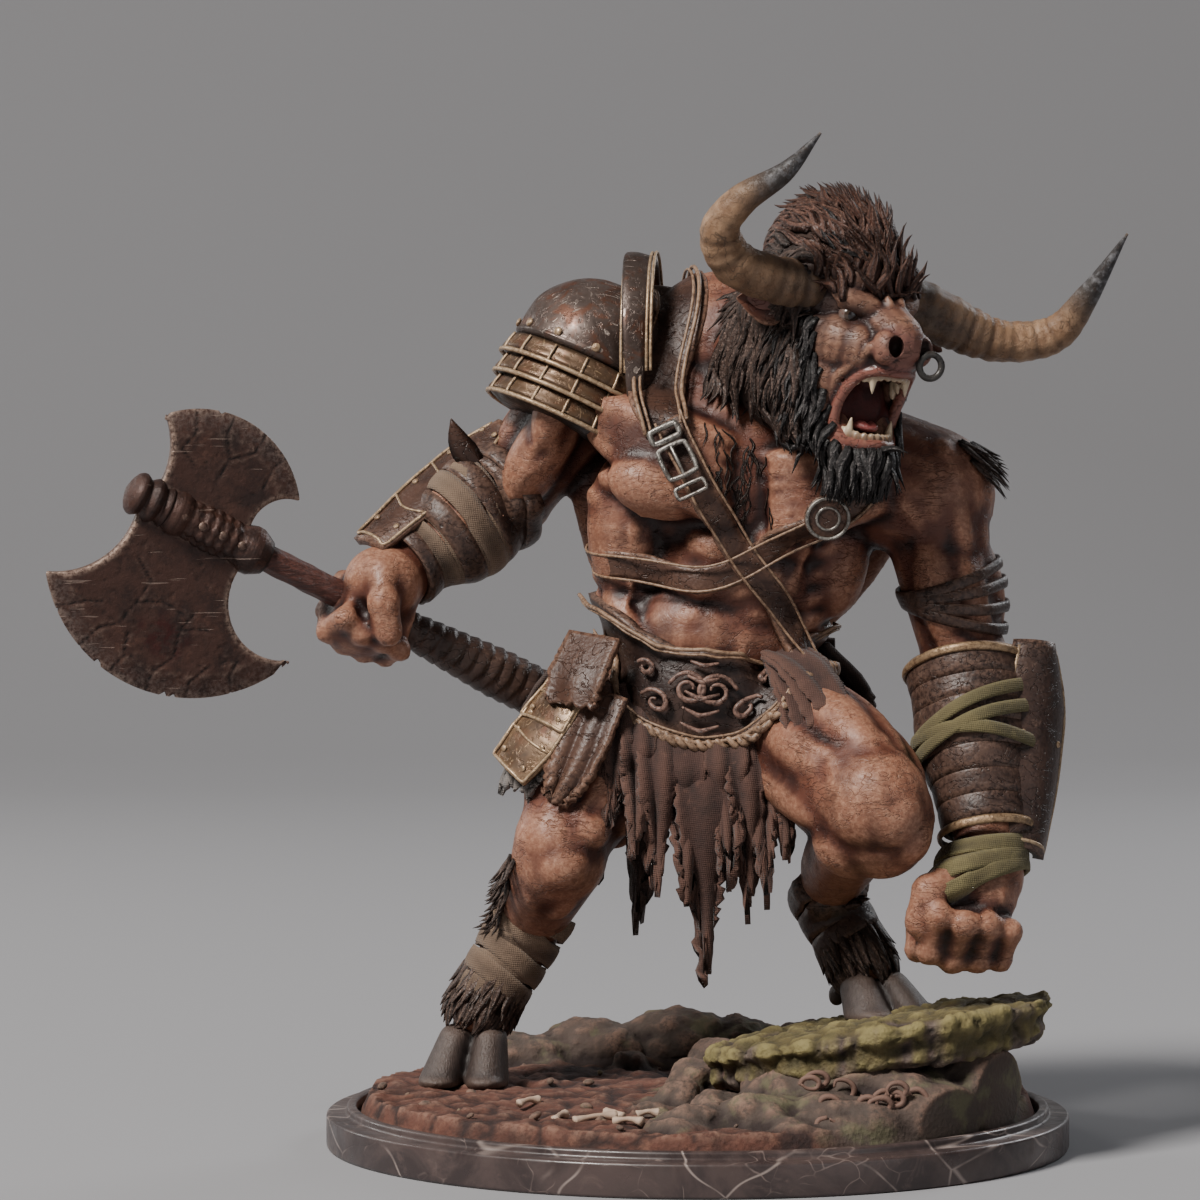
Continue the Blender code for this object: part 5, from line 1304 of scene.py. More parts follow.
def combed(template, name, tree, root, way, fall, length, width, wave, lift, dice, flat=0.6, steps=7):
    """A lock that starts at root, sets off along way, droops toward fall and keeps near the surface."""
    spot, normal, _, _ = tree.find_nearest(root)
    place = spot + normal * 0.1
    heading = (way - normal * normal.dot(way)).normalized()
    path, normals = [place.copy()], [normal.copy()]
    swing = dice.uniform(0, math.tau)
    for k in range(1, steps + 1):
        t = k / steps
        heading = (heading + fall * 0.3).normalized()
        side = heading.cross(normal)
        place = place + heading * (length / steps) + side * (wave * math.cos(swing + t * 6.5))
        near, over, _, _ = tree.find_nearest(place)
        if near is not None:
            gap = (place - near).dot(over)
            wanted = width * 0.35 + lift * t * t
            place = place + over * min(max(wanted - gap, -0.5), 1.6)
            normal = over
        heading = (place - path[-1]).normalized()
        path.append(place.copy())
        normals.append(normal.copy())
    curve = smooth_path(path, 16)
    return bent(
        template, name, curve, [n for n in smooth_path(normals, 16)], [width], flat, dice.uniform(-0.5, 0.5)
    )


def comb_all(name, template, tree, hairs, dice):
    """Lays every lock of a list and joins them. Each gets its own tone."""
    parts = []
    for hair in hairs:
        part = combed(template, "lock", tree, dice=dice, **hair)
        paint_points(part, "tone", np.full(len(part.data.vertices), dice.random()))
        parts.append(part)
    return joined(name, parts)


def mane_mass():
    """The body of hair under the locks."""
    clay = model("mane_mass")
    ball((-3.2, 0.0, 6.8), (7.4, 6.4, 6.0))
    ball((0.6, 0.0, 7.4), (5.0, 4.2, 4.4), (0.4, 0, 1))
    ball((3.4, 0.0, 6.2), (2.6, 3.0, 2.6))
    ball((-6.0, 0.0, 1.0), (6.6, 6.8, 7.6))
    ball((-7.6, 0.0, -6.0), (5.6, 6.2, 6.6))
    for side in (-1, 1):
        ball((-2.0, 4.6 * side, -6.0), (4.0, 2.4, 5.4))
        ball((0.4, 4.2 * side, -9.6), (3.6, 2.0, 3.6))
    ball((4.0, 0.0, -13.6), (3.2, 3.0, 2.0))
    closed()
    clay.data.transform(head_frame())
    applied(clay, "REMESH", mode="VOXEL", voxel_size=0.7)
    applied(clay, "SMOOTH", factor=0.5, iterations=8)
    return clay


def crest_hairs(frame, dice):
    """Hair of the crown: it leaves the brow and the horn roots, and sweeps up and back."""
    turn = frame.to_3x3()
    hairs = []
    for row in range(18):
        share = row / 17
        for k in range(-8, 9):
            side = k / 8 + dice.uniform(-0.05, 0.05)
            angle = math.radians(-8 + 142 * share + dice.uniform(-4, 4))
            high = 1.0 - 0.40 * side * side
            root = Vector(
                (8.6 * math.cos(angle) * high - 1.8, 6.6 * side, 4.2 + 9.6 * math.sin(angle) * high)
            )
            up = Vector((-0.35 - 0.65 * share, -0.40 * side, 1.05 - 1.35 * share))
            middle = abs(side) < 0.4
            hairs.append(dict(
                root=frame @ root, way=turn @ up, fall=turn @ Vector((-0.5, 0, -0.3)),
                length=dice.uniform(3.6, 6.0), width=dice.uniform(0.42, 0.70), wave=0.22,
                lift=1.8 if middle else 0.5, flat=0.62,
            ))
    return hairs


def mane_hairs(frame, dice):
    """Long wavy hair from behind the horns and ears, over the neck to the chest and the back."""
    turn = frame.to_3x3()
    hairs = []
    for row in range(13):
        back = row / 12
        for k in range(16):
            angle = math.radians(-140 + 280 * k / 15 + dice.uniform(-7, 7))
            side, high = math.sin(angle), math.cos(angle)
            root = frame @ Vector((1.0 - 13.0 * back, 7.4 * side, 4.0 * high + 2.0 - 3.4 * back))
            way = turn @ Vector((-0.7, 0.5 * side, -0.3)) + Vector((-0.1, 0.15, -0.5 - 0.5 * abs(side)))
            hairs.append(dict(
                root=root, way=way, fall=Vector((-0.12, 0.05, -0.9)), length=dice.uniform(6.5, 10.5),
                width=dice.uniform(0.7, 1.1), wave=0.34, lift=0.9, flat=0.6,
            ))
    return hairs


def nape_hairs(frame, dice):
    """Locks that close the mane over the nape, and between mane and beard."""
    turn = frame.to_3x3()
    hairs = []
    for _ in range(110):
        side, down = dice.uniform(-1, 1), dice.random()
        root = frame @ Vector((-7.0 - 4.0 * (1 - abs(side)) - 1.0 * down, 7.0 * side, 7.0 - 13.0 * down))
        hairs.append(dict(
            root=root, way=turn @ Vector((-0.7, 0.3 * side, -0.8)), fall=Vector((0.0, 0.1, -0.8)),
            length=dice.uniform(5.0, 8.0), width=dice.uniform(0.6, 1.0), wave=0.3, lift=0.7, flat=0.6,
        ))
    for side in (-1, 1):
        for _ in range(46):
            root = frame @ Vector((dice.uniform(-5.0, 1.6), 6.0 * side, dice.uniform(-11.0, -1.0)))
            hairs.append(dict(
                root=root, way=turn @ Vector((-0.3, 0.2 * side, -1.0)), fall=Vector((-0.1, 0.0, -0.9)),
                length=dice.uniform(4.6, 7.4), width=dice.uniform(0.5, 0.85), wave=0.3, lift=0.8, flat=0.6,
            ))
    for side in (-1, 1):
        for _ in range(26):
            root = frame @ Vector((dice.uniform(-5.0, 3.0), 6.6 * side, dice.uniform(4.0, 9.0)))
            hairs.append(dict(
                root=root, way=turn @ Vector((-0.9, 0.3 * side, 0.2)), fall=turn @ Vector((-0.4, 0, -0.3)),
                length=dice.uniform(3.6, 5.6), width=dice.uniform(0.45, 0.75), wave=0.2, lift=0.5, flat=0.6,
            ))
    return hairs


def cheek_hairs(frame, dice):
    """Dark beard from before the ears, round the cheeks and down to a point under the chin."""
    turn = frame.to_3x3()
    hairs = []
    for side in (-1, 1):
        for row in range(9):
            down = row / 8
            for k in range(9):
                ahead = k / 8
                root = frame @ Vector((
                    -2.6 + (5.0 + 3.4 * down) * ahead + dice.uniform(-0.4, 0.4), (6.4 - 2.6 * down) * side,
                    2.4 - 14.4 * down
                ))
                way = turn @ Vector((0.15 - 0.5 * ahead, 0.35 * side, -1.0)) + Vector((-0.15, 0, -0.3))
                hairs.append(dict(
                    root=root, way=way, fall=Vector((-0.10, 0.0, -1.0)), length=dice.uniform(3.6, 6.4),
                    width=dice.uniform(0.42, 0.72), wave=0.20, lift=0.9 + 0.5 * down, flat=0.6,
                ))
    for k in range(130):
        share = dice.uniform(-1, 1)
        ahead = dice.uniform(0.0, 1.0)
        root = frame @ Vector((3.4 + 5.0 * ahead - 2.6 * share**2, 3.2 * share, -12.5 - 1.0 * (1 - ahead)))
        way = turn @ Vector((0.35 * ahead, 0.25 * share, -1.0))
        hairs.append(dict(
            root=root, way=way, fall=turn @ Vector((-0.12, -0.2 * share, -1.0)),
            length=dice.uniform(4.4, 8.6) * (1.0 - 0.35 * abs(share)),
            width=dice.uniform(0.4, 0.7), wave=0.16, lift=3.2, flat=0.7,
        ))
    return hairs


def forehead_hairs(frame, dice):
    turn = frame.to_3x3()
    hairs = []
    for _ in range(60):
        side = dice.uniform(-1, 1)
        high = dice.random()
        root = frame @ Vector((5.6 - 3.6 * high - 1.4 * abs(side), 4.6 * side, 5.0 + 4.2 * high))
        hairs.append(dict(
            root=root, way=turn @ Vector((-0.3, 0.55 * side, 0.9)), fall=turn @ Vector((-0.4, 0, 0.2)),
            length=dice.uniform(2.4, 3.8), width=dice.uniform(0.34, 0.55), wave=0.08, lift=0.5, flat=0.6,
        ))
    return hairs


def chest_hairs(dice):
    """Sparse fine hair down the breastbone."""
    hairs = []
    for _ in range(70):
        t = dice.random()
        root = Vector((4.4 - 1.0 * t + dice.gauss(0, 2.6 - 1.2 * t), -10.0, 74.0 - 13.0 * t))
        hairs.append(dict(
            root=root, way=Vector((dice.uniform(-0.6, 0.4), 0, -1)), fall=Vector((0, 0, -0.6)),
            length=dice.uniform(2.0, 3.6), width=dice.uniform(0.10, 0.17), wave=0.14, lift=0.12, flat=0.5,
        ))
    return hairs


def make_hair(skin_tree, dice):
    """The mass with its crest, mane, cheeks, chin, brow and chest, in pieces by colour."""
    frame = head_frame()
    template = lock_template("lock_template")
    crest = comb_all("crest", template, skin_tree, crest_hairs(frame, dice), dice)
    mane = comb_all(
        "mane", template, skin_tree, mane_hairs(frame, dice) + nape_hairs(frame, dice) + chest_hairs(dice),
        dice
    )
    beard = comb_all(
        "beard", template, skin_tree, cheek_hairs(frame, dice) + forehead_hairs(frame, dice), dice
    )
    bpy.data.objects.remove(template)
    return crest, mane, beard


def ring_hairs(centre, axis, radius, count, length, width, dice, rows=3, lift=0.8):
    """A cuff of fur round a leg, hanging along axis."""
    turn = turned(axis)
    down = Vector(axis).normalized()
    hairs = []
    for row in range(rows):
        for k in range(count):
            angle = math.tau * (k + 0.5 * row + dice.uniform(-0.25, 0.25)) / count
            outward = turn @ Vector((math.cos(angle), math.sin(angle), 0.0))
            hairs.append(dict(
                root=centre + outward * radius - down * (1.3 * row - 0.4), way=down + outward * 0.3,
                fall=down, length=length * dice.uniform(0.8, 1.25), width=width * dice.uniform(0.8, 1.2),
                wave=0.08, lift=lift, flat=0.65,
            ))
    return hairs


def fur_hairs(dice):
    hairs = []
    for fetlock, hock in ((FETLOCK_R, HOCK_R), (FETLOCK_L, HOCK_L)):
        down = (fetlock - hock).normalized()
        hairs += ring_hairs(fetlock - down * 1.4, down, 4.2, 22, 4.6, 0.75, dice, 4, 1.0)
    for _ in range(44):
        share = dice.random()
        root = KNEE_R.lerp(HOCK_R, 0.1 + 0.8 * share) + Vector(
            (-5.5, dice.uniform(-3.5, 3.0), dice.uniform(-1, 1))
        )
        hairs.append(dict(
            root=root, way=Vector((-0.7, 0.1, -0.9)), fall=Vector((-0.2, 0.1, -0.8)),
            length=dice.uniform(2.2, 3.6), width=dice.uniform(0.4, 0.62), wave=0.1, lift=1.6, flat=0.6,
        ))
    for _ in range(90):
        angle = math.radians(dice.uniform(-60, 130))
        high = dice.uniform(-0.6, 1)
        root = SHOULDER_L + Vector((1.0 + 6.5 * math.cos(angle), 6.0 * math.sin(angle), 5.4 + 3.6 * high))
        hairs.append(dict(
            root=root, way=Vector((0.9, 0.25 * math.sin(angle), -0.2 - 0.4 * (1 - high))),
            fall=Vector((0.15, 0, -0.7)), length=dice.uniform(2.8, 5.0), width=dice.uniform(0.36, 0.6),
            wave=0.08, lift=1.5, flat=0.55,
        ))
    return hairs


def hair_paint(name, root, body, light):
    """Grooved strands: painted shade at the root and in the grooves, painted highlight on the raised strands.
    """
    p = Paint(name, roughness=0.5, specular=0.4)
    p.coat(body)
    p.coat(tuple(c * 0.45 for c in body), p.ramp(p.value("tone"), 0.35, 0.75), 0.65)
    strands = p.ramp(p.noise(0.35, 3.0, 0.6, 0.4), 0.42, 0.66)
    # Painted highlight on the raised strands.
    p.coat(light, p.math("MULTIPLY", p.ramp(p.value("groove"), 0.45, 1.0), strands), 0.75)
    # Painted shade at the root of each lock, where it meets the head.
    p.coat(root, p.ramp(p.value("reach"), 0.0, 0.32, flip=True), 0.75)
    # Painted shade in the grooves between strands.
    p.coat(tuple(c * 0.22 for c in body), p.ramp(p.value("groove"), 0.0, 0.5, flip=True), 0.85)
    p.raise_by(strands, 0.8)
    p.raise_by(p.value("groove"), 0.8)
    return p.done(0.12)


# Hooves


def hoof(fetlock, sole, heading):
    """Two claws side by side, wider at the ground, with a seam between them and two dewclaws behind."""
    heading = Vector(heading).normalized()
    across = heading.cross(Vector((0, 0, 1))).normalized()
    for side in (-1, 1):
        toe = sole + across * 2.55 * side + heading * 0.9
        for k in range(9):
            t = k / 8
            centre = (toe + Vector((0, 0, 0.4))).lerp(fetlock + across * 1.5 * side + heading * 0.5, t * 0.62)
            size = 1.0 - 0.24 * t
            ball(centre, (2.45 * size, 3.9 * size, 1.5), (0, 0, 1), across)
        ball(toe + heading * 1.6 + Vector((0, 0, 0.6)), (2.1, 2.8, 0.9), (0, 0, 1), across)
        ball(
            fetlock + across * 1.6 * side - heading * 3.6 - Vector((0, 0, 3.6)), (0.9, 1.2, 1.3), (0, 0, 1),
            across
        )


def make_hooves():
    clay = model("hooves")
    hoof(FETLOCK_R, HOOF_R, HEADING_R)
    hoof(FETLOCK_L, HOOF_L, HEADING_L)
    closed()
    applied(clay, "REMESH", mode="VOXEL", voxel_size=0.31)
    applied(clay, "SMOOTH", factor=0.5, iterations=9)
    local = points_of(clay)
    for sole, near in ((0.0, HOOF_R), (HOOF_L.z, HOOF_L)):
        mine = np.linalg.norm(local[:, :2] - np.array(near[:2]), axis=1) < 9
        local[mine & (local[:, 2] < sole), 2] = sole
    move_points(clay, local)
    weather(clay, 2, 12)
    return clay


def hoof_paint():
    p = Paint("hoof_horn", roughness=0.45)
    grain = p.noise(0.5, 4.0, 0.7, 0.3, p.stretched((2.2, 2.2, 0.35)))
    p.coat((0.060, 0.042, 0.036))
    p.coat((0.024, 0.017, 0.016), p.ramp(grain, 0.42, 0.62), 0.85)
    p.coat((0.12, 0.078, 0.060), p.ramp(grain, 0.60, 0.78), 0.6)
    # Painted highlight on the raised places, and painted shade in the hollows.
    p.coat((0.17, 0.115, 0.088), p.value("ridge"), 0.35)
    p.coat((0.016, 0.011, 0.010), p.value("cavity"), 0.9)
    p.raise_by(grain, 1.2)
    return p.done(0.12)


# Armour, straps and cloth


def on_skin(tree, points, steps):
    """A smooth path laid on the surface, with the surface's normal along it."""
    path, normals = [], []
    for place in smooth_path(points, steps):
        near, normal, _, _ = tree.find_nearest(place)
        path.append(near)
        normals.append(normal)
    for _ in range(24):
        path = eased(path)
        threes = zip(normals, normals[1:], normals[2:])
        normals = [normals[0], *[(a + 2 * b + c).normalized() for a, b, c in threes], normals[-1]]
    return path, normals


def grid(name, columns, rows):
    """A flat square of cells, X and Y from -1 to 1, to be laid where it belongs."""
    bpy.ops.object.select_all(action="DESELECT")
    bpy.ops.mesh.primitive_grid_add(x_subdivisions=columns, y_subdivisions=rows, size=2.0)
    obj = bpy.context.object
    obj.name = name
    return obj


def thick(obj, thickness, offset=1.0):
    """Gives a sheet its thickness."""
    applied(obj, "SOLIDIFY", thickness=thickness, offset=offset, use_even_offset=False)
    face_outwards(obj)
    return obj


def band(name, tree, points, widths, thickness=0.9, steps=60, rows=8, out=0.25, hug=0.45):
    """A strap laid over the body, whose cross-section hugs the surface."""
    path, normals = on_skin(tree, points, steps)
    obj = grid(name, steps, rows)
    local = points_of(obj)
    place = np.empty_like(local)
    column = np.rint((local[:, 0] + 1) / 2 * steps).astype(int)
    frames = []
    for i, (spot, normal) in enumerate(zip(path, normals)):
        ahead = (path[min(i + 1, steps)] - path[max(i - 1, 0)]).normalized()
        frames.append((spot, ahead.cross(normal).normalized(), normal))
    for k in range(len(local)):
        spot, across, normal = frames[column[k]]
        v = float(local[k, 1])
        wide = along(widths, column[k] / steps) / 2
        aim_at = spot + across * v * wide
        near, over, _, _ = tree.find_nearest(aim_at)
        hugged = near.lerp(aim_at, 1.0 - hug)
        place[k] = hugged + over.lerp(normal, 0.5) * out
    move_points(obj, place)
    paint_points(obj, "edge", np.abs(local[:, 1]))
    paint_points(obj, "reach", (local[:, 0] + 1) / 2)
    thick(obj, thickness)
    return obj


def edging(name, tree, points, widths, offset, radius=0.32, steps=70, out=0.9):
    """Piping along a strap's two edges."""
    path, normals = on_skin(tree, points, steps)
    parts = []
    for side in (-1, 1):
        stops = []
        for i in range(0, steps + 1, 2):
            ahead = (path[min(i + 1, steps)] - path[max(i - 1, 0)]).normalized()
            across = ahead.cross(normals[i]).normalized()
            spot = path[i] + across * side * (along(widths, i / steps) / 2 - offset)
            near, over, _, _ = tree.find_nearest(spot)
            stops.append(near.lerp(spot, 0.5) + over.lerp(normals[i], 0.6) * out)
        for _ in range(8):
            stops = eased(stops)
        parts.append(cord(name, stops, [radius, radius], steps * 2, 6))
    return parts


def ring_band(name, tree, centre, axis, width, thickness=0.6, reach=16.0, gap=0.1):
    """A bandage turn: cast inwards from all round to find the limb, then wrapped on it."""
    turn = turned(axis)
    axis = Vector(axis).normalized()
    sides, rows = WRAP_CELLS
    bpy.ops.object.select_all(action="DESELECT")
    bpy.ops.mesh.primitive_cylinder_add(vertices=sides, radius=1.0, depth=2.0, end_fill_type="NOTHING")
    obj = bpy.context.object
    obj.name = name
    only(obj)
    bpy.ops.object.mode_set(mode="EDIT")
    mesh = bmesh.from_edit_mesh(obj.data)
    bpy.ops.mesh.select_all(action="DESELECT")
    bpy.ops.mesh.select_mode(type="EDGE")
    for edge in mesh.edges:
        edge.select_set(abs(edge.verts[0].co.z - edge.verts[1].co.z) > 1.0)
    bmesh.update_edit_mesh(obj.data)
    bpy.ops.mesh.subdivide(number_cuts=rows - 1)
    bpy.ops.mesh.select_mode(type="VERT")
    bpy.ops.object.mode_set(mode="OBJECT")
    local = points_of(obj)
    place = np.empty_like(local)
    radii = {}
    for k in range(len(local)):
        x, y, z = (float(c) for c in local[k])
        angle = math.atan2(y, x)
        key = round(angle / math.tau * sides) % sides
        outward = turn @ Vector((math.cos(angle), math.sin(angle), 0.0))
        if (key, round(z, 3)) not in radii:
            start = centre + axis * (z * width / 2)
            hit = tree.ray_cast(start + outward * 0.4, outward, reach)
            distance = 0.4 + hit[3] if hit[0] is not None else None
            radii[(key, round(z, 3))] = distance
    known = [r for r in radii.values() if r]
    usual = sorted(known)[len(known) // 2] if known else 4.0
    for k in range(len(local)):
        x, y, z = (float(c) for c in local[k])
        angle = math.atan2(y, x)
        key = round(angle / math.tau * sides) % sides
        close = [radii.get(((key + d) % sides, round(z, 3))) for d in (-3, -2, -1, 0, 1, 2, 3)]
        close = [r for r in close if r]
        distance = min(sum(close) / len(close), usual * 1.4) if close else usual
        outward = turn @ Vector((math.cos(angle), math.sin(angle), 0.0))
        bow = 0.12 * (1 - z * z)
        place[k] = centre + axis * (z * width / 2) + outward * (distance + gap + bow)
    move_points(obj, place)
    paint_points(obj, "edge", np.abs(local[:, 2]))
    paint_points(obj, "reach", (local[:, 2] + 1) / 2)
    thick(obj, thickness)
    return obj


def hung(name, points, widths, facing, thickness=0.7, columns=16, rows=44, fold=0.5, folds=3.0,
         ragged=1.2, seed=0, arch=0.0):
    """A strip of cloth that hangs along a path, with soft folds, torn sides and a torn tip."""
    dice = random.Random(seed)
    path = smooth_path(points, rows)
    obj = grid(name, columns, rows)
    local = points_of(obj)
    place = np.empty_like(local)
    facing = Vector(facing).normalized()
    shift = dice.uniform(0, 6)
    lowest = [dice.uniform(0.0, 1.0) for _ in range(columns + 1)]
    left = [dice.uniform(-1, 1) for _ in range(rows + 1)]
    right = [dice.uniform(-1, 1) for _ in range(rows + 1)]
    for k in range(len(local)):
        u = float(local[k, 0])
        column = int(round((u + 1) / 2 * columns))
        t = (1.0 - float(local[k, 1])) / 2
        row = int(round(t * rows))
        drawn = t * (1.0 - 0.10 * ragged * lowest[column] * t)
        at = drawn * rows
        i = min(int(at), rows - 1)
        spot = path[i].lerp(path[i + 1], at - i)
        ahead = (path[i + 1] - path[i]).normalized()
        across = ahead.cross(facing).normalized()
        out = across.cross(ahead).normalized()
        wide = along(widths, t) / 2
        tear = ragged * 0.28 * t * ((right[row] if u > 0 else left[row]) * abs(u) ** 4)
        ripple = fold * (0.3 + 0.7 * t) * math.sin(folds * u * 2.2 + shift + 1.6 * t)
        ripple += fold * 0.35 * math.sin(folds * 2.3 * u + 3 * shift + 4.0 * t) - arch * u * u
        place[k] = spot + across * (u * wide + tear) + out * ripple
    move_points(obj, place)
    paint_points(
        obj, "edge",
        np.maximum(np.abs(local[:, 0]) ** 3, np.clip((0.5 - (local[:, 1] + 1) / 2) * 2 - 0.4, 0, 1))
    )
    paint_points(obj, "reach", (1 - local[:, 1]) / 2)
    thick(obj, thickness, 0.0)
    return obj


def leather_paint(name, base, dark, light, roughness=0.5, grain=0.9, cracks=1.0, edge=True):
    """Worn leather: a grain of small cells, cracks, scuffed light patches, worn light edges that also carry
    painted highlight, painted highlight on raised places and painted shade in the hollows.
    """
    p = Paint(name, roughness=roughness, specular=0.4)
    fine = p.noise(0.5, 5.0, 0.7)
    p.coat(base)
    p.coat(dark, p.ramp(p.noise(5.0, 4.0), 0.40, 0.66), 0.85)
    scuff = p.ramp(p.noise(1.6, 7.0, 0.75), 0.56, 0.70)
    p.coat(light, scuff, 0.5)
    # Painted highlight on the raised places.
    p.coat(light, p.math("MULTIPLY", p.value("ridge"), p.ramp(fine, 0.35, 0.6)), 0.8)
    crack = p.lines(3.0, 0.014, (1, 1, 1.8), (0, 30, 0))
    p.coat(tuple(c * 0.3 for c in dark), crack, 0.35 * cracks)
    # Light strap edges: wear, and painted highlight.
    if edge:
        p.coat(light, p.math("MULTIPLY", p.ramp(p.value("edge"), 0.80, 0.97), p.ramp(fine, 0.35, 0.6)), 0.55)
    # Painted shade in the hollows.
    p.coat(tuple(c * 0.2 for c in dark), p.value("cavity"), 0.9)
    p.raise_by(p.cells(0.45), -0.35 * grain)
    p.raise_by(crack, -0.8 * cracks)
    p.raise_by(fine, 0.5)
    p.gloss(scuff, roughness - 0.08, roughness + 0.12)
    return p.done(0.10)


def metal_paint(name, base, dark, light, rusty, metallic):
    """Old plate: bright raised edges that are worn and carry painted highlight, brown stains, fine scratches,
    pitting and painted shade in the hollows.
    """
    p = Paint(name, roughness=0.36, metallic=metallic)
    fine = p.noise(0.5, 6.0, 0.75)
    p.coat(base)
    p.coat(dark, p.ramp(p.noise(4.0, 5.0, 0.7), 0.42, 0.62), 0.85)
    p.coat((0.16, 0.055, 0.025), p.ramp(p.noise(3.0, 6.0, 0.7, 0.6), 0.48, 0.64), rusty)
    scratch = p.ramp(p.noise(1.1, 2.0, 0.5, 0.2, p.stretched((0.25, 4.0, 1.0), (20, 40, 55))), 0.66, 0.70)
    scrape = p.ramp(p.noise(1.1, 2.0, 0.5, 0.2, p.stretched((4.0, 0.3, 1.0), (10, -35, 15))), 0.67, 0.70)
    p.coat(light, scratch, 0.7)
    p.coat(light, scrape, 0.5)
    # Painted highlight on the raised places and edges, which also stands for wear.
    p.coat(light, p.math("MULTIPLY", p.value("ridge"), p.ramp(fine, 0.3, 0.6)), 0.9)
    # Painted shade in the hollows.
    p.coat(tuple(c * 0.2 for c in dark), p.value("cavity"), 0.9)
    p.raise_by(p.ramp(p.noise(0.7, 5.0), 0.3, 0.5), 0.5)
    p.raise_by(scratch, -0.5)
    p.gloss(p.ramp(p.noise(2.0, 5.0), 0.3, 0.7), 0.28, 0.56)
    return p.done(0.08)


def cloth_paint(name, base, dark, light):
    """Coarse cloth: woven threads, painted highlight on the raised folds and painted shade in the hollows."""
    p = Paint(name, roughness=0.85, sheen=0.1)
    across = p.waves(0.22, 1.2, p.stretched((1, 1, 1), (0, 8, 0)), "X", 1.0)
    down = p.waves(0.22, 1.2, p.stretched((1, 1, 1), (0, -6, 0)), "Z", 1.0)
    p.coat(base)
    p.coat(dark, p.ramp(p.noise(5.0, 5.0, 0.7), 0.42, 0.64), 0.85)
    p.coat(light, p.ramp(p.noise(1.4, 6.0, 0.7), 0.55, 0.72), 0.5)
    # Painted highlight on the raised folds.
    p.coat(light, p.value("ridge"), 0.65)
    p.coat(tuple(c * 0.35 for c in dark), p.math("MULTIPLY", across, down), 0.15)
    # Painted shade in the hollows.
    p.coat(tuple(c * 0.22 for c in dark), p.value("cavity"), 0.9)
    p.raise_by(across, 0.22)
    p.raise_by(down, 0.22)
    p.raise_by(p.noise(0.8, 6.0, 0.7), 1.2)
    return p.done(0.12)


def lathe_plate(name, top, axis, length, profile, sides=56, rings=70, flat=0.97, facing=(0, -1, 0),
                ridge=None):
    """A round plate about an axis. profile lists its radius from the top down, at even steps."""
    stick = rod(name + "_stick", sides, rings)
    axis = Vector(axis).normalized()
    path = [Vector(top) + axis * (length * k / 40) for k in range(41)]
    obj = bent(stick, name, path, steady_normals(path, facing), profile, flat, ridge=ridge)
    bpy.data.objects.remove(stick)
    return obj


def hoop(name, centre, axis, radius, size, flat=1.0, sides=6):
    """A round trim."""
    turn = turned(axis, Vector((0, -1, 0)).cross(Vector(axis)))
    stops = []
    for k in range(24):
        a = math.radians(360 * k / 24)
        stops.append(Vector(centre) + turn @ Vector((math.cos(a) * radius, math.sin(a) * radius * flat, 0.0)))
    return cord(name, stops, [size, size], 96, sides, loop=True)


def knob(name, centre, normal, radius):
    """A domed stud."""
    obj = model(name)
    ball(centre, (radius, radius, radius * 0.5), normal, segments=12)
    closed()
    return obj


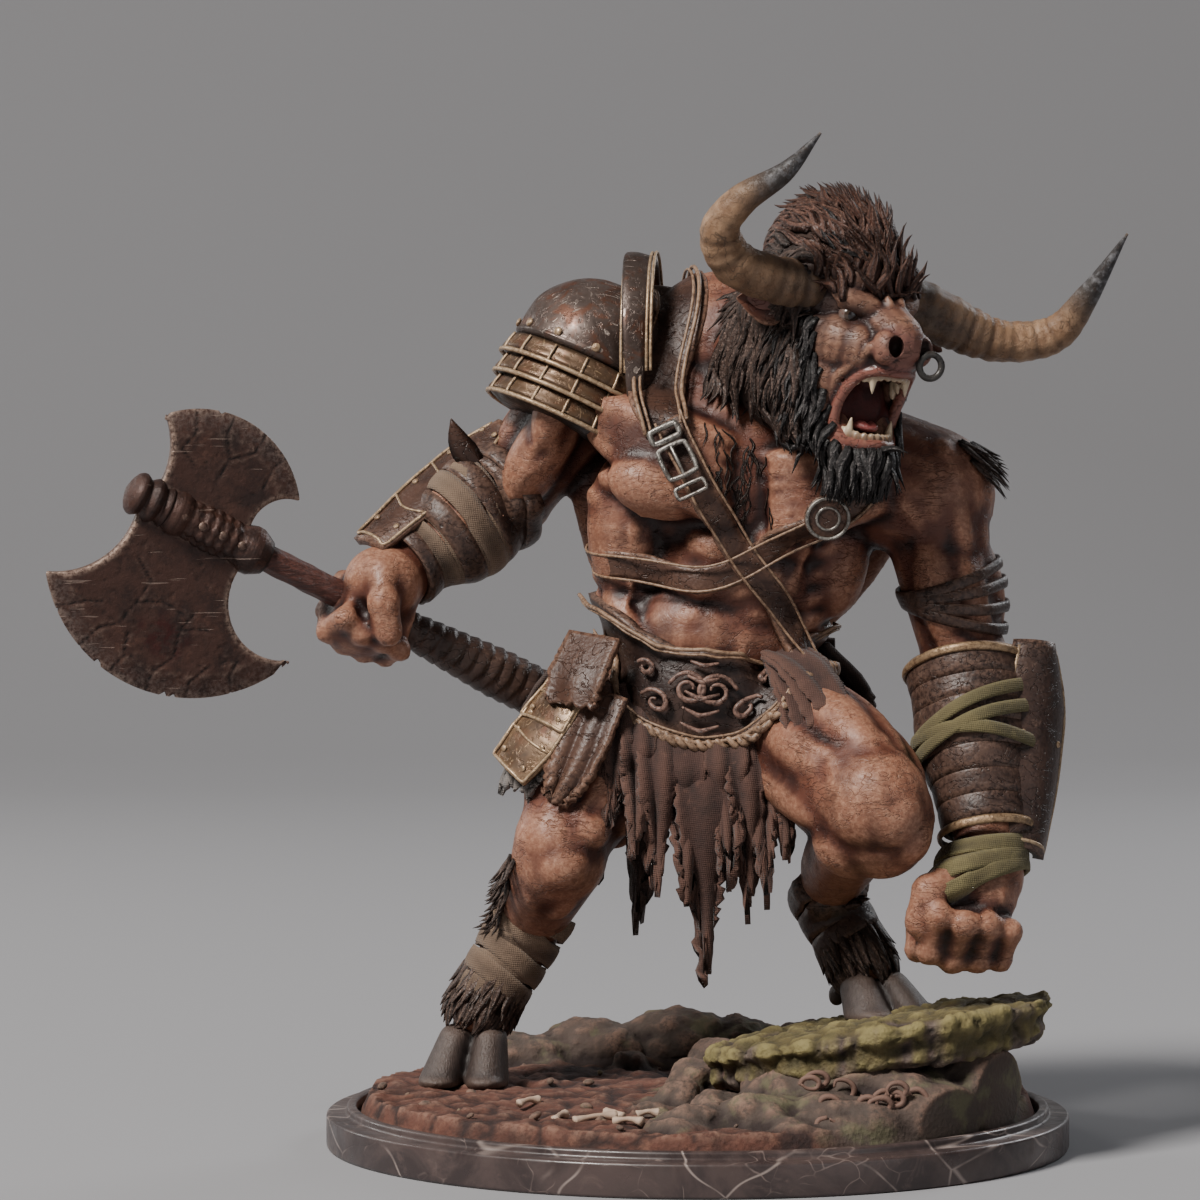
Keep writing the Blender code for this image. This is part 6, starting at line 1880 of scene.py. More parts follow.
def shoulder_plates():
    """The shoulder's dome with the three lames under it, and the guard that stands beside the neck."""
    middle = Vector((-11.4, 2.6, 78.6))
    down = Vector((-0.42, -0.1, -0.9)).normalized()
    top = middle - down * 8.7
    steel_profile = [8.75 * math.sqrt(max(0.0, 1 - (1 - k / 22) ** 2)) for k in range(23)]
    steel_profile += [8.75, 8.9, 8.6, 8.0]

    def dent(t, angle):
        return 1.0 + 0.010 * np.sin(angle * 3 + t * 5) + 0.008 * np.sin(angle * 7 - t * 11)

    dome = lathe_plate("dome", top, down, 9.8, steel_profile, ridge=dent)
    lames = []
    trims = []
    for row in range(3):
        start = middle + down * (0.6 + 2.3 * row)
        wide = 8.95 - 0.28 * row
        lame_profile = [
            wide - 1.4, wide - 0.15, wide, wide + 0.1, wide + 0.3, wide + 0.42, wide - 0.1, wide - 1.2
        ]

        def scallop(t, angle, row=row):
            lower = np.clip(t * 2 - 0.8, 0, 1)
            return 1.0 + 0.012 * np.cos(angle * 14) * lower + 0.008 * np.sin(angle * 5 + row)

        lames.append(lathe_plate("lame", start, down, 3.0, lame_profile, 84, 16, ridge=scallop))
        trims.append(hoop("trim", start + down * 2.55, down, wide + 0.40, 0.26, 0.97))
        for k in range(12):
            angle = math.radians(-100 + 24 * k)
            turn = turned(down, Vector((0, -1, 0)).cross(down))
            side = turn @ Vector((math.cos(angle), math.sin(angle) * 0.97, 0.0))
            low = start + side * (wide + 0.40) + down * 2.5
            high = start + side * (wide + 0.02) + down * 0.5
            trims.append(cord("rib", (high, high.lerp(low, 0.5) + side * 0.1, low), [0.16, 0.2], 8, 5))
    inner = middle + Vector((4.6, 0.0, 0.2))
    outward = Vector((0.97, -0.22, 0.1))
    arc = [
        inner + Vector((0.8 + 0.8 * math.cos(a), 9.0 * math.cos(a), -0.8 + 11.6 * math.sin(a)))
        for a in (math.radians(d) for d in range(-24, 205, 12))
    ]
    path = smooth_path(arc, 70)
    normals = [(q - inner + outward * 2).normalized() for q in path]
    stick = rod("guard_stick", 16, 60)
    guard = bent(stick, "guard", path, normals, [0.8, 1.5, 1.75, 1.75, 1.5, 0.8], 0.28)
    bpy.data.objects.remove(stick)
    disc = model("guard_plate")
    ball(inner, (1.3, 8.7, 10.9), outward, (1, 0, 0), segments=40)
    closed()
    for side in (-1, 1):
        for gap in (1.0, 0.72):
            shift = outward.normalized() * side * gap * 1.62
            stops = [q + shift + n * 0.42 for q, n in zip(path[4:-4:3], normals[4:-4:3])]
            trims.append(cord("piping", stops, [0.17, 0.17], 90, 6))
    studs = []
    for k in range(9):
        a = math.radians(-60 + 30 * k)
        turn = turned(down, Vector((0, -1, 0)).cross(down))
        side = turn @ Vector((math.cos(a), math.sin(a) * 0.97, 0.0))
        studs.append(knob("stud", middle - down * 0.3 + side * 8.85, side, 0.5))
    dome = joined("dome", [dome, joined("guard_all", [guard, disc])])
    return dome, joined("lames", lames), joined("trims", trims + studs)


def make_straps(tree):
    """The shoulder belt, its lower part, the chest strap and the two that close behind."""
    parts = []
    shoulder = (
        (-2.0, 14.0, 70.0), (-3.2, 8.0, 86.0), (-3.0, -2.0, 87.0), (-4.4, -8.0, 78.0), (-3.4, -10.0, 71.0)
    )
    shoulder_widths = [5.0, 6.2, 6.2, 6.0, 5.2]
    parts.append(band("shoulder_belt", tree, shoulder, shoulder_widths, 1.0, 70, 10))
    lower = (
        (-3.4, -10.0, 72.0), (-1.0, -12.0, 67.0), (3.0, -12.0, 60.0), (8.0, -10.0, 53.0), (12.6, -7.0, 48.0)
    )
    parts.append(band("lower_belt", tree, lower, [3.2, 3.1, 2.9], 0.9, 60, 6, out=0.5))
    chest = (
        (-12.0, 4.0, 57.0), (-10.0, -4.0, 56.6), (-4.0, -9.0, 55.4), (1.6, -10.0, 55.0), (7.0, -11.0, 57.4),
        (13.0, -11.0, 61.0), (19.0, -7.0, 66.0), (20.0, 0.0, 72.0), (15.0, 9.0, 74.0),
    )
    parts.append(band("chest_strap", tree, chest, [2.8, 2.9, 3.0, 2.8], 0.8, 90, 6))
    back = ((15.0, 9.0, 74.0), (8.0, 14.0, 68.0), (-2.0, 13.0, 60.0), (-10.0, 8.0, 56.6), (-12.0, 4.0, 57.0))
    parts.append(band("back_strap", tree, back, [3.0, 3.0], 0.8, 60, 6))
    back_belt = (
        (-2.0, 14.0, 72.0), (3.0, 14.0, 64.0), (9.0, 11.0, 54.0), (12.6, 4.0, 48.0), (12.6, -7.0, 48.0)
    )
    parts.append(band("back_belt", tree, back_belt, [3.4, 3.2], 0.8, 60, 6, out=0.5))
    piping = edging("piping", tree, shoulder, shoulder_widths, 0.35, 0.24, 80, 1.25)
    piping += edging("piping", tree, shoulder, shoulder_widths, 1.0, 0.17, 80, 1.25)
    piping += edging("piping", tree, lower, [3.2, 3.1, 2.9], 0.2, 0.15, 70, 1.4)
    piping += edging("piping", tree, chest, [2.8, 2.9, 3.0, 2.8], 0.2, 0.15, 90, 1.05)
    return joined("straps", parts), joined("strap_piping", piping)


def make_fittings(tree):
    """The buckle with its two keepers, and the chest ring on its leather boss."""
    parts = []
    spot, normal, _, _ = tree.find_nearest(Vector((-2.4, -12.0, 67.6)))
    down = Vector((0.42, -0.1, -0.9))
    down = (down - normal * normal.dot(down)).normalized()
    across = down.cross(normal).normalized()
    middle = spot + normal * 1.75

    def frame_loop(centre, high, wide, size):
        corners = []
        for u, v in ((-1, -0.7), (-0.7, -1), (0.7, -1), (1, -0.7), (1, 0.7), (0.7, 1), (-0.7, 1), (-1, 0.7)):
            corners.append(centre + across * (u * wide) + down * (v * high))
        return cord("buckle", corners, [size, size], 48, 8, loop=True)

    parts.append(frame_loop(middle, 1.7, 1.6, 0.28))
    parts.append(frame_loop(middle + down * 3.4, 0.6, 1.6, 0.22))
    parts.append(
        cord("prong", (middle - down * 1.8, middle + normal * 0.4, middle + down * 1.8), [0.22, 0.18], 12, 8)
    )
    parts.append(frame_loop(middle - down * 3.2, 0.7, 1.5, 0.34))
    ring_spot, ring_normal, _, _ = tree.find_nearest(Vector((13.4, -13.0, 61.4)))
    parts.append(hoop("ring", ring_spot + ring_normal * 1.2, ring_normal, 2.2, 0.20, sides=8))
    parts.append(hoop("ring", ring_spot + ring_normal * 1.25, ring_normal, 1.2, 0.16, sides=8))
    boss = model("boss")
    ball(ring_spot + ring_normal * 0.75, (2.5, 2.5, 0.55), ring_normal, segments=24)
    closed()
    paint_points(boss, "edge", np.zeros(len(boss.data.vertices)))
    return joined("fittings", parts), boss


BELT_FRONT = (
    (-13.0, 3.0, 50.0), (-11.6, -5.0, 47.6), (-6.6, -9.0, 44.6), (0.2, -10.0, 42.6), (7.0, -8.6, 43.4),
    (12.0, -3.0, 46.4), (12.8, 4.0, 48.6),
)
BELT_WIDTHS = [5.0, 6.2, 8.4, 10.2, 8.6, 6.0, 5.0]
BELT_STEPS = 60


def on_belt(tree, u, v, out):
    """A place on the girdle: u runs along it from 0 to 1, v across it from -1 to 1."""
    path, normals = on_skin(tree, BELT_FRONT, BELT_STEPS)
    at = min(max(u, 0), 1) * BELT_STEPS
    i = min(int(at), BELT_STEPS - 1)
    spot = path[i].lerp(path[i + 1], at - i)
    ahead = (path[i + 1] - path[i]).normalized()
    across = ahead.cross(normals[i]).normalized()
    spot = spot - across * v * along(BELT_WIDTHS, u) / 2
    near, over, _, _ = tree.find_nearest(spot)
    return near.lerp(spot, 0.5) + over.lerp(normals[i], 0.5) * out


def make_belt(tree):
    """The girdle, deep in front and narrow behind, with its roped hem, piping and scrolls."""
    front = band("belt_front", tree, BELT_FRONT, BELT_WIDTHS, 1.1, BELT_STEPS, 14, out=0.45, hug=0.5)
    behind = ((12.8, 4.0, 48.6), (8.0, 12.0, 48.0), (0.0, 13.0, 47.0), (-8.0, 11.0, 48.0), (-13.0, 3.0, 50.0))
    rear = band("belt_rear", tree, behind, [5.0, 5.0], 1.0, 60, 8)
    trims, scrolls = [], []
    for v, size in ((-0.97, 0.24), (0.97, 0.24), (0.84, 0.14), (-0.84, 0.14)):
        trims.append(cord("piping", [on_belt(tree, k / 24, v, 1.5) for k in range(25)], [size, size], 120, 6))
    for side in (-1, 1):
        for start, turns, size, v0 in (
            (0.52, 1.5, 0.055, 0.1), (0.60, 1.2, 0.042, -0.35), (0.68, 1.0, 0.036, 0.2)
        ):
            stops = []
            for k in range(15):
                t = k / 14
                angle = turns * math.tau * t
                radius = size * (1 - 0.75 * t)
                u = 0.5 + side * ((start - 0.5) + size * 0.3 + radius * math.cos(angle))
                stops.append(on_belt(tree, u, v0 + radius * 6.5 * math.sin(angle), 1.32))
            scrolls.append(cord("scroll", stops, [0.24, 0.34, 0.14], 44, 6))
    for k in range(5):
        v = -0.7 + 0.32 * k
        stops = [on_belt(tree, 0.5 + d, v + 2.2 * abs(d), 1.45) for d in (-0.045, -0.02, 0.0, 0.02, 0.045)]
        scrolls.append(cord("leaf", stops, [0.14, 0.32, 0.14], 16, 6))
    rope = []
    for phase in (0, math.pi):
        stops = []
        for k in range(97):
            t = k / 96
            centre = on_belt(tree, 0.04 + 0.92 * t, -1.06, 1.2)
            a = phase + t * 130
            stops.append(centre + Vector((0, math.cos(a), math.sin(a))) * 0.42)
        rope.append(cord("rope", stops, [0.42, 0.42], 288, 6))
    belt = joined("belt", [front, rear])
    return belt, joined("belt_trims", trims), joined("belt_scrolls", scrolls), joined("belt_rope", rope)


def trimmed_plate(name, points, widths, facing, thickness, trims, rivets=3, lines=1, arch=0.6, border=0.2):
    """A plate with a border, cross lines and rivets."""
    obj = hung(
        name, points, widths, facing, thickness, 10, 24, fold=0.12, folds=1.0, ragged=0.0, seed=3, arch=arch
    )
    path = smooth_path(points, 24)
    facing = Vector(facing).normalized()

    def at(u, t, out):
        i = min(int(t * 24), 23)
        ahead = (path[i + 1] - path[i]).normalized()
        across = ahead.cross(facing).normalized()
        front = across.cross(ahead).normalized()
        spot = path[i].lerp(path[i + 1], t * 24 - i)
        return spot + across * u * along(widths, t) / 2 + front * (out - arch * u * u)

    out = thickness / 2 + 0.12
    around = [at(-0.96, 0.03 + 0.94 * k / 8, out) for k in range(9)]
    around += [at(-0.96 + 1.92 * k / 5, 0.97, out) for k in range(1, 5)]
    around += [at(0.96, 0.97 - 0.94 * k / 8, out) for k in range(9)]
    trims.append(cord("border", around, [border, border], 70, 6))
    for k in range(lines):
        t = (k + 1) / (lines + 1)
        stops = [at(-0.9 + 1.8 * j / 4, t + 0.03 * math.sin(j), out) for j in range(5)]
        trims.append(cord("line", stops, [0.16, 0.16], 16, 6))
    for k in range(rivets):
        t = (k + 0.5) / rivets
        for u in (-0.62, 0.62):
            trims.append(knob("rivet", at(u, t, out), facing, 0.36))
    return obj


def make_tassets():
    """Hip plates over the near thigh in layers, with cloth and torn leather below."""
    trims = []
    plates = [
        trimmed_plate("tasset", ((-12.6, -3.8, 46.6), (-14.8, -5.8, 42.6), (-16.8, -6.6, 39.6)),
                      [5.6, 6.6, 7.0],
                      (-0.72, -0.68, 0.1), 1.0, trims),
        trimmed_plate("tasset", ((-15.6, -6.2, 41.0), (-17.8, -6.9, 38.0), (-20.4, -6.6, 34.8)),
                      [7.0, 6.8, 5.6],
                      (-0.70, -0.70, 0.1), 0.9, trims),
        trimmed_plate("side_plate", ((-14.4, 1.4, 47.0), (-16.8, 1.4, 42.0), (-18.6, 1.2, 38.4)),
                      [6.0, 6.8, 6.4],
                      (-0.97, 0.0, 0.2), 0.9, trims),
    ]
    cloth = [
        hung("tasset_cloth", ((-17.4, 0.8, 40.0), (-19.6, 0.6, 35.8), (-21.4, 0.4, 31.6)), [6.2, 6.0, 1.4],
             (-0.97, -0.1, 0.2), 0.7, 12, 30, 0.3, 3, 1.6, 5),
        hung("tasset_cloth", ((-16.6, -5.4, 38.4), (-18.2, -6.0, 35.0), (-19.4, -6.0, 31.8)), [6.4, 6.0, 4.0],
             (-0.68, -0.74, 0.1), 0.6, 16, 24, 0.3, 5, 2.4, 6),
    ]
    leather = [
        hung("hip_leather", ((-11.0, -6.2, 49.0), (-13.0, -8.2, 44.8), (-13.8, -8.8, 41.4)), [6.4, 7.0, 6.2],
             (-0.55, -0.83, 0.1), 0.8, 12, 24, 0.25, 2, 1.2, 8),
        hung("torn_leather",
             ((-9.6, -7.8, 43.0), (-12.2, -9.4, 37.4), (-14.2, -9.8, 33.8), (-15.6, -9.6, 31.4)),
             [4.8, 5.2, 4.6, 2.4], (-0.4, -0.9, 0.1), 0.9, 14, 34, 0.35, 3, 1.8, 7),
    ]
    leather = joined("hip_leather", leather)
    return joined("tassets", plates), joined("tasset_trims", trims), joined("tasset_cloth", cloth), leather


KILT_STRIPS = (
    ((-8.6, -8.2, 41.6), (-9.6, -9.6, 27.6), 3.4, 0.4), ((-6.4, -9.0, 40.6), (-6.8, -10.4, 25.0), 3.6, 0.5),
    ((-4.4, -9.6, 39.6), (-4.6, -10.4, 21.4), 4.2, 0.6), ((-1.6, -10.0, 39.0), (-1.4, -9.8, 19.6), 4.6, 0.6),
    ((0.4, -10.2, 39.0), (0.9, -9.5, 10.8), 6.2, 0.7), ((2.8, -10.0, 39.2), (3.0, -10.9, 22.0), 4.4, 0.6),
    ((4.8, -9.6, 39.8), (5.2, -10.6, 18.6), 4.2, 0.6), ((6.8, -8.8, 40.8), (7.2, -10.8, 20.0), 4.0, 0.5),
    ((8.8, -7.8, 41.8), (9.2, -11.2, 24.0), 3.8, 0.4),
)
BACK_STRIPS = (
    ((-13.5, 5.6, 46.0), (-15.6, 8.4, 26.0), 7.0, 0.5), ((-9.6, 11.8, 46.0), (-11.2, 13.6, 20.0), 7.8, 0.5),
    ((-4.6, 14.6, 46.0), (-6.4, 14.6, 14.8), 8.4, 0.6), ((1.0, 15.4, 46.0), (-0.6, 15.0, 18.0), 8.4, 0.6),
    ((6.6, 14.0, 46.0), (6.4, 14.6, 22.0), 8.2, 0.5), ((11.4, 10.2, 46.0), (13.0, 12.2, 26.0), 7.6, 0.4),
    ((14.0, 4.0, 46.0), (15.0, 5.4, 31.0), 6.0, 0.4),
)


def make_kilt():
    front, back = [], []
    for parts, rows, facing, bulge in (
        (front, KILT_STRIPS, (0.0, -1.0, 0.0), 0.0), (back, BACK_STRIPS, (0.0, 1.0, 0.0), 2.6)
    ):
        for k, (top, tip, width, fold) in enumerate(rows):
            top, tip = Vector(top), Vector(tip)
            out = Vector((0.9 if top.x > 0 else -0.9, 0.5, 0.0)) if abs(top.x) > 13 else Vector(facing)
            points = (
                top - out * (4.2 - bulge) + Vector((0, 0, 2.0)), top.lerp(tip, 0.20) + out * 1.2 * bulge,
                top.lerp(tip, 0.40) + out * (bulge + fold * (-1) ** k),
                top.lerp(tip, 0.68) - out * fold * (-1) ** k, tip,
            )
            widths = [width, width * 1.04, width * 0.96, width * 0.78, width * 0.5, 0.7]
            parts.append(hung("strip", points, widths, out, 0.62, 12, 44, 0.42, 2.4, 2.6, 10 + k))
    for k in range(4):
        share = k / 3
        start = Vector((8.0 + 1.6 * share, -3.0 - 2.0 * share, 47.8 - 1.0 * share))
        end = Vector((14.6 - 3.2 * share, -13.4 + 0.4 * share, 41.2 - 4.6 * share))
        points = (start, (start + end) / 2 + Vector((0, -0.8, 1.5)), end)
        front.append(
            hung(
                "thigh_cloth", points, [5.6, 5.4, 4.0], (0.1, -0.5, 0.86), 0.7, 14, 30, 0.3, 2.6, 1.0, 40 + k
            )
        )
    return joined("kilt", front), joined("back_cloth", back)


def make_wrappings(tree):
    """Bandages and bracers on the arms and legs, by colour."""
    tan, brown, olive, metal = [], [], [], []
    forearm = WRIST_R - ELBOW_R
    for k in range(9):
        share = 0.20 + 0.094 * k
        tilt = forearm.normalized() + Vector((0.18 * (-1) ** k, 0.05, 0.20 * (-1) ** k))
        target = brown if k in (0, 1, 5, 8) else tan
        target.append(
            ring_band(
                "wrap", tree, ELBOW_R.lerp(WRIST_R, share), tilt, 2.3, 0.5, 9.0, gap=0.14 + 0.1 * (k % 2)
            )
        )
    brown.append(ring_band("cuff", tree, ELBOW_R.lerp(WRIST_R, 0.10), forearm, 1.6, 0.8, 10.0, gap=0.3))
    brown.append(ring_band("cuff", tree, ELBOW_R.lerp(WRIST_R, 0.98), forearm, 1.5, 0.7, 8.0, gap=0.3))
    shin = FETLOCK_R - HOCK_R
    for k in range(7):
        tilt = shin.normalized() + Vector((0.26 * (-1) ** k, 0, 0))
        tan.append(
            ring_band(
                "wrap", tree, HOCK_R.lerp(FETLOCK_R, -0.02 + 0.13 * k), tilt, 2.2, 0.5, 8.0,
                gap=0.16 + 0.12 * (k % 2)
            )
        )
    shin = FETLOCK_L - HOCK_L
    for k in range(5):
        tilt = shin.normalized() + Vector((0.18 * (-1) ** k, 0, 0))
        brown.append(
            ring_band("wrap", tree, HOCK_L.lerp(FETLOCK_L, -0.1 + 0.17 * k), tilt, 2.2, 0.5, 8.0, gap=0.2)
        )
    thigh = (KNEE_R - HIP_R).normalized()
    for k in range(2):
        brown.append(
            ring_band(
                "wrap", tree, HIP_R.lerp(KNEE_R, 0.36 + 0.13 * k), thigh + Vector((0.3 - 0.2 * k, 0, 0)), 2.4,
                0.6, 11.0, gap=0.3
            )
        )
    for k, share in enumerate((0.52, 0.58, 0.66, 0.74)):
        tilt = Vector((0.34 - 0.20 * k, 0.1, -1.0))
        brown.append(ring_band("wrap", tree, SHOULDER_L.lerp(ELBOW_L, share), tilt, 0.9, 0.4, 9.0, gap=0.2))
    forearm = WRIST_L - ELBOW_L
    for k in range(7):
        share = 0.10 + 0.125 * k
        thickness = 1.2 - 0.1 * k
        brown.append(
            ring_band("bracer", tree, ELBOW_L.lerp(WRIST_L, share), forearm, 2.9, thickness, 10.0, gap=0.5)
        )
    for share, lean in ((0.34, 0.35), (0.44, 0.30), (0.50, -0.15)):
        tilt = forearm.normalized() + Vector((lean, 0, 0.1))
        olive.append(ring_band("strap", tree, ELBOW_L.lerp(WRIST_L, share), tilt, 1.2, 0.4, 10.0, gap=1.7))
    for share in (0.06, 0.95):
        metal.append(
            ring_band(
                "band", tree, ELBOW_L.lerp(WRIST_L, share), forearm, 0.45, 0.4, 10.0, gap=1.7 - 0.5 * share
            )
        )
    hand = (FIST_L - WRIST_L).normalized() + Vector((0.5, 0, -0.3))
    for k, share in enumerate((0.12, 0.34, 0.56)):
        olive.append(
            ring_band(
                "hand_strap", tree, WRIST_L.lerp(FIST_L, share), hand + Vector((0.2 * k, 0, 0)), 1.6, 0.5,
                8.0, gap=0.3
            )
        )
    return joined("bandages", tan), joined(
        "leather_wraps", brown
    ), joined("olive_straps", olive), joined("bracer_bands", metal)


def make_arm_plates():
    """The ridge plate along the near forearm with its spike, and the flared plate outside the far one."""
    trims, plates = [], []
    ridge = [
        ELBOW_R.lerp(WRIST_R, t) + Vector(
            (-3.4 - 1.2 * t, -3.0, 5.4 - 3.4 * t)
        ) for t in (-0.22, 0.1, 0.5, 0.98)
    ]
    plates.append(
        trimmed_plate("ridge_plate", ridge, [2.0, 6.0, 6.6, 4.8], (-0.45, -0.62, 0.62), 1.0, trims, 4, 3)
    )
    stick = lock_template("spike_stick", 8, 8)
    root, tip = Vector((-23.6, 3.2, 66.6)), Vector((-26.6, 2.0, 72.2))
    path = smooth_path((root, root.lerp(tip, 0.5) + Vector((-0.5, 0, 0)), tip), 10)
    plates.append(bent(stick, "spike", path, steady_normals(path, (0, -1, 0)), [1.5], 0.5))
    bpy.data.objects.remove(stick)
    outer = ((36.6, -7.0, 48.4), (36.4, -8.6, 42.0), (35.6, -11.4, 34.4), (34.4, -14.0, 26.8))
    bracer = trimmed_plate(
        "bracer_plate", outer, [5.0, 8.4, 7.6, 6.0], (0.60, -0.80, 0.1), 1.2, trims, 1, 0, 1.8, 0.22
    )
    return joined("ridge_plates", plates), joined("bracer_plate", [bracer]), joined("arm_trims", trims)


def make_nose_ring():
    frame = head_frame()
    stops = [
        frame @ Vector((11.4 + 0.4 * math.cos(a), 2.7 + 1.15 * math.cos(a), -3.2 + 1.25 * math.sin(a)))
        for a in (math.tau * k / 12 for k in range(12))
    ]
    return cord("nose_ring", stops, [0.36, 0.36], 48, 12, loop=True)


# Axe


def haft_frame():
    """u runs along the haft from its knob, v across it in the plane of the blades, w square to them."""
    along_haft = (HAFT_END - HAFT_START).normalized()
    square = Vector((0.12, -1.0, 0.0))
    square = (square - along_haft * along_haft.dot(square)).normalized()
    across = square.cross(along_haft)
    if across.z > 0:
        across = -across
    return Matrix.Translation(HAFT_START) @ Matrix(
        (along_haft, across, along_haft.cross(across))
    ).transposed().to_4x4()


def arc(start, end, bulge, steps):
    """Points on the circular arc from start to end whose middle stands bulge to the left of the chord."""
    start, end = Vector(start), Vector(end)
    chord = end - start
    left = Vector((-chord.y, chord.x)).normalized()
    radius = (chord.length**2 / 4 + bulge**2) / (2 * abs(bulge))
    centre = (start + end) / 2 + left * (bulge - math.copysign(radius, bulge))
    first = math.atan2(start.y - centre.y, start.x - centre.x)
    sweep = 2 * math.atan2(chord.length / 2, radius - abs(bulge))
    if abs(bulge) > radius:
        sweep = math.tau - sweep
    turn = -sweep if bulge > 0 else sweep
    return [
        centre + Vector((math.cos(first + turn * k / steps), math.sin(first + turn * k / steps))) * radius
        for k in range(steps + 1)
    ]


LOWER_BIT = {
    "tips": ((-6.2, 11.6), (22.6, 8.6)), "edge": 8.4, "necks": ((-0.2, 1.6), (12.8, 1.6)),
    "hollows": (2.2, 4.2),
    "cracks": (
        ((-3.6, 14.4), (-1.0, 12.6), (0.6, 11.8)), ((0.4, 17.4), (1.6, 14.6), (3.4, 13.0), (4.0, 10.4)),
        ((4.6, 19.0), (5.4, 16.0), (4.6, 13.6)),
        ((9.6, 19.6), (9.0, 16.4), (10.4, 13.8), (9.6, 11.0), (10.4, 8.4)),
        ((14.0, 18.4), (13.2, 15.6), (14.4, 12.8)), ((18.6, 15.4), (16.8, 13.0), (17.0, 11.0)),
        ((4.0, 10.4), (6.6, 9.0), (9.6, 9.4)), ((2.0, 6.0), (4.4, 7.6), (4.0, 10.4)),
        ((9.6, 11.0), (12.6, 9.6)),
    ),
}
UPPER_BIT = {
    "tips": ((-2.2, -8.8), (15.4, -7.0)), "edge": 4.2, "necks": ((0.6, -1.6), (11.8, -1.6)),
    "hollows": (1.0, 1.6),
    "cracks": (
        ((0.6, -11.0), (1.6, -8.6), (1.0, -6.4)), ((4.6, -12.4), (4.8, -9.6), (6.2, -7.6), (6.0, -5.2)),
        ((8.8, -12.4), (8.4, -9.4), (6.2, -7.6)), ((12.2, -11.0), (10.8, -8.8), (11.0, -6.4)),
        ((3.0, -5.4), (1.0, -6.4)),
    ),
}
BLADE_THICKNESS = 1.3


def to_lines(places, lines):
    """How far each place is from the nearest of some broken lines."""
    best = np.full(len(places), 1e9)
    for line in lines:
        for a, b in zip(line, line[1:]):
            a, b = np.array(a[:2], dtype=float), np.array(b[:2], dtype=float)
            t = np.clip(((places - a) @ (b - a)) / max((b - a) @ (b - a), 1e-9), 0, 1)
            best = np.minimum(best, np.linalg.norm(places - a - t[:, None] * (b - a), axis=1))
    return best


def rough(places, size, seed=0.0, octaves=4):
    """Noise from about -1 to 1 at each place."""
    shift = Vector((seed, seed * 1.7, -seed))
    return np.array([noise.fractal(Vector(p) / size + shift, 0.8, 2.1, octaves) for p in places.tolist()])


STAIN_PLACE = (8.4, 12.4)
STAIN_SIZE = (2.6, 1.9)


def blade(name, bit, side):
    """An iron bit: thick at the socket, ground to an edge with nicks, and cracked from the edge inwards."""
    outline = arc(*bit["tips"], side * bit["edge"], 40)[:-1]
    outline += arc(bit["tips"][1], bit["necks"][1], side * -bit["hollows"][1], 18)
    outline += arc(bit["necks"][0], bit["tips"][0], side * -bit["hollows"][0], 18)[:-1]
    curve = bpy.data.curves.new(name, "CURVE")
    curve.dimensions = "2D"
    curve.fill_mode = "BOTH"
    curve.extrude = BLADE_THICKNESS / 2
    spline = curve.splines.new("POLY")
    spline.points.add(len(outline) - 1)
    for point, place in zip(spline.points, outline):
        point.co = (place.x, place.y, 0.0, 1.0)
    spline.use_cyclic_u = True
    obj = bpy.data.objects.new(name, curve)
    bpy.context.scene.collection.objects.link(obj)
    only(obj)
    bpy.ops.object.convert(target="MESH")
    obj = bpy.context.object
    applied(obj, "REMESH", mode="VOXEL", voxel_size=0.23)
    applied(obj, "SMOOTH", factor=0.5, iterations=2)
    local = points_of(obj).astype(np.float64)
    flat = local[:, :2]
    gap = to_lines(flat, [arc(*bit["tips"], side * bit["edge"], 40)])
    waves = rough(local * (1, 1, 0), 2.6, 3.0)
    line = to_lines(flat + 0.12 * waves[:, None], bit["cracks"])
    crack = np.exp(-((line / 0.08) ** 2))
    bevel = np.clip((gap + 0.25 * waves) / 2.4, 0.0, 1.0)
    thickness = 0.22 + 0.78 * bevel**0.8
    pit = np.clip(rough(local, 0.9, 7.0) - 0.25, 0, 1)
    groove = np.sign(local[:, 2]) * crack * 0.15 * np.minimum(bevel + 0.3, 1)
    local[:, 2] = local[:, 2] * thickness * (1 - 0.25 * pit) - groove
    nick = np.clip(
        rough(np.column_stack([flat, np.zeros(len(flat))]), 1.5, 11.0) - 0.28, 0, 1
    ) * np.clip(1 - gap / 0.8, 0, 1)
    inward = np.array([0.0, -side * 1.0])
    local[:, :2] += inward * nick[:, None] * 1.2
    move_points(obj, local)
    paint_points(obj, "crack", crack)
    paint_points(obj, "grind", 1 - np.clip(gap / 2.6, 0, 1))
    away = np.linalg.norm((flat - STAIN_PLACE) / STAIN_SIZE, axis=1)
    stain = away + 0.5 * rough(local * (1, 1, 0), 1.8, 5.0)
    paint_points(obj, "stain", np.clip(1.5 - stain, 0, 1))
    obj.data.transform(haft_frame())
    return obj


